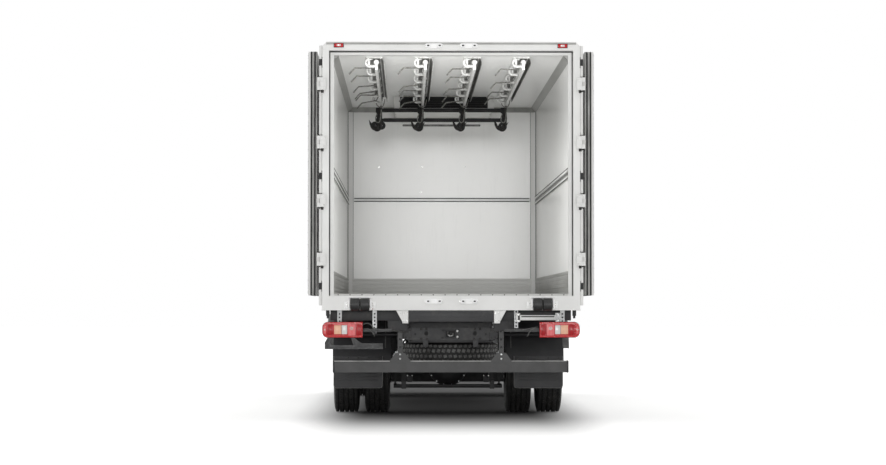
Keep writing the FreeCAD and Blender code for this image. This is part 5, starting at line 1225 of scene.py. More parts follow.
pale_edge = cloudy("pale_grey_edge", ("#b4b4b2", "#8a8a88"), 30, 0.5, metallic=0.3, grain_mm=4,
    bump_mm=0.2, stretch=(0.2, 1, 1))[0]
pale_top_strip = bmesh.new()
block(pale_top_strip, (-1.190, -4.188, 0.6022), (1.190, -4.168, 0.6046), 0.0008)
block(pale_top_strip, (-1.192, -4.1872, 0.5955), (1.192, -4.1842, 0.6044), 0.0008)
piece("guard_pale_top_edge", pale_top_strip, pale_edge)
end_caps = bmesh.new()
for side in (-1, 1):
    block(end_caps, (side * 1.18, -4.189, 0.481), (side * 1.201, -4.096, 0.607), 0.01)
piece("guard_end_caps", end_caps, black_plastic)
guard_bolts = [(side * 0.515, -4.195, z) for side in (-1, 1) for z in (0.668, 0.624)]
bolts("guard_bolts", guard_bolts, 0.011, 0.008, 6, (0.0, -1.0, 0.0), zinc)
bolts("post_bolts", [(side * 0.515, -4.185, z) for side in (-1, 1) for z in (0.74, 0.82, 0.9)],
    0.012, 0.009, 6, (0.0, -1.0, 0.0), cast_iron)

# Body cross bearers: dark pressed channels that stand out from the rails and carry the floor's
# edges, each held by two bolts at the rail.

bearers = bmesh.new()
for side in (-1, 1):
    for along in (-4.20, -3.42, -0.75, 0.45, 1.62):
        near, far = (side * 0.436, side * 1.225)
        block(bearers, (near, along, 1.104), (far, along + 0.065, 1.1165), 0.002)
        block(bearers, (near, along, 1.015), (far, along + 0.008, 1.112), 0.002)
        block(bearers, (near, along, 1.012), (far, along + 0.065, 1.020), 0.002)
piece("body_cross_bearers", bearers, chassis_paint)


# Brackets below the sill: perforated galvanised straps, a white fixing bar, and a black frame with
# thin arms. Their finish changes at the height where the painted parts begin.

bracket_finish = zinc.copy()
bracket_finish.name = "galvanised_and_black_brackets"
tree = bracket_finish.node_tree
shader = tree.nodes["Principled BSDF"]
place = coords(tree)
height = add(tree, "ShaderNodeSeparateXYZ", {0: place}).outputs["Z"]
below = maths(tree, "LESS_THAN", height, 0.94)
was = shader.inputs["Base Color"].links[0].from_socket
dark = blend(tree, 0.9, was, linear("#a9aaaa"))
shade = blend(tree, below, dark, linear("#161617"))
give(shader, {"Base Color": shade})
metal = ramp(tree, below, 0.0, 1.0, 0.4, 0.0)
give(shader, {"Metallic": metal})
dress(bracket_finish, "lamp_brackets")
fixing = bmesh.new()
for left, right, low, high in (
    (0.675, 1.062, 1.016, 1.068), (0.655, 0.700, 0.998, 1.088), (1.055, 1.110, 0.996, 1.090),
    (0.700, 1.055, 1.036, 1.044),
):
    block(fixing, (left, -4.366, low), (right, -4.358, high), 0.004)
piece("white_fixing_bar", fixing, frame_paint)
stripe = bmesh.new()
block(stripe, (0.712, -4.3675, 1.047), (1.045, -4.3655, 1.058), 0.0008)
piece("fixing_bar_slot", stripe, shadow_gap)
bolts("fixing_bar_bolts", [(x, -4.366, z) for x in (0.677, 1.083) for z in (1.012, 1.074)], 0.009,
    0.007, 6, (0.0, -1.0, 0.0), steel)


# Rear lamps: a red shell with six moulded chambers behind one clear-coated lens. From the outer
# end: reflector, stop lamp, indicator, reversing lamp, fog lamp and inner red. The reflector and
# fog lamp are painted pale pink, each with a near-white round centre, as painted highlights.

deep_red = lens_finish("deep_red_acrylic", "#c4061a", "#90040f")
# pale pink for painted highlights on the red reflector and fog lamp chambers
highlight_pink_lens = lens_finish("red_acrylic_painted_highlight", "#f4989a", "#e8484e")
bright_lens, tree, shader, place = start_finish("faceted_acrylic_painted_glints", 0.1, code="#f6ecea")
give(shader, {"Specular IOR Level": 0.2})
facets = add(tree, "ShaderNodeTexVoronoi", {"Vector": place, "Scale": 110.0})
emboss(shader, facets.outputs["Distance"], 0.004, 0.6)
# near-white facet centres fading to pink are painted glints
painted_glint = ramp(tree, facets.outputs["Distance"], 0.0, 0.6)
tone = blend(tree, painted_glint, linear("#fff6f4"), linear("#d9a8a2"))
give(shader, {"Base Color": tone})
pale_amber = lens_finish("pale_amber_acrylic", "#f8cdb2", "#efab86")
window_lens, tree, shader, place = start_finish("clear_window_acrylic", 0.12, code="#e4e2e0")
give(shader, {"Specular IOR Level": 0.4})
dress(red_lens, "rear_lamps")
shells = bmesh.new()
rims = bmesh.new()
chambers = {name: bmesh.new() for name in ("pink", "deep", "amber", "window", "bright")}
lamp_face = -4.425
for side in (-1, 1):
    outline = [(side * 0.893, 0.843), (side * 1.244, 0.843)]
    outline += [
        (side * (1.242 + 0.056 * math.sin(math.radians(turn))),
        0.9 - 0.058 * math.cos(math.radians(turn))) for turn in range(15, 91, 15)]
    outline += [
        (side * (1.242 + 0.056 * math.cos(math.radians(turn))),
        0.94 + 0.058 * math.sin(math.radians(turn))) for turn in range(0, 76, 15)]
    outline += [(side * 1.244, 0.998), (side * 0.893, 0.998)]
    plate(shells, outline, lamp_face - 0.006, lamp_face + 0.002, 1, 0.003)
    plate(rims, [(side * 1.095 + (x - side * 1.095) * 1.012, 0.9205 + (z - 0.9205) * 1.035) for x,
        z in outline], lamp_face + 0.001, lamp_face + 0.062, 1, 0.004)
    for name, left, right, low, high in (
        ("pink", 1.262, 1.286, 0.880, 0.962), ("deep", 1.190, 1.250, 0.868, 0.974),
        ("amber", 1.108, 1.180, 0.876, 0.966), ("window", 1.048, 1.104, 0.876, 0.966),
        ("pink", 0.965, 1.040, 0.862, 0.980), ("deep", 0.905, 0.955, 0.866, 0.976),
    ):
        block(chambers[name], (side * left, lamp_face - 0.0115, low),
            (side * right, lamp_face - 0.004, high), 0.005)
    tube(chambers["bright"], (side * 1.003, lamp_face - 0.0155, 0.935),
         (side * 1.003, lamp_face - 0.010, 0.935), 0.019, 20, 0.016)
    tube(chambers["bright"], (side * 1.274, lamp_face - 0.0150, 0.921),
         (side * 1.274, lamp_face - 0.010, 0.921), 0.0095, 16, 0.007)
piece("tail_lamp_lenses", shells, red_lens)
piece("tail_lamp_cases", rims, black_plastic)
for name, finish in (
    ("pink", highlight_pink_lens), ("deep", deep_red), ("amber", pale_amber), ("window", window_lens),
    ("bright", bright_lens),
):
    piece(f"tail_lamp_{name}_chambers", chambers[name], finish)
lamp_wires = bmesh.new()
pipe(lamp_wires, [
    (-0.900, -4.36, 0.965), (-0.860, -4.37, 0.985), (-0.815, -4.36, 0.975), (-0.775, -4.35, 0.930),
    (-0.740, -4.34, 0.905), (-0.66, -4.32, 0.925), (-0.60, -4.28, 0.915), (-0.50, -4.20, 0.900),
    (-0.437, -4.10, 0.895)], 0.006, 8)
pipe(lamp_wires, [
    (-0.880, -4.35, 0.930), (-0.83, -4.36, 0.928), (-0.78, -4.352, 0.870), (-0.775, -4.34, 0.850)],
    0.004, 7)
pipe(lamp_wires, [
    (0.900, -4.36, 0.930), (0.850, -4.37, 0.935), (0.800, -4.365, 0.905), (0.775, -4.35, 0.860),
    (0.770, -4.34, 0.850)], 0.005, 8)
pipe(lamp_wires, [
    (0.880, -4.35, 0.950), (0.78, -4.35, 0.930), (0.68, -4.33, 0.915), (0.55, -4.22, 0.905),
    (0.437, -4.10, 0.900)], 0.005, 8)
cable_grey = cloudy("dusty_cable_sheath", ("#6f6f6d", "#555553"), 30, 0.6, grain_mm=2,
    bump_mm=0.1)[0]
piece("lamp_wiring", lamp_wires, cable_grey, angle=60)
dark_boards = bmesh.new()
for side in (-1, 1):
    block(dark_boards, (side * 0.437, -4.186, 0.9), (side * 0.64, -4.18, 1.034), 0.002)
piece("bearer_webs", dark_boards, chassis_paint)
small_brackets = bmesh.new()
for side in (-1, 1):
    block(small_brackets, (side * 1.225, -4.44, 1.06), (side * 1.262, -4.4, 1.1165), 0.004)
    tube(small_brackets, (side * 1.243, -4.42, 1.035), (side * 1.243, -4.42, 1.062), 0.012, 12)
piece("sill_drain_nozzles", small_brackets, black_rubber)

# Tyres: black rubber covers with bead, sidewall rings and a road tread of slanted blocks between
# four grooves. Road dust dulls the rubber in patches.

tyre_rubber, tree, shader, paint = cloudy(
    "carbon_black_rubber", ("#1b1b1b", "#262625"), 60, 0.66, grain_mm=2, bump_mm=0.12)
place = coords(tree)
stain(shader, paint, "#4b4844", {"Vector": place, "Scale": 14.0, "Detail": 9.0, "Roughness": 0.75},
    0.48, 0.8, 0.5)


def tread_tree():
    """A geometry tree that stands one row of slanted blocks round a wheel's axis."""
    tree = bpy.data.node_groups.new("tread_blocks", "GeometryNodeTree")
    for name, kind in (
        ("Geometry", "Geometry"), ("Count", "Int"), ("Radius", "Float"), ("Block", "Vector"),
        ("Slant", "Float"), ("First", "Float"), ("Finish", "Material"),
    ):
        tree.interface.new_socket(name, in_out="INPUT", socket_type="NodeSocket" + kind)
    tree.interface.new_socket("Geometry", in_out="OUTPUT", socket_type="NodeSocketGeometry")
    given = add(tree, "NodeGroupInput").outputs
    cube = add(tree, "GeometryNodeMeshCube", {"Size": given["Block"]})
    lean = add(tree, "ShaderNodeCombineXYZ", {2: given["Slant"]})
    leaning = add(tree, "GeometryNodeTransform", {"Geometry": cube.outputs["Mesh"],
        "Rotation": lean})
    lift = add(tree, "ShaderNodeCombineXYZ", {2: given["Radius"]})
    raised = add(tree, "GeometryNodeTransform", {"Geometry": leaning, "Translation": lift})
    row = add(tree, "GeometryNodeDuplicateElements", {
        "Geometry": given["Geometry"], "Amount": given["Count"]}, domain="POINT")
    part = maths(tree, "DIVIDE", row.outputs["Duplicate Index"], given["Count"])
    swing = add(tree, "ShaderNodeMath", {0: part, 1: 2 * math.pi, 2: given["First"]},
        operation="MULTIPLY_ADD")
    turn = add(tree, "ShaderNodeCombineXYZ", {0: swing})
    spread = add(tree, "GeometryNodeInstanceOnPoints", {"Points": row.outputs["Geometry"],
        "Instance": raised, "Rotation": turn})
    real = add(tree, "GeometryNodeRealizeInstances", {0: spread})
    coated = add(tree, "GeometryNodeSetMaterial", {"Geometry": real, "Material": given["Finish"]})
    add(tree, "NodeGroupOutput", {0: coated})
    return tree


treads = tread_tree()
section = [
    (-0.1035, 0.2865), (0.1035, 0.2865), (0.1035, 0.306), (0.112, 0.318), (0.120, 0.336),
    (0.1245, 0.352), (0.1225, 0.354), (0.1290, 0.380), (0.1310, 0.384), (0.1335, 0.400),
    (0.1365, 0.424), (0.1345, 0.428), (0.1330, 0.452), (0.1290, 0.470), (0.1265, 0.473),
    (0.1240, 0.484), (0.1150, 0.4955), (0.092, 0.4975), (0.088, 0.488), (0.080, 0.488),
    (0.076, 0.4985), (0.034, 0.4995), (0.030, 0.489), (0.022, 0.489), (0.018, 0.4998),
]
section += [(-along, radius) for along, radius in section[:1:-1]]
rear_axle_y, front_axle_y = -2.065, 3.235
wheel_height = 0.506


def on_wheel(x, axle_y, radius, degrees):
    """A spot on a circle round an axle, turned from straight ahead upwards."""
    turn = math.radians(degrees)
    return Vector((x, axle_y + radius * math.cos(turn), wheel_height + radius * math.sin(turn)))


wheels = [("front_tyre_left", "front_wheel_left", [(-1.0, front_axle_y, wheel_height)]),
    ("front_tyre_right", "front_wheel_right", [(1.0, front_axle_y, wheel_height)]),
    ("rear_tyres_left", "rear_wheels_left",
    [(x, rear_axle_y, wheel_height) for x in (-1.102, -0.766)]),
    ("rear_tyres_right", "rear_wheels_right",
    [(x, rear_axle_y, wheel_height) for x in (1.102, 0.766)])]
block_rows = ((-0.1035, 0.026, 0.021, 0.35, 0.0), (-0.056, 0.036, 0.022, -0.3, 0.035),
    (0.0, 0.03, 0.022, 0.3, 0.0), (0.056, 0.036, 0.022, -0.3, 0.035),
    (0.1035, 0.026, 0.021, 0.35, 0.0))
for node, body, centres in wheels:
    cover = bmesh.new()
    for centre in centres:
        lathe(cover, section, centre, 0, 96)
    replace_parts(piece(f"{node}_cover", cover, tyre_rubber, body, 40), node)
    for row, (along, wide, long_side, slant, first) in enumerate(block_rows):
        drop = 0.0 if abs(along) < 0.09 else 0.0035
        made_by(treads, f"{node}_tread_{row}",
            [(centre[0] + along, centre[1], centre[2]) for centre in centres],
            {"Count": 88, "Radius": 0.499 - drop, "Block": (wide, long_side, 0.0125),
            "Slant": slant, "First": first, "Finish": tyre_rubber}, body, 20)

# The spare tyre lies flat under the rear end on the carrier, with the same cover and tread
spare_low, spare_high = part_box("spare_wheel")
spare_middle = (spare_low + spare_high) / 2
cover = bmesh.new()
lathe(cover, section, (0.0, 0.0, 0.0), 0, 96)
rows = bmesh.new()
for along, wide, long_side, slant, first in block_rows:
    drop = 0.0 if abs(along) < 0.09 else 0.0035
    for step in range(60):
        made = bmesh.ops.create_cube(rows, size=1.0)["verts"]
        lean = Matrix.Rotation(slant, 4, "Z")
        swing = Matrix.Rotation(2 * math.pi * step / 60 + first, 4, "X")
        place = Matrix.Translation((along, 0, 0)) @ swing @ Matrix.Translation(
            (0, 0, 0.4990 - drop)) @ lean @ Matrix.Diagonal((wide, long_side * 1.5, 0.0125, 1.0))
        bmesh.ops.transform(rows, matrix=place, verts=made)
for shape in (cover, rows):
    bmesh.ops.transform(
        shape, matrix=Matrix.Translation(spare_middle) @ Matrix.Rotation(math.pi / 2, 4, "Y"),
        verts=shape.verts)
# the spare's tread blocks are painted lighter grey than the tyre rubber, as highlights on the tread
highlight_rubber = cloudy("rubber_painted_highlight", ("#6a6a68", "#3a3a39"), 45, 0.6, grain_mm=2,
    bump_mm=0.2)[0]
piece("spare_wheel_tread", rows, highlight_rubber, angle=20)
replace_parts(piece("spare_wheel_cover", cover, tyre_rubber, angle=40), "spare_wheel")
wheel_grey, tree, shader, paint = cloudy(
    "silver_wheel_enamel", ("#b3b3b2", "#9c9c9a"), 90, 0.38, metallic=0.3, grain_mm=3, bump_mm=0.1)
place = coords(tree)
stain(shader, paint, "#6b655e", {"Vector": place, "Scale": 11.0, "Detail": 8.0}, 0.5, 0.72, 0.22)
spare_rim = bmesh.new()
lathe(spare_rim, [
    (-0.116, 0.304), (-0.104, 0.3045), (-0.104, 0.2862), (-0.045, 0.252), (0.035, 0.252),
    (0.104, 0.2862), (0.104, 0.3045), (0.116, 0.304), (0.116, 0.272), (0.038, 0.238),
    (-0.048, 0.238), (-0.116, 0.272)], spare_middle, 2, 72)
lathe(spare_rim, [
    (0.030, 0.236), (0.044, 0.222), (0.044, 0.100), (0.038, 0.086), (0.030, 0.086), (0.030, 0.10),
    (0.026, 0.220)], spare_middle, 2, 72)
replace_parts(piece("spare_wheel_rim", spare_rim, wheel_grey), "spare_wheel")
carrier = bmesh.new()
block(carrier, (-0.40, spare_middle.y - 0.03, spare_middle.z + 0.045),
      (0.40, spare_middle.y + 0.03, spare_middle.z + 0.052), 0.002)
for side in (-1, 1):
    tube(carrier, (side * 0.34, spare_middle.y, spare_middle.z + 0.05),
         (side * 0.34, spare_middle.y, 0.80), 0.012, 12)
tube(carrier, (0.0, spare_middle.y, spare_middle.z + 0.02),
    (0.0, spare_middle.y, spare_middle.z + 0.05), 0.045, 20, edge=0.004)
block(carrier, (-0.40, -4.050, 0.786), (0.40, -4.030, 0.842), 0.003)
piece("spare_wheel_carrier", carrier, chassis_paint)


# Pressed steel disc wheels in silver enamel: ten wheel nuts with flanges, a dark hub with an oil
# cap at the front, a cone hub with bolts at the back, and a bent steel valve.

dress(wheel_grey, "front_rim_left", "front_rim_right", "rear_rims_left", "rear_rims_right")
for side, hand in hands:
    for end, axle_y, face, hub in (
        ("front", front_axle_y, 1.1680, 1.228), ("rear", rear_axle_y, 0.9475, 1.164),
    ):
        body = f"front_wheel_{hand}" if end == "front" else f"rear_wheels_{hand}"
        nuts = bmesh.new()
        out = Vector((side, 0, 0))
        for step in range(10):
            spot = on_wheel(side * face, axle_y, 0.1675, 36 * step)
            tube(nuts, spot, spot + out * 0.006, 0.021, 18)
            tube(nuts, spot + out * 0.006, spot + out * 0.028, 0.016, 6, 0.015)
            tube(nuts, spot + out * 0.028, spot + out * 0.040, 0.010, 12)
        piece(f"{end}_wheel_nuts_{hand}", nuts, zinc, body)
        covers = bmesh.new()
        if end == "front":
            lathe(covers, [
                (side * 1.170, 0.120), (side * 1.182, 0.116), (side * 1.190, 0.092),
                (side * 1.2285, 0.082), (side * 1.2325, 0.074), (side * 1.2335, 0.02),
                (side * 1.2335, 0.002), (side * 1.170, 0.002)],
                (0.0, axle_y, wheel_height), 0, 40)
            for step in range(8):
                spot = on_wheel(side * 1.186, axle_y, 0.104, 45 * step + 10)
                tube(covers, spot, spot + out * 0.010, 0.008, 6)
        else:
            lathe(covers, [
                (side * 1.0, 0.104), (side * 1.010, 0.116), (side * 1.060, 0.112),
                (side * 1.150, 0.092), (side * 1.163, 0.086), (side * 1.166, 0.060),
                (side * 1.166, 0.002), (side * 1.0, 0.002)], (0.0, axle_y, wheel_height), 0, 40)
            for step in range(10):
                spot = on_wheel(side * 1.161, axle_y, 0.072, 36 * step + 8)
                tube(covers, spot, spot + out * 0.012, 0.008, 6)
        piece(f"{end}_hub_cover_{hand}", covers, cast_iron, body, 35)
        valve = bmesh.new()
        outer = 1.120 if end == "front" else 1.215
        start = on_wheel(side * (outer - 0.055), axle_y, 0.232, 70)
        pipe(valve, [start, start + Vector((side * 0.02, 0.0, -0.003)),
            start + Vector((side * 0.05, 0.006, -0.014)),
            start + Vector((side * 0.07, 0.01, -0.022))], 0.004, 8)
        tube(valve, start + Vector((side * 0.068, 0.0096, -0.0212)),
             start + Vector((side * 0.082, 0.0125, -0.0265)), 0.006, 10)
        piece(f"{end}_wheel_valve_{hand}", valve, steel, body)

# Mudguards and flaps: black moulded shells with a rolled lighter grey rim, and ribbed rubber flaps
# with a pale grey edge, each held by a steel strip and bolts.

dress(black_plastic, "mudguards")
pale_rim_plastic = cloudy("pale_moulded_edge", ("#6e6e6d", "#565655"), 40, 0.45, grain_mm=2,
    bump_mm=0.15)[0]
guard_rims = bmesh.new()
for side in (-1, 1):
    lathe(guard_rims, [(side * 1.236, 0.56), (side * 1.296, 0.556), (side * 1.304, 0.55),
        (side * 1.308, 0.554), (side * 1.3, 0.5665), (side * 1.236, 0.569)],
        (0.0, rear_axle_y, wheel_height), 0, 60, 138, 21)
    lathe(guard_rims, [
        (side * 0.677 - 0.0045, 0.558), (side * 0.677 + 0.0045, 0.558),
        (side * 0.677 + 0.0045, 0.569), (side * 0.677 - 0.0045, 0.569)],
        (0.0, rear_axle_y, wheel_height), 0, 60, 138, 21)
    for across in (0.873, 1.146):
        lathe(guard_rims, [
            (side * across - 0.004, 0.6035), (side * across + 0.004, 0.6035),
            (side * across + 0.004, 0.614), (side * across - 0.004, 0.614)],
            (0.0, front_axle_y, wheel_height), 0, 30, 51, 139.5)
piece("mudguard_rims", guard_rims, pale_rim_plastic, angle=40)
flap_rims = bmesh.new()
flap_ribs = bmesh.new()
flap_bolts = []
for side in (-1, 1):
    left, right, low, high, wide = 0.708, 1.232, 0.279, 0.621, 0.007
    outline = [(left, high), (left, low + 0.03)]
    outline += [
        (left + 0.03 - 0.03 * math.cos(math.radians(turn)),
        low + 0.03 - 0.03 * math.sin(math.radians(turn))) for turn in (22, 45, 68)]
    outline += [(left + 0.03, low), (right - 0.03, low)]
    outline += [
        (right - 0.03 + 0.03 * math.sin(math.radians(turn)),
        low + 0.03 - 0.03 * math.cos(math.radians(turn))) for turn in (22, 45, 68)]
    outline += [(right, low + 0.03), (right, high)]
    for here, after in zip(outline, outline[1:]):
        ends = [(side * x, -2.6375, z) for x, z in (here, after)]
        tube(flap_rims, ends[0], ends[1], 0.0045, 8)
    for step in range(6):
        level = 0.36 + step * 0.035
        block(flap_ribs, (side * 0.76, -2.6405, level), (side * 1.18, -2.637, level + 0.012),
            0.0015)
    block(flap_ribs, (side * 0.712, -2.6425, 0.585), (side * 1.228, -2.6372, 0.617), 0.001)
    flap_bolts += [(side * (0.75 + 0.11 * step), -2.6425, 0.601) for step in range(5)]
piece("mud_flap_rims", flap_rims, pale_rim_plastic, angle=40)
piece("mud_flap_ribs", flap_ribs, black_plastic)
bolts("mud_flap_bolts", flap_bolts, 0.009, 0.006, 6, (0.0, -1.0, 0.0), dark_steel)


# Rear axle: a cast banjo with a bolted cover, diaphragm brake chambers with their hoses, leaf
# springs on U-bolts and an anti-roll bar in rubber bushes.

dress(cast_iron, "rear_axle", "leaf_springs", "front_axle", "knuckle_left", "knuckle_right",
    "tie_rod")
spring_parts = bmesh.new()
u_bolts = bmesh.new()
for side in (-1, 1):
    for centre, seat in ((rear_axle_y, 0.59), (front_axle_y, 0.54)):
        for shift in (-0.058, 0.058):
            for across in (0.344, 0.446):
                tube(u_bolts, (side * across, centre + shift, seat - 0.13),
                     (side * across, centre + shift, seat + 0.085), 0.010, 12)
                for low in (seat - 0.118, seat + 0.062):
                    tube(u_bolts, (side * across, centre + shift, low),
                         (side * across, centre + shift, low + 0.018), 0.017, 6)
            tube(u_bolts, (side * 0.344, centre + shift, seat + 0.082),
                 (side * 0.446, centre + shift, seat + 0.082), 0.010, 12)
        block(spring_parts, (side * 0.333, centre - 0.08, seat + 0.055),
            (side * 0.457, centre + 0.08, seat + 0.07), 0.004)
        for shift in (-0.36, 0.36):
            block(spring_parts, (side * 0.333, centre + shift - 0.018, seat - 0.012 + 0.05),
                (side * 0.457, centre + shift + 0.018, seat + 0.072), 0.003)
piece("spring_clamps", spring_parts, cast_iron)
piece("spring_u_bolts", u_bolts, zinc)
brake_parts = bmesh.new()
chamber_parts = bmesh.new()
for side in (-1, 1):
    spot = Vector((side * 0.52, rear_axle_y - 0.235, 0.60))
    tube(chamber_parts, spot, spot + Vector((0.0, -0.055, 0.0)), 0.088, 28, 0.080, 0.006)
    tube(chamber_parts, spot + Vector((0.0, 0.006, 0.0)), spot + Vector((0.0, 0.06, 0.0)), 0.08,
        28, 0.06, 0.006)
    tube(brake_parts, spot + Vector((0.0, -0.004, 0.0)), spot + Vector((0.0, 0.008, 0.0)), 0.094,
        28)
    tube(brake_parts, spot + Vector((0.0, 0.05, 0.0)), spot + Vector((0.0, 0.19, -0.03)), 0.010, 10)
    tube(brake_parts, (side * 0.31, rear_axle_y - 0.28, 0.8),
        (side * 0.33, rear_axle_y - 0.2, 0.52), 0.03, 18)
    tube(brake_parts, (side * 0.3085, rear_axle_y - 0.2845, 0.815),
        (side * 0.321, rear_axle_y - 0.235, 0.645), 0.038, 18)
    tube(brake_parts, (side * 0.27, rear_axle_y - 0.196, 0.5),
        (side * 0.345, rear_axle_y - 0.196, 0.5), 0.024, 14)
    tube(brake_parts, (side * 0.62, rear_axle_y, wheel_height),
        (side * 0.636, rear_axle_y, wheel_height), 0.19, 40, 0.18)
    for step in range(10):
        tube(brake_parts, on_wheel(side * 0.6, rear_axle_y, 0.15, 36 * step),
            on_wheel(side * 0.622, rear_axle_y, 0.15, 36 * step), 0.01, 6)
piece("brake_chambers", chamber_parts, zinc)
piece("rear_brake_parts", brake_parts, cast_iron)
banjo_bolts = [
    (0.205 * math.sin(math.radians(24 * step)), rear_axle_y - 0.232 * 0.5,
    wheel_height + 0.205 * math.cos(math.radians(24 * step))) for step in range(15)]
cover = bmesh.new()
lathe(cover, [(-0.115, 0.218), (-0.128, 0.214), (-0.134, 0.196), (-0.176, 0.17), (-0.214, 0.118),
    (-0.23, 0.05), (-0.232, 0.002), (-0.112, 0.002)], (0.0, rear_axle_y, wheel_height), 1, 48)
for step in range(6):
    turn = math.radians(60 * step + 30)
    tube(cover,
        (0.195 * math.sin(turn), rear_axle_y - 0.14, wheel_height + 0.195 * math.cos(turn)),
        (0.04 * math.sin(turn), rear_axle_y - 0.232, wheel_height + 0.04 * math.cos(turn)), 0.009,
        8)
piece("banjo_cover", cover, cast_iron, angle=40)
bolts("banjo_bolts", banjo_bolts, 0.01, 0.02, 6, (0.0, -1.0, 0.0), zinc)
bushes = bmesh.new()
rings = bmesh.new()
for side in (-1, 1):
    block(bushes, (side * 0.385, -2.385, 0.335), (side * 0.445, -2.315, 0.4), 0.006)
    tube(rings, (side * 0.458, -2.350, 0.480), (side * 0.474, -2.350, 0.480), 0.034, 24)
    for shift in (-0.026, 0.026):
        tube(rings, (side * 0.415 + shift, -2.39, 0.405), (side * 0.415 + shift, -2.31, 0.405),
            0.006, 8)
piece("anti_roll_bar_bushes", bushes, black_rubber)
piece("anti_roll_bar_rings", rings, zinc)
hoses = bmesh.new()
for side in (-1, 1):
    pipe(hoses, [
        (side * 0.52, rear_axle_y - 0.235, 0.688), (side * 0.50, rear_axle_y - 0.22, 0.74),
        (side * 0.46, rear_axle_y - 0.14, 0.80), (side * 0.42, rear_axle_y - 0.02, 0.84),
        (side * 0.40, rear_axle_y + 0.10, 0.87)], 0.009, 8)
    pipe(hoses, [(side * 0.14, rear_axle_y - 0.09, 0.62), (side * 0.3, rear_axle_y - 0.085, 0.588),
        (side * 0.48, rear_axle_y - 0.085, 0.582), (side * 0.6, rear_axle_y - 0.07, 0.58)], 0.005,
        7)
piece("rear_brake_hoses", hoses, black_rubber, angle=60)


# Front axle: kingpin caps, ball joints in rubber boots and brake castings, which turn with the
# wheels, and two dampers, which don't.

for side, hand in hands:
    body = f"knuckle_{hand}_body"
    boots = bmesh.new()
    castings = bmesh.new()
    arm = Vector((side * 0.83, 2.995, 0.412))
    tube(boots, arm + Vector((0, 0, -0.026)), arm + Vector((0, 0, -0.012)), 0.030, 20, 0.024, 0.003)
    tube(castings, (side * 0.865, front_axle_y, 0.612), (side * 0.865, front_axle_y, 0.628), 0.03,
        20, 0.026, 0.003)
    tube(castings, (side * 0.865, front_axle_y, 0.374), (side * 0.865, front_axle_y, 0.39), 0.028,
        20)
    for step in range(4):
        turn = math.radians(90 * step + 45)
        spot = Vector(
            (side * 0.865 + 0.02 * math.cos(turn), front_axle_y + 0.02 * math.sin(turn), 0.628))
        tube(castings, spot, spot + Vector((0, 0, 0.006)), 0.005, 6)
    block(castings, (side * 0.895, front_axle_y - 0.17, 0.455),
        (side * 0.945, front_axle_y - 0.095, 0.6), 0.01)
    tube(castings, (side * 0.915, front_axle_y - 0.13, 0.6),
        (side * 0.915, front_axle_y - 0.1, 0.66), 0.045, 20, 0.04, 0.004)
    piece(f"kingpin_caps_{hand}", castings, cast_iron, body)
    piece(f"steering_boot_{hand}", boots, black_rubber, body)
drag = bmesh.new()
for side in (-1, 1):
    tube(drag, (side * 0.74, 2.995, 0.376), (side * 0.70, 2.995, 0.376), 0.024, 18)
    for shift in (0.705, 0.735):
        tube(drag, (side * shift - 0.004, 2.995, 0.35), (side * shift + 0.004, 2.995, 0.402),
            0.006, 8)
piece("tie_rod_clamps", drag, zinc, "tie_rod_body")
beam_parts = bmesh.new()
for side in (-1, 1):
    tube(beam_parts, (side * 0.4, front_axle_y + 0.16, 0.84),
        (side * 0.47, front_axle_y + 0.14, 0.5), 0.027, 18)
    tube(beam_parts, (side * 0.399, front_axle_y + 0.163, 0.855),
        (side * 0.434, front_axle_y + 0.151, 0.67), 0.035, 18)
piece("front_dampers", beam_parts, cast_iron)


# Engine and gearbox: a painted cast block with ribs, head cover, sump, belt drive and fan, and an
# alloy gearbox with a bolted bell housing, all slung between the rails under the cab.

engine_paint = cloudy("grey_engine_enamel", ("#6f7375", "#5d6163"), 120, 0.42, metallic=0.15,
    grain_mm=3, bump_mm=0.4)[0]
alloy = cloudy("sand_cast_alloy", ("#8d8e8d", "#747574"), 60, 0.5, metallic=0.55, grain_mm=1.5,
    bump_mm=0.4)[0]
engine = bmesh.new()
plate(engine, [
    (-0.21, 0.80), (0.21, 0.80), (0.27, 0.86), (0.27, 1.06), (0.225, 1.10), (-0.225, 1.10),
    (-0.27, 1.06), (-0.27, 0.86)], 2.80, 3.86, 1, 0.008)
plate(engine, [(-0.185, 1.095), (0.185, 1.095), (0.195, 1.115), (0.195, 1.185), (-0.195, 1.185),
    (-0.195, 1.115)], 2.84, 3.83, 1, 0.006)
for side in (-1, 1):
    for step in range(7):
        along = 2.88 + step * 0.145
        block(engine, (side * 0.266, along, 0.845), (side * 0.286, along + 0.014, 1.075), 0.003)
    block(engine, (side * 0.268, 3.25, 0.875), (side * 0.32, 3.45, 0.945), 0.008)
plate(engine, [
    (-0.24, 0.785), (0.24, 0.785), (0.24, 0.80), (-0.24, 0.80)], 2.80, 3.86, 1, 0.002)
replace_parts(piece("engine_casting", engine, engine_paint), "engine_block")
trim = bmesh.new()
plate(trim, [(-0.165, 1.183), (0.165, 1.183), (0.155, 1.265), (0.11, 1.288), (-0.11, 1.288),
    (-0.155, 1.265)], 2.87, 3.8, 1, 0.012)
for step in range(6):
    block(trim, (-0.150, 2.93 + step * 0.15, 1.262), (0.150, 2.955 + step * 0.15, 1.2895), 0.006)
plate(trim, [
    (-0.20, 0.785), (-0.17, 0.66), (-0.13, 0.622), (0.13, 0.622), (0.17, 0.66), (0.20, 0.785)],
    2.86, 3.70, 1, 0.012)
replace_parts(piece("engine_covers", trim, black_plastic), "engine_block")
gearbox = bmesh.new()
lathe(gearbox, [
    (0.0, 0.245), (-0.022, 0.25), (-0.06, 0.235), (-0.20, 0.195), (-0.205, 0.02), (0.0, 0.02)],
    (0.0, 2.80, 0.80), 1, 40)
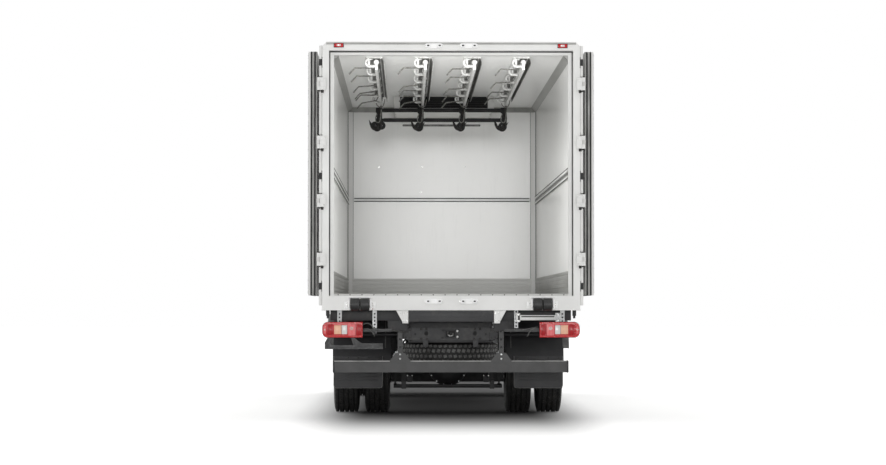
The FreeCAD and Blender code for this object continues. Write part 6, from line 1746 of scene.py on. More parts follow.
plate(gearbox, [
    (-0.17, 0.64), (0.17, 0.64), (0.205, 0.70), (0.205, 0.89), (0.15, 0.975), (-0.15, 0.975),
    (-0.205, 0.89), (-0.205, 0.70)], 2.15, 2.60, 1, 0.012)
for step in range(6):
    block(gearbox, (-0.208, 2.18 + step * 0.075, 0.70), (0.208, 2.19 + step * 0.075, 0.905), 0.002)
tube(gearbox, (0.0, 2.087, 0.736), (0.0, 2.155, 0.736), 0.080, 28, 0.10, 0.006)
tube(gearbox, (0.0, 2.13, 0.736), (0.0, 2.145, 0.736), 0.125, 28)
tube(gearbox, (0.10, 2.30, 0.965), (0.10, 2.30, 0.978), 0.040, 20)
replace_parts(piece("gearbox_casting", gearbox, alloy), "engine_block")
drive = bmesh.new()
for across, level, radius, back in (
    (0.0, 0.83, 0.095, 3.875), (0.0, 1.00, 0.075, 3.875), (-0.19, 1.03, 0.045, 3.875),
    (0.17, 1.10, 0.050, 3.875), (-0.12, 0.90, 0.035, 3.875),
):
    lathe(drive, [(0.0, radius), (0.008, radius), (0.012, radius - 0.008), (0.024, radius - 0.008),
        (0.028, radius), (0.036, radius), (0.036, 0.012), (0.0, 0.012)], (across, back, level), 1,
        32)
tube(drive, (-0.19, 3.70, 1.03), (-0.19, 3.875, 1.03), 0.070, 24, edge=0.008)
tube(drive, (0.17, 3.72, 1.10), (0.17, 3.875, 1.10), 0.062, 24, edge=0.008)
tube(drive, (0.0, 3.85, 1.00), (0.0, 3.925, 1.00), 0.020, 16)
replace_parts(piece("belt_drive", drive, alloy, angle=40), "engine_block")
belt = bmesh.new()
for here, after in (
    ((-0.088, 0.86), (-0.150, 0.895)), ((-0.235, 1.03), (-0.155, 0.90)),
    ((-0.19, 1.075), (0.0, 1.070)), ((0.0, 1.073), (0.17, 1.150)), ((0.220, 1.10), (0.094, 0.845)),
):
    tube(belt, (here[0], 3.893, here[1]), (after[0], 3.893, after[1]), 0.006, 8)
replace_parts(piece("drive_belt", belt, black_rubber), "engine_block")
fan = bmesh.new()
tube(fan, (0.0, 3.915, 1.0), (0.0, 3.95, 1.0), 0.075, 28, 0.065, 0.006)
for step in range(9):
    turn = math.radians(40 * step)
    slab(fan, Matrix.Translation((0.0, 3.935, 1.0)) @ Matrix.Rotation(turn, 4, "Y")
        @ Matrix.Translation((0.0, 0.0, 0.15)) @ Matrix.Rotation(math.radians(30), 4, "Z"),
        (0.062, 0.004, 0.190))
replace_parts(piece("cooling_fan", fan, black_plastic), "engine_block")
manifold = bmesh.new()
for step in range(4):
    along = 2.98 + step * 0.20
    pipe(manifold, [
        (0.265, along, 1.02), (0.290, along + 0.02, 1.01), (0.300, along + 0.05, 0.98)], 0.020, 10)
pipe(manifold, [(0.298, 2.95, 0.975), (0.300, 3.30, 0.972), (0.298, 3.66, 0.975)], 0.018, 10)
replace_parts(piece("exhaust_manifold", manifold, cast_iron, angle=45),
    "engine_block")
bolts("engine_cover_bolts", [
    (side * 0.15, 2.9 + 0.145 * step, 1.266) for side in (-1, 1) for step in range(7)
], 0.008, 0.01, 6, (0.0, 0.0, 1.0), steel)
bolts("bell_housing_bolts",
    [(0.228 * math.sin(math.radians(20 * step)), 2.782,
    0.8 + 0.228 * math.cos(math.radians(20 * step))) for step in range(18)], 0.009, 0.016, 6,
    (0.0, -1.0, 0.0), steel)
pipes = bmesh.new()
pipe(pipes, [(0.1, 3.8, 1.13), (0.16, 3.92, 1.14), (0.24, 4.02, 1.08), (0.26, 4.12, 1.0),
    (0.26, 4.15, 0.97)], 0.026, 14)
pipe(pipes, [
    (-0.16, 3.80, 0.80), (-0.20, 3.93, 0.77), (-0.25, 4.04, 0.76), (-0.25, 4.14, 0.76)], 0.026, 14)
piece("coolant_hoses", pipes, black_rubber, angle=60)
fins, tree, shader, place = start_finish("radiator_fins", 0.5, 0.6, "#55585a")
lines_of = add(tree, "ShaderNodeTexWave", {"Vector": place, "Scale": 60.0}, bands_direction="Z")
emboss(shader, lines_of.outputs["Fac"], 0.003, 0.7)
dress(fins, "radiator")
ends_of = bmesh.new()
for side in (-1, 1):
    block(ends_of, (side * 0.335, 4.132, 0.698), (side * 0.345, 4.222, 1.032), 0.002)
for level in (0.698, 1.000):
    block(ends_of, (-0.342, 4.131, level), (0.342, 4.223, level + 0.034), 0.006)
tube(ends_of, (0.10, 4.175, 1.03), (0.10, 4.175, 1.05), 0.032, 20, edge=0.003)
piece("radiator_tanks", ends_of, black_plastic)


# Propeller shaft: a painted steel tube with welded yokes and a universal joint at each end.

dress(chassis_paint, "propeller_shaft")
joints_of = bmesh.new()
for along, level in ((-1.66, 0.508), (2.05, 0.734)):
    tube(joints_of, (0.0, along - 0.012, level), (0.0, along + 0.012, level), 0.078, 28, edge=0.002)
    tube(joints_of, (-0.066, along + 0.05, level), (0.066, along + 0.05, level), 0.018, 16)
    tube(joints_of, (0.0, along + 0.05, level - 0.066), (0.0, along + 0.05, level + 0.066), 0.018,
        16)
    tube(joints_of, (0.0, along + 0.1, level + 0.006), (0.0, along + 0.112, level + 0.007), 0.06,
        28)
tube(joints_of, (0.0, 0.20, 0.616), (0.0, 0.26, 0.620), 0.085, 28, edge=0.008)
block(joints_of, (-0.20, 0.215, 0.69), (0.20, 0.245, 0.715), 0.004)
for side in (-1, 1):
    tube(joints_of, (side * 0.19, 0.23, 0.70), (side * 0.19, 0.23, 0.80), 0.010, 10)
piece("universal_joints", joints_of, cast_iron)
bolts("shaft_flange_bolts",
    [(0.064 * math.sin(math.radians(45 * step)), -1.648,
    0.508 + 0.064 * math.cos(math.radians(45 * step))) for step in range(8)], 0.008, 0.01, 6,
    (0.0, 1.0, 0.0), zinc)

# Fuel tank: brushed aluminium with rolled weld beads, two rubber-lined straps, a filler neck with
# a black cap, a sender plate and a pressed tread on the top edge.

tank_skin = cloudy("brushed_tank_aluminium", ("#bcbdbd", "#a3a4a4"), 260, 0.32, metallic=0.75,
    grain_mm=2, bump_mm=0.06, stretch=(1, 0.05, 1))[0]
dress(tank_skin, "fuel_tank")
section_of_tank = [
    (0.520, 0.560), (0.600, 0.480), (1.080, 0.480), (1.160, 0.560), (1.160, 0.920), (1.080, 1.000),
    (0.600, 1.000), (0.520, 0.920)]


def ring_round(shape, outline, low, high, proud, deep):
    """Add a band round an outline in the across and up plane, between two places along."""
    middle = Vector((sum(x for x, z in outline), sum(z for x, z in outline))) / len(outline)
    sizes = []
    for offset in (proud, -deep):
        sizes.append([
            middle + (Vector(spot) - middle) * (1 + offset / (Vector(spot) - middle).length)
            for spot in outline])
    rows = [
        [shape.verts.new((spot.x, along, spot.y)) for spot in sizes[which]]
        for which, along in ((0, low), (0, high), (1, high), (1, low))]
    for here, after in zip(rows, rows[1:] + rows[:1]):
        for step in range(len(outline)):
            other = (step + 1) % len(outline)
            shape.faces.new((here[step], here[other], after[other], after[step]))


beads = bmesh.new()
for along in (1.032, 2.078):
    ring_round(beads, section_of_tank, along, along + 0.010, 0.004, 0.004)
plate(beads, [(0.66, 0.5), (1.02, 0.5), (1.02, 0.505), (0.66, 0.505)], 1.04, 2.08, 1, 0.001)
piece("tank_weld_beads", beads, tank_skin)
straps = bmesh.new()
linings = bmesh.new()
for along in (1.205, 1.845):
    ring_round(linings, section_of_tank, along - 0.004, along + 0.064, 0.003, 0.002)
    ring_round(straps, section_of_tank, along, along + 0.060, 0.007, 0.001)
    tube(straps, (1.172, along + 0.030, 0.74), (1.172, along + 0.030, 0.82), 0.009, 10)
    block(straps, (1.160, along + 0.010, 0.725), (1.182, along + 0.050, 0.745), 0.002)
    block(straps, (1.160, along + 0.010, 0.815), (1.182, along + 0.050, 0.835), 0.002)
piece("tank_strap_linings", linings, black_rubber)
piece("tank_straps", straps, steel)
cap = bmesh.new()
spot = Vector((1.130, 1.42, 0.950))
out = Vector((1.0, 0.0, 1.0)).normalized()
tube(cap, spot - out * 0.010, spot + out * 0.030, 0.048, 28, edge=0.003)
tube(cap, spot + out * 0.030, spot + out * 0.052, 0.042, 12, 0.038, 0.004)
tube(cap, (0.75, 1.60, 1.0), (0.75, 1.60, 1.008), 0.062, 28, edge=0.002)
piece("tank_filler_cap", cap, black_plastic)
lines_of = bmesh.new()
for shift, radius in ((0.0, 0.006), (0.022, 0.005)):
    pipe(lines_of, [(0.75 - shift, 1.6, 1.008), (0.74 - shift, 1.6, 1.035),
        (0.66, 1.62 + shift, 1.045), (0.54, 1.66 + shift, 1.03), (0.47, 1.7 + shift, 0.98),
        (0.442, 1.74 + shift, 0.95)], radius, 8)
piece("fuel_lines", lines_of, black_rubber, angle=60)
bolts("tank_sender_screws",
    [(0.75 + 0.05 * math.cos(math.radians(60 * step)),
    1.6 + 0.05 * math.sin(math.radians(60 * step)), 1.008) for step in range(6)], 0.006, 0.004, 6,
    (0.0, 0.0, 1.0), steel)


# Battery box and air tanks: a black ribbed cover held by rubber latches, and two grey-black steel
# reservoirs with domed ends, weld seams, straps, drain valves and plastic air lines.

dress(black_plastic, "battery_box")
lid = bmesh.new()
block(lid, (-1.127, 1.328, 0.895), (-0.494, 1.992, 0.967), 0.012)
for step in range(9):
    block(lid, (-1.095 + step * 0.065, 1.36, 0.962), (-1.075 + step * 0.065, 1.96, 0.972), 0.003)
for step in range(7):
    along = 1.40 + step * 0.086
    block(lid, (-1.1265, along, 0.60), (-1.118, along + 0.020, 0.88), 0.003)
piece("battery_cover", lid, black_plastic)
latches = bmesh.new()
for along in (1.45, 1.84):
    block(latches, (-1.140, along, 0.84), (-1.126, along + 0.032, 0.945), 0.004)
    tube(latches, (-1.136, along - 0.008, 0.842), (-1.136, along + 0.040, 0.842), 0.010, 12)
piece("battery_latches", latches, black_rubber)
tank_paint = cloudy("satin_black_tank_paint", ("#27282a", "#1d1e20"), 150, 0.38, grain_mm=3,
    bump_mm=0.1)[0]
dress(tank_paint, "air_tanks")
seams = bmesh.new()
bands = bmesh.new()
valves = bmesh.new()
for across in (-0.640, -0.920):
    for along in (0.290, 1.080):
        lathe(seams, [
            (-0.006, 0.1245), (-0.002, 0.128), (0.004, 0.128), (0.006, 0.1245), (0.004, 0.120),
            (-0.004, 0.120)], (across, along, 0.700), 1, 48)
    for along in (0.41, 0.96):
        lathe(bands, [
            (-0.020, 0.1245), (-0.020, 0.1285), (0.020, 0.1285), (0.020, 0.1245)],
            (across, along, 0.700), 1, 48)
    tube(valves, (across, 0.685, 0.552), (across, 0.685, 0.578), 0.012, 6)
    tube(valves, (across, 0.685, 0.540), (across, 0.685, 0.552), 0.018, 16)
    for along, out in ((0.235, -1), (1.135, 1)):
        tube(valves, (across, along, 0.700), (across, along + out * 0.012, 0.700), 0.022, 6)
        tube(valves, (across, along + out * 0.012, 0.7), (across, along + out * 0.026, 0.7), 0.013,
            12)
piece("air_tank_seams", seams, tank_paint, angle=45)
piece("air_tank_bands", bands, zinc)
piece("air_tank_valves", valves, bright_cast)
air_lines = bmesh.new()
for across in (-0.640, -0.920):
    pipe(air_lines, [
        (across, 1.161, 0.700), (across, 1.20, 0.705), (across + 0.04, 1.225, 0.76),
        (across * 0.6 - 0.20, 1.225, 0.88), (-0.47, 1.21, 0.90), (-0.442, 1.17, 0.90)], 0.006, 8)
piece("air_lines", air_lines, black_rubber, angle=60)


# Side guards: anodised rails with a rib along the middle and black end caps, bolted to
# galvanised posts that hang from the body.

guard_metal = cloudy("anodised_guard_rail", ("#c6c7c7", "#b2b3b3"), 300, 0.36, metallic=0.6,
    grain_mm=2, bump_mm=0.06, stretch=(1, 0.05, 1))[0]
dress(guard_metal, "side_guards")
guard_bolts = {-1: [], 1: []}
ribs = bmesh.new()
ends_of = bmesh.new()
posts = bmesh.new()
for side in (-1, 1):
    for low in (0.430, 0.700):
        for level in (0.012, 0.046, 0.080):
            block(ribs, (side * 1.2095, -1.4, low + level),
                (side * 1.2125, 0.92, low + level + 0.008), 0.001)
        for along in (-1.419, 0.931):
            block(ends_of, (side * 1.176, along, low - 0.003),
                (side * 1.214, along + 0.008, low + 0.103), 0.002)
        for along in (-1.2425, 0.7575):
            guard_bolts[side] += [(side * 1.2095, along, low + level) for level in (0.034, 0.066)]
    for along in (-1.268, 0.732):
        block(posts, (side * 1.147, along - 0.012, 0.425), (side * 1.153, along + 0.062, 1.095),
            0.002)
piece("side_guard_ribs", ribs, guard_metal)
piece("side_guard_caps", ends_of, black_plastic)
piece("side_guard_posts", posts, zinc)
for side, hand in hands:
    bolts(f"side_guard_bolts_{hand}", guard_bolts[side], 0.009, 0.006, 20, (side, 0.0, 0.0), zinc)

# Cab shell: white enamelled steel panels with clean seams, sealed glass, black trims and plastic
# lower parts. The seams between the panels are shadow lines with a rubber fillet.

cab_enamel, tree, shader, paint = cloudy(
    "white_cab_enamel", ("#f1f1f0", "#e9e9e8"), 500, 0.22, grain_mm=2, bump_mm=0.02)
give(shader, {"Coat Weight": 0.6, "Coat Roughness": 0.08})
dress(cab_enamel, "cab_walls", "cab_front", "cab_roof", "cab_door_left", "cab_door_right")
dress(cab_enamel, "front_bumper", "refrigeration_unit")
bumper_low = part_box("front_bumper")[0]
air_lip = bmesh.new()
block(air_lip, (-0.98, 4.440, 0.145), (0.98, 4.449, bumper_low.z + 0.030), 0.003)
piece("bumper_air_lip", air_lip, black_rubber)
dress(chassis_paint, "cab_floor")
dress(black_plastic, "cab_steps", "grille")
glass, tree, shader, place = start_finish("tinted_safety_glass", 0.03, code="#b9c6c2")
give(shader, {"Transmission Weight": 0.9, "IOR": 1.45})
dust = add(tree, "ShaderNodeTexNoise", {"Vector": place, "Scale": 6.0, "Detail": 6.0})
film = ramp(tree, dust.outputs["Fac"], 0.45, 0.8, 0.02, 0.09)
give(shader, {"Roughness": film})
dress(glass, "windscreen", "door_glass_left", "door_glass_right")


def border(shape, corners, wide, low, high):
    """Add a mitred frame inside a flat polygon, from low to high along the polygon's normal."""
    corners = [Vector(corner) for corner in corners]
    count = len(corners)
    normal = Vector()
    for step in range(count):
        normal += corners[step].cross(corners[(step + 1) % count])
    normal.normalize()
    inner = []
    for step in range(count):
        before = (corners[step] - corners[step - 1]).normalized()
        after = (corners[(step + 1) % count] - corners[step]).normalized()
        inward = normal.cross(before) + normal.cross(after)
        inner.append(corners[step] + inward * wide / max(0.3, inward.length_squared / 2))
    rows = [
        [shape.verts.new(spot + normal * offset) for spot in ring]
        for ring, offset in ((corners, low), (corners, high), (inner, high), (inner, low))]
    for here, after in zip(rows, rows[1:] + rows[:1]):
        for step in range(count):
            other = (step + 1) % count
            shape.faces.new((here[step], here[other], after[other], after[step]))


def screen_y(level, proud=0.0):
    """The Y of the sloping front face of the cab above its knee."""
    return 4.570 + proud - (level - 1.76) * 0.26875


seals = bmesh.new()
screen_edge = [
    (-1.036, screen_y(1.784), 1.784), (1.036, screen_y(1.784), 1.784),
    (1.036, screen_y(2.526), 2.526), (-1.036, screen_y(2.526), 2.526)]
border(seals, screen_edge, 0.030, -0.006, 0.004)
piece("windscreen_seal", seals, black_rubber, "cab")
frit = bmesh.new()
border(frit, [
    (-1.018, screen_y(1.802, -0.0115), 1.802), (1.018, screen_y(1.802, -0.0115), 1.802),
    (1.018, screen_y(2.508, -0.0115), 2.508), (-1.018, screen_y(2.508, -0.0115), 2.508)],
    0.045, 0.0004, 0.0012)
piece("windscreen_black_edge", frit, black_plastic, "cab")
cowl = bmesh.new()
for step in range(5):
    level = 1.712 + step * 0.0135
    block(cowl, (-0.93, 4.5705 + (1.76 - level) * 0.096, level),
          (0.93, 4.5765 + (1.76 - level) * 0.096, level + 0.008), 0.002)
for side in (-1, 0, 1):
    block(cowl, (side * 0.915 - 0.012, 4.569, 1.706), (side * 0.915 + 0.012, 4.5815, 1.778), 0.003)
piece("cowl_grille", cowl, black_plastic, "cab")
arms = bmesh.new()
blades = bmesh.new()
for foot, head, tip in ((-0.66, -0.38, 0.02), (0.06, 0.34, 0.74)):
    tube(arms, (foot, 4.572, 1.768), (foot, 4.592, 1.770), 0.020, 20, edge=0.003)
    tube(arms, (foot, 4.588, 1.770), (head, screen_y(1.856, 0.024), 1.856), 0.007, 8)
    left, right = (foot + 0.02, screen_y(1.824, 0.014), 1.824), (tip, screen_y(1.882, 0.014), 1.882)
    tube(blades, left, right, 0.0065, 8)
    tube(blades, (left[0], left[1] - 0.008, left[2] - 0.004),
        (right[0], right[1] - 0.008, right[2] - 0.004), 0.0035, 6)
    tube(arms, (head - 0.12, screen_y(1.85, 0.02), 1.846),
        (head + 0.12, screen_y(1.88, 0.02), 1.864), 0.005, 8)
piece("wiper_arms", arms, dark_steel, "cab")
piece("wiper_blades", blades, black_rubber, "cab")
trims = bmesh.new()
border(trims, [(-0.748, 4.595, 1.162), (0.748, 4.595, 1.162), (0.748, 4.595, 1.498),
    (-0.748, 4.595, 1.498)], 0.029, -0.004, 0.006)
piece("grille_frame", trims, black_plastic, "cab")
strips = bmesh.new()
for step in range(6):
    block(strips, (-0.718, 4.5895, 1.211 + step * 0.046), (0.718, 4.5925, 1.215 + step * 0.046),
        0.0008)
piece("grille_bright_lines", strips, mill_aluminium, "cab")
gaps_of = bmesh.new()
flap = [(-1.06, 4.5952, 1.518), (1.06, 4.5952, 1.518), (1.06, 4.574, 1.722), (-1.06, 4.574, 1.722)]
border(gaps_of, flap, 0.005, -0.001, 0.0008)
for side in (-1, 1):
    for low, high in (((2.7865, 2.6165), (4.190, 2.6235)), ((3.30, 1.1155), (3.4575, 1.1225))):
        block(gaps_of, (side * 1.1495, low[0], low[1]), (side * 1.1508, high[0], high[1]), 0.0004)
    block(gaps_of, (side * 1.1495, 3.3, 1.12), (side * 1.1508, 3.305, 2.618), 0.0004)
piece("cab_seams", gaps_of, shadow_gap, "cab")
handles = bmesh.new()
for side in (-1, 1):
    pipe(handles, [
        (side * 1.085, 4.590, 1.58), (side * 1.085, 4.612, 1.58), (side * 1.085, 4.612, 1.64),
        (side * 1.085, 4.606, 1.72), (side * 1.085, 4.580, 1.74)], 0.010, 10)
    pipe(handles, [(side * 1.148, 3.385, 1.4), (side * 1.19, 3.385, 1.41),
        (side * 1.192, 3.385, 1.6), (side * 1.192, 3.385, 1.95), (side * 1.19, 3.385, 2.12),
        (side * 1.148, 3.385, 2.13)], 0.013, 12)
piece("cab_grab_handles", handles, black_plastic, "cab", 60)
repeaters = bmesh.new()
for side in (-1, 1):
    block(repeaters, (side * 1.149, 4.46, 1.33), (side * 1.16, 4.535, 1.375), 0.008)
for across in (-0.80, -0.40, 0.0, 0.40, 0.80):
    block(repeaters, (across - 0.055, 4.222, 2.722), (across + 0.055, 4.262, 2.742), 0.010)
piece("cab_marker_lamps", repeaters, amber_lens, "cab")
roof_parts = bmesh.new()
for step in range(7):
    across = -0.75 + step * 0.25
    if abs(across) > 0.3:
        block(roof_parts, (across - 0.022, 2.86, 2.796), (across + 0.022, 3.62, 2.8235), 0.006)
block(roof_parts, (-0.29, 2.98, 2.796), (0.29, 3.52, 2.828), 0.010)
block(roof_parts, (-0.25, 3.02, 2.825), (0.25, 3.48, 2.848), 0.012)
piece("cab_roof_hatch", roof_parts, cab_enamel, "cab")
visor_finish, tree, shader, place = start_finish("smoked_acrylic", 0.12, code="#2a2c2e")
give(shader, {"Transmission Weight": 0.35})
grain = add(tree, "ShaderNodeTexNoise", {"Vector": place, "Scale": 300.0})
emboss(shader, grain.outputs["Fac"], 0.0003, 0.3)
visor = bmesh.new()
plate(visor, [
    (4.330, 2.655), (4.420, 2.600), (4.470, 2.520), (4.476, 2.524), (4.426, 2.606), (4.334, 2.662)],
    -1.00, 1.00, 0, 0.002)
for across in (-0.9, -0.3, 0.3, 0.9):
    tube(visor, (across, 4.300, 2.640), (across, 4.395, 2.620), 0.007, 8)
piece("sun_visor", visor, visor_finish, "cab")


# Cab doors: a pressed panel with a recessed lever handle and lock, a black sash round the glass,
# a waist seal, a lower rubbing strip, and inside a moulded card with armrest, lever and pocket.

card_finish = cloudy("grained_grey_plastic", ("#6b6d70", "#616366"), 120, 0.6, grain_mm=0.9,
    bump_mm=0.25)[0]
dark_trim = cloudy("grained_charcoal_plastic", ("#2b2d30", "#232527"), 120, 0.62, grain_mm=0.9,
    bump_mm=0.3)[0]


def on_door(side, x, spots):
    """The spots on a door plane, in the order that faces outwards."""
    return [(x, along, level) for along, level in (spots if side > 0 else spots[::-1])]


for side, hand in hands:
    body = f"cab_door_{hand}_leaf"
    skin = side * 1.150
    window = [(3.545, 1.820), (4.3175, 1.820), (4.1225, 2.539), (3.545, 2.539)]
    sash = bmesh.new()
    border(sash, on_door(side, skin, window), 0.022, -0.020, 0.0035)
    inner_sash = [(3.5525, 1.8275), (4.3075, 1.8275), (4.117, 2.5305), (3.5525, 2.5305)]
    border(sash, on_door(side, side * 1.118, inner_sash), 0.014, -0.022, 0.004)
    block(sash, (skin, 3.478, 1.8), (skin + side * 0.006, 4.398, 1.819), 0.002)
    piece(f"door_window_seal_{hand}", sash, black_rubber, body)
    seam = bmesh.new()
    border(seam, on_door(side, skin, [(3.476, 1.134), (4.404, 1.134), (4.404, 1.79), (4.204, 2.587),
        (3.476, 2.587)]), 0.01, -0.001, 0.0006)
    piece(f"door_edge_fold_{hand}", seam, cab_enamel, body)
    rub = bmesh.new()
    block(rub, (skin, 3.485, 1.262), (skin + side * 0.008, 4.395, 1.3), 0.004)
    block(rub, (skin, 3.52, 1.585), (skin + side * 0.008, 3.7, 1.665), 0.01)
    piece(f"door_rubbing_strip_{hand}", rub, black_plastic, body)
    lever = bmesh.new()
    block(lever, (skin + side * 0.007, 3.535, 1.615), (skin + side * 0.024, 3.668, 1.64), 0.007)
    tube(lever, (skin, 3.560, 1.560), (skin + side * 0.010, 3.560, 1.560), 0.013, 20, edge=0.002)
    piece(f"door_handle_{hand}", lever, dark_steel, body)
    inside = side * 1.095
    card = bmesh.new()
    plate(card, [(3.5, 1.15), (4.385, 1.15), (4.385, 1.775), (4.375, 1.8), (3.5, 1.8)], inside,
        inside - side * 0.012, 0, 0.005)
    block(card, (inside - side * 0.01, 3.62, 1.15), (inside - side * 0.06, 4.22, 1.3), 0.012)
    block(card, (inside - side * 0.01, 3.6, 1.5), (inside - side * 0.06, 4.05, 1.545), 0.014)
    block(card, (inside - side * 0.01, 3.55, 1.6), (inside - side * 0.02, 4.32, 1.76), 0.008)
    piece(f"door_card_{hand}", card, card_finish, body)
    pull = bmesh.new()
    pipe(pull, [
        (inside - side * 0.012, 4.10, 1.56), (inside - side * 0.045, 4.10, 1.57),
        (inside - side * 0.050, 4.14, 1.65), (inside - side * 0.045, 4.20, 1.72),
        (inside - side * 0.012, 4.22, 1.73)], 0.010, 10)
    block(pull, (inside - side * 0.018, 3.8, 1.655), (inside - side * 0.032, 3.9, 1.685), 0.006)
    tube(pull, (inside - side * 0.012, 3.75, 1.42), (inside - side * 0.022, 3.75, 1.42), 0.075, 32,
        0.07, 0.003)
    piece(f"door_pull_{hand}", pull, dark_trim, body, 45)


# Bumper, head lamps and steps: a painted steel bumper with a barred air inlet, clear lamps over
# bright bowls, a blank white number plate, tow-eye covers and aluminium tread plates.

bars = bmesh.new()
for step in range(4):
    block(bars, (-0.618, 4.560, 0.655 + step * 0.032), (0.618, 4.600, 0.667 + step * 0.032), 0.003)
for step in range(7):
    block(bars, (-0.603 + step * 0.2, 4.566, 0.645), (-0.597 + step * 0.2, 4.592, 0.775), 0.002)
piece("air_inlet_bars", bars, black_plastic)
trims = bmesh.new()
bumper_face = 4.615
border(trims, [(-0.636, bumper_face, 0.624), (0.636, bumper_face, 0.624),
    (0.636, bumper_face, 0.796), (-0.636, bumper_face, 0.796)], 0.016, -0.004, 0.004)
for side in (-1, 1):
    left, right = sorted((side * 0.792, side * 1.048))
    border(trims, [(left, bumper_face, 0.612), (right, bumper_face, 0.612),
        (right, bumper_face, 0.798), (left, bumper_face, 0.798)], 0.01, -0.004, 0.003)
    left, right = sorted((side * 0.78, side * 0.98))
    border(trims, [(left, bumper_face, 0.44), (right, bumper_face, 0.44),
        (right, bumper_face, 0.54), (left, bumper_face, 0.54)], 0.014, -0.004, 0.005)
    block(trims, (left + 0.006, 4.6135, 0.446), (right - 0.006, 4.6155, 0.534), 0.0005)
    tube(trims, (side * 0.38, 4.612, 0.400), (side * 0.38, 4.6175, 0.400), 0.034, 28, edge=0.001)
block(trims, (-0.60, 4.612, 0.856), (0.60, 4.6235, 0.890), 0.006)
piece("bumper_trims", trims, black_plastic)
holder = bmesh.new()
block(holder, (-0.270, 4.6130, 0.480), (0.270, 4.6185, 0.602), 0.003)
piece("number_plate_holder", holder, black_plastic)
blank = bmesh.new()
block(blank, (-0.260, 4.6180, 0.486), (0.260, 4.6200, 0.596), 0.0015)
piece("blank_number_plate", blank, frame_paint)
mirror_bowl, tree, shader, place = start_finish("vacuum_plated_bowl", 0.12, 1.0, "#dfe1e3")
flutes = add(tree, "ShaderNodeTexWave", {"Vector": place, "Scale": 28.0}, bands_direction="X")
emboss(shader, flutes.outputs["Fac"], 0.002, 0.5)
bowls = bmesh.new()
bulbs = bmesh.new()
turners = bmesh.new()
lamp_glass, tree, shader, place = start_finish("head_lamp_cover", 0.04, code="#f4f6f8")
give(shader, {"Transmission Weight": 0.92, "IOR": 1.3})
flutes = add(tree, "ShaderNodeTexWave", {"Vector": place, "Scale": 20.0}, bands_direction="X")
emboss(shader, flutes.outputs["Fac"], 0.0006, 0.3)
dress(black_plastic, "front_lamps")
covers = bmesh.new()
for side in (-1, 1):
    for across in (0.868, 0.972):
        rows = [(0.0, 0.048), (0.0045, 0.052), (0.0075, 0.052), (0.0075, 0.046), (0.004, 0.034),
            (0.0015, 0.016), (0.001, 0.002), (0.0, 0.002)]
        lathe(bowls, rows, (side * across, 4.6125, 0.722), 1, 40)
        tube(bulbs, (side * across, 4.613, 0.722), (side * across, 4.6185, 0.722), 0.013, 20,
            0.009, 0.001)
    block(turners, (side * 0.826, 4.6125, 0.632), (side * 1.014, 4.617, 0.66), 0.003)
    block(covers, (side * 0.803, 4.6195, 0.623), (side * 1.037, 4.6225, 0.787), 0.0012)
    tube(bulbs, (side * 0.88, 4.612, 0.490), (side * 0.88, 4.6185, 0.490), 0.033, 28, 0.030, 0.001)
piece("head_lamp_bowls", bowls, mirror_bowl, angle=45)
piece("head_lamp_bulbs", bulbs, clear_lens)
piece("front_indicators", turners, amber_lens)
piece("head_lamp_covers", covers, lamp_glass)
tread = bmesh.new()
studs = []
for side in (-1, 1):
    for level in (0.420, 0.700):
        block(tread, (side * 0.945, 3.925, level - 0.001), (side * 1.138, 4.383, level + 0.004),
            0.0015)
        block(tread, (side * 1.1335, 3.925, level - 0.018), (side * 1.1425, 4.383, level + 0.005),
            0.0015)
        studs += [
            (side * (0.972 + 0.034 * across), 3.955 + 0.038 * step, level + 0.0035)
            for across in range(5) for step in range(11)]
piece("step_tread_plates", tread, mill_aluminium)
bolts("step_tread_studs", studs, 0.008, 0.003, 8, (0.0, 0.0, 1.0), mill_aluminium)

# Seats: padded cushions in a woven grey cloth with sewn channels and piping, on a bellows
# suspension base with slides. Each pad is inflated as cloth, then its seams are drawn in.

weave, tree, shader, place = start_finish("woven_grey_cloth", 0.85, code="#4a4d52")
threads = add(tree, "ShaderNodeTexChecker", {"Vector": place, "Scale": 420.0})
mottle = add(tree, "ShaderNodeTexNoise", {"Vector": place, "Scale": 30.0, "Detail": 6.0})
tone = blend(tree, mottle.outputs["Fac"], linear("#3d4045"), linear("#5d6167"))
crossed = add(tree, "ShaderNodeMix", {0: 0.22, 6: tone, 7: threads.outputs["Color"]},
    data_type="RGBA", blend_type="MULTIPLY")
give(shader, {"Base Color": crossed.outputs[2]})
emboss(shader, threads.outputs["Fac"], 0.0006, 0.6)
give(shader, {"Sheen Weight": 0.35})


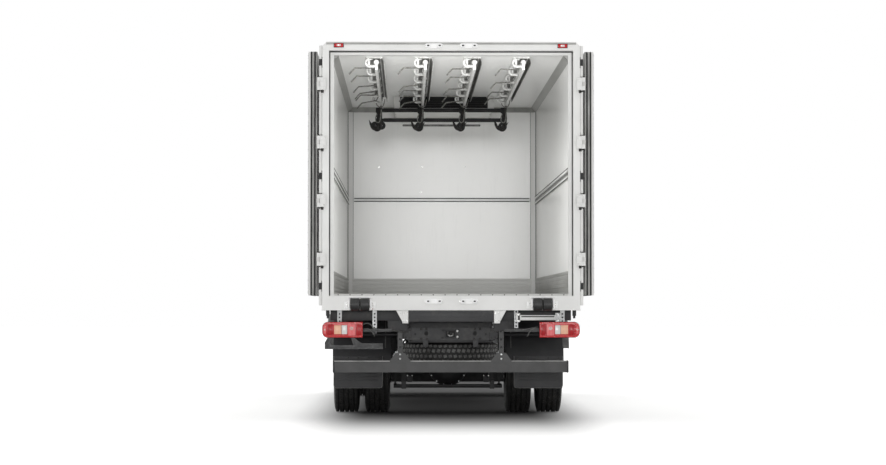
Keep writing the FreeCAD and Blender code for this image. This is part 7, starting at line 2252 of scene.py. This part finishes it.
def pad(low, high, face, across_seams, level_seams):
    """A swollen pad inside a box; seams are drawn into the face that lies along +face."""
    low, high = Vector(low), Vector(high)
    form = bmesh.new()
    block(form, low + Vector((0.012, 0.012, 0.012)), high - Vector((0.012, 0.012, 0.012)), 0.026)
    mesh = bpy.data.meshes.new("pad")
    form.to_mesh(mesh)
    form.free()
    shape = bpy.data.objects.new("pad", mesh)
    scene.collection.objects.link(shape)
    fine = shape.modifiers.new("remesh", "REMESH")
    fine.mode = "VOXEL"
    fine.voxel_size = 0.0115
    bpy.context.view_layer.update()
    mesh = bpy.data.meshes.new_from_object(shape.evaluated_get(
        bpy.context.evaluated_depsgraph_get()))
    shape.modifiers.clear()
    shape.data = mesh
    rest = [vertex.co.copy() for vertex in mesh.vertices]
    cloth = shape.modifiers.new("cloth", "CLOTH")
    cloth.settings.use_pressure = True
    cloth.settings.uniform_pressure_force = 4.0
    cloth.settings.effector_weights.gravity = 0.0
    cloth.settings.quality = 4
    for tick in range(1, 19):
        scene.frame_set(tick)
    swollen = shape.evaluated_get(bpy.context.evaluated_depsgraph_get()).to_mesh()
    rest_now = [vertex.co.copy() for vertex in swollen.vertices]
    shape.modifiers.clear()
    scene.frame_set(1)
    for vertex, was, now in zip(mesh.vertices, rest, rest_now):
        move = now - was
        vertex.co = was + move * min(1.0, 0.016 / max(move.length, 1e-6))
    middle = (low + high) / 2
    half = (high - low) / 2
    up = [axis for axis in range(3) if axis not in (0, face)][0]
    for vertex in mesh.vertices:
        spot = vertex.co
        depth = (spot[face] - middle[face]) / half[face]
        if depth > 0.35:
            across = spot.x - middle.x
            level = spot[up] - middle[up]
            dent = sum(math.exp(-((across - at) / 0.007) ** 2) for at in across_seams)
            if abs(across) < (max(across_seams) if across_seams else 1.0):
                dent += sum(math.exp(-((level - at) / 0.007) ** 2) for at in level_seams)
            crown = 1 - 0.35 * (across / half.x) ** 4 - 0.35 * (level / half[up]) ** 4
            spot[face] += 0.010 * (crown - 0.7) - 0.011 * min(1.0, dent)
    for vertex in mesh.vertices:
        for axis in range(3):
            vertex.co[axis] = min(max(vertex.co[axis], low[axis] - 0.004), high[axis] + 0.004)
    scene.collection.objects.unlink(shape)
    bpy.data.objects.remove(shape)
    return mesh


def cushion(name, mesh, side):
    """A copy of a pad on one side of the cab, smooth, in place of the CAD seats."""
    form = bmesh.new()
    form.from_mesh(mesh)
    if side > 0:
        for vertex in form.verts:
            vertex.co.x = -vertex.co.x
    done = piece(name, form, weave, "cab", 180)
    smooth = done.modifiers.new("smooth", "SUBSURF")
    smooth.levels = smooth.render_levels = 1
    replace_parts(done, "seats")


seat_pad = pad((-1.04, 3.035, 1.45), (-0.52, 3.555, 1.56), 2, (-0.155, 0.155), (-0.13, 0.0, 0.13))
back_pad = pad((-1.04, 2.915, 1.47), (-0.52, 3.035, 2.15), 1, (-0.15, 0.15),
    (-0.22, -0.08, 0.06, 0.2))
head_pad = pad((-0.910, 2.925, 2.160), (-0.650, 3.015, 2.330), 1, (), (0.0,))
for side, hand in hands:
    cushion(f"seat_cushion_{hand}", seat_pad, side)
    cushion(f"seat_back_{hand}", back_pad, side)
    cushion(f"seat_head_{hand}", head_pad, side)
    bellows = bmesh.new()
    for step in range(9):
        shrink = 0.030 if step % 2 else 0.0
        block(bellows, (side * (0.575 + shrink), 3.075 + shrink, 1.15 + step * 0.027),
            (side * (0.985 - shrink), 3.475 - shrink, 1.18 + step * 0.027), 0.01)
    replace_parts(piece(f"seat_bellows_{hand}", bellows, black_rubber, "cab"), "seats")
    stand = bmesh.new()
    low, high = sorted((side * 0.562, side * 0.998))
    block(stand, (low, 3.057, 1.398), (high, 3.493, 1.449), 0.010)
    for across in (0.60, 0.92):
        block(stand, (side * across, 3.057, 1.1155), (side * (across + 0.045), 3.493, 1.152),
            0.004)
    for across in (0.72, 0.84):
        tube(stand, (side * across, 2.970, 2.12), (side * across, 2.970, 2.20), 0.007, 12)
    tube(stand, (side * 0.556, 3.10, 1.500), (side * 0.530, 3.10, 1.500), 0.042, 28, 0.038, 0.004)
    block(stand, (side * 0.536, 3.18, 1.43), (side * 0.556, 3.42, 1.455), 0.006)
    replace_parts(piece(f"seat_frame_{hand}", stand, dark_trim, "cab"), "seats")
    buckle = bmesh.new()
    block(buckle, (side * 0.505, 3.1, 1.54), (side * 0.522, 3.145, 1.62), 0.005)
    tube(buckle, (side * 0.514, 3.122, 1.44), (side * 0.514, 3.122, 1.545), 0.006, 8)
    piece(f"belt_buckle_{hand}", buckle, black_plastic, "cab")


# Inside the cab: a grained dashboard with binnacle, dials, vents and blank switches, a lined roof
# and back, ribbed rubber mats, pedals, gear lever, and a wrapped steering wheel with stalks.

dress(dark_trim, "dashboard", "steering_wheel")
panel = bmesh.new()
block(panel, (-1.00, 4.170, 1.772), (-0.55, 4.300, 1.842), 0.022)
block(panel, (-0.44, 4.118, 1.520), (0.30, 4.196, 1.700), 0.014)
block(panel, (0.40, 4.118, 1.560), (1.04, 4.192, 1.690), 0.012)
block(panel, (-0.30, 3.80, 1.458), (0.30, 4.13, 1.500), 0.012)
piece("dash_panels", panel, card_finish, "cab")
dials = bmesh.new()
needles = bmesh.new()
for across, radius in ((-0.86, 0.044), (-0.72, 0.044), (-0.79, 0.020)):
    spot = Vector((across, 4.1705, 1.806 if radius > 0.03 else 1.824))
    lathe(dials, [
        (0.0, radius), (-0.004, radius), (-0.004, radius - 0.004), (-0.0012, radius - 0.005),
        (-0.0012, 0.001), (0.0, 0.001)], spot, 1, 40)
    tube(needles, spot + Vector((0.0, -0.003, 0.0)),
        spot + Vector((-radius * 0.6, -0.003, radius * 0.4)), 0.0012, 6)
    for step in range(9):
        turn = math.radians(-120 + 30 * step)
        tick = Vector((math.sin(turn), 0.0, math.cos(turn)))
        tube(needles, spot + tick * radius * 0.72 + Vector((0, -0.0015, 0)),
             spot + tick * radius * 0.86 + Vector((0, -0.0015, 0)), 0.0009, 4)
piece("dash_dials", dials, black_plastic, "cab", 40)
piece("dash_needles", needles, frame_paint, "cab")
vents = bmesh.new()
for across in (-1.02, -0.50, 0.34, 1.02):
    left = across - 0.05 if abs(across) < 0.9 else across - 0.045
    for step in range(5):
        block(vents, (left, 4.11, 1.6 + step * 0.016), (left + 0.09, 4.124, 1.608 + step * 0.016),
            0.001)
for row in range(2):
    for step in range(6):
        block(vents, (-0.30 + step * 0.078, 4.108, 1.545 + row * 0.050),
              (-0.238 + step * 0.078, 4.120, 1.580 + row * 0.050), 0.003)
block(vents, (-0.12, 4.108, 1.645), (0.12, 4.120, 1.690), 0.004)
piece("dash_vents_and_switches", vents, black_plastic, "cab")
stalks = bmesh.new()
for side in (-1, 1):
    pipe(stalks, [
        (-0.780 + side * 0.03, 4.030, 1.672), (-0.780 + side * 0.09, 4.026, 1.680),
        (-0.780 + side * 0.17, 4.012, 1.695)], 0.007, 8)
tube(stalks, (-0.18, 3.94, 1.49), (-0.24, 3.88, 1.70), 0.009, 12)
tube(stalks, (-0.242, 3.878, 1.695), (-0.256, 3.864, 1.745), 0.028, 20, 0.022, 0.008)
for across, level in ((-0.94, 1.25), (-0.79, 1.27), (-0.64, 1.24)):
    tube(stalks, (across, 4.17, level + 0.16), (across, 4.10, level), 0.007, 8)
    block(stalks, (across - 0.035, 4.075, level - 0.045), (across + 0.035, 4.095, level + 0.035),
        0.006)
piece("cab_controls", stalks, black_plastic, "cab", 45)
lining = cloudy("pale_grey_lining", ("#a9abac", "#9b9d9f"), 80, 0.9, grain_mm=1.4, bump_mm=0.3)[0]
liner = bmesh.new()
block(liner, (-1.04, 2.8405, 1.46), (1.04, 2.8525, 2.585), 0.005)
block(liner, (-1.04, 2.90, 2.708), (1.04, 3.62, 2.722), 0.006)
for side in (-1, 1):
    block(liner, (side * 0.1, 4.1, 2.5), (side * 0.62, 4.255, 2.516), 0.005)
piece("cab_lining", liner, lining, "cab")
mats = bmesh.new()
for side in (-1, 1):
    low, high = sorted((side * 0.54, side * 1.085))
    block(mats, (low, 3.505, 1.1145), (high, 4.30, 1.120), 0.002)
    for step in range(16):
        block(mats, (low + 0.02, 3.53 + step * 0.047, 1.1195),
            (high - 0.02, 3.548 + step * 0.047, 1.1235), 0.001)
piece("cab_floor_mats", mats, black_rubber, "cab")
tilt = Matrix.Translation((-0.780, 3.995, 1.730)) @ Matrix.Rotation(math.radians(35), 4, "X")
hub = bmesh.new()
block(hub, (-0.085, -0.055, 0.004), (0.085, 0.060, 0.022), 0.008)
bmesh.ops.transform(hub, matrix=tilt, verts=hub.verts)
piece("steering_wheel_pad", hub, dark_trim, "steering_wheel_body")
stitches = bmesh.new()
for step in range(60):
    turn = math.radians(6 * step)
    out = Vector((math.cos(turn), math.sin(turn), 0.0))
    slab(stitches, tilt @ Matrix.Translation(out * 0.2052) @ Matrix.Rotation(turn, 4, "Z"),
        (0.0012, 0.010, 0.0014))
piece("steering_wheel_stitching", stitches, card_finish, "steering_wheel_body")


# Mirrors: black moulded cases on tube arms with a large upper and a small wide-angle glass, each
# in a thin rubber gasket, on both sides.

dress(black_plastic, "mirrors")
silvered, tree, shader, place = start_finish("silvered_mirror_glass", 0.03, 1.0, "#d5dadd")
grain = add(tree, "ShaderNodeTexNoise", {"Vector": place, "Scale": 25.0})
film = ramp(tree, grain.outputs["Fac"], 0.0, 1.0, 0.02, 0.07)
give(shader, {"Roughness": film})
panes = bmesh.new()
gaskets = bmesh.new()
for side in (-1, 1):
    left, right = sorted((side * 1.233, side * 1.384))
    for low, high in ((2.040, 2.342), (1.896, 2.014)):
        block(panes, (left, 4.4715, low), (right, 4.4765, high), 0.002)
        corners_of = [(right, 4.475, low), (left, 4.475, low), (left, 4.475, high),
            (right, 4.475, high)]
        border(gaskets, [
            (x + (0.006 if x == right else -0.006), y, z + (0.006 if z == high else -0.006))
            for x, y, z in corners_of], 0.009, -0.001, 0.005)
    for level in (1.850, 2.400):
        near = 4.450 if level < 2 else 4.325
        tube(gaskets, (side * 1.149, near, level), (side * 1.156, near, level), 0.03, 20,
            edge=0.002)
piece("mirror_panes", panes, silvered, "cab")
piece("mirror_gaskets", gaskets, black_rubber, "cab")


# Refrigeration unit: a white moulded shell with a black frame round its intake, the gaps and
# latches of its service doors, a fan behind each half of the grille and two supply lines.

grilles = bmesh.new()
border(grilles, [(-0.782, 3.0015, 3.248), (0.782, 3.0015, 3.248), (0.782, 2.975, 3.552),
    (-0.782, 2.975, 3.552)], 0.016, -0.006, 0.008)
piece("unit_intake_frame", grilles, black_plastic)
seams = bmesh.new()
for across in (-0.79, 0.79):
    block(seams, (across - 0.002, 2.62, 3.7185), (across + 0.002, 2.83, 3.7208), 0.0004)
for side in (-1, 1):
    near, far = (side * 0.9495, side * 0.9508)
    block(seams, (near, 2.640, 3.18), (far, 2.930, 3.183), 0.0004)
    block(seams, (near, 2.640, 3.64), (far, 2.860, 3.643), 0.0004)
    block(seams, (near, 2.640, 3.18), (far, 2.643, 3.643), 0.0004)
piece("unit_seams", seams, shadow_gap)
latches = bmesh.new()
for side in (-1, 1):
    for level in (3.28, 3.54):
        block(latches, (side * 0.949, 2.655, level), (side * 0.96, 2.7, level + 0.03), 0.004)
    block(latches, (side * 0.6, 2.6, 3.712), (side * 0.64, 2.66, 3.735), 0.004)
piece("unit_latches", latches, black_plastic)
fans = bmesh.new()
for side in (-1, 1):
    lathe(fans, [(0.0, 0.125), (0.006, 0.125), (0.006, 0.115), (0.0, 0.115)],
        (side * 0.4, 2.9285, 3.4), 1, 48)
    tube(fans, (side * 0.40, 2.929, 3.40), (side * 0.40, 2.935, 3.40), 0.034, 24)
    for step in range(7):
        turn = math.radians(360 / 7 * step)
        slab(fans, Matrix.Translation((side * 0.4, 2.932, 3.4)) @ Matrix.Rotation(turn, 4, "Y")
            @ Matrix.Translation((0.0, 0.0, 0.074)) @ Matrix.Rotation(0.06, 4, "Z"),
            (0.050, 0.0025, 0.084))
piece("unit_fans", fans, black_plastic, angle=40)
lines_of = bmesh.new()
pipe(lines_of, [(0.3, 2.575, 3.08), (0.3, 2.58, 3.0), (0.32, 2.585, 2.6), (0.34, 2.582, 1.9),
    (0.34, 2.582, 1.2), (0.36, 2.575, 1.06)], 0.014, 10)
pipe(lines_of, [
    (0.34, 2.575, 3.08), (0.345, 2.580, 3.00), (0.365, 2.585, 2.60), (0.385, 2.582, 1.90),
    (0.385, 2.582, 1.20), (0.39, 2.575, 1.06)], 0.010, 10)
piece("unit_supply_lines", lines_of, black_rubber, angle=60)
clips = bmesh.new()
for level in (1.5, 2.0, 2.5, 2.95):
    block(clips, (0.305, 2.5655, level), (0.415, 2.602, level + 0.020), 0.004)
piece("unit_line_clips", clips, zinc)
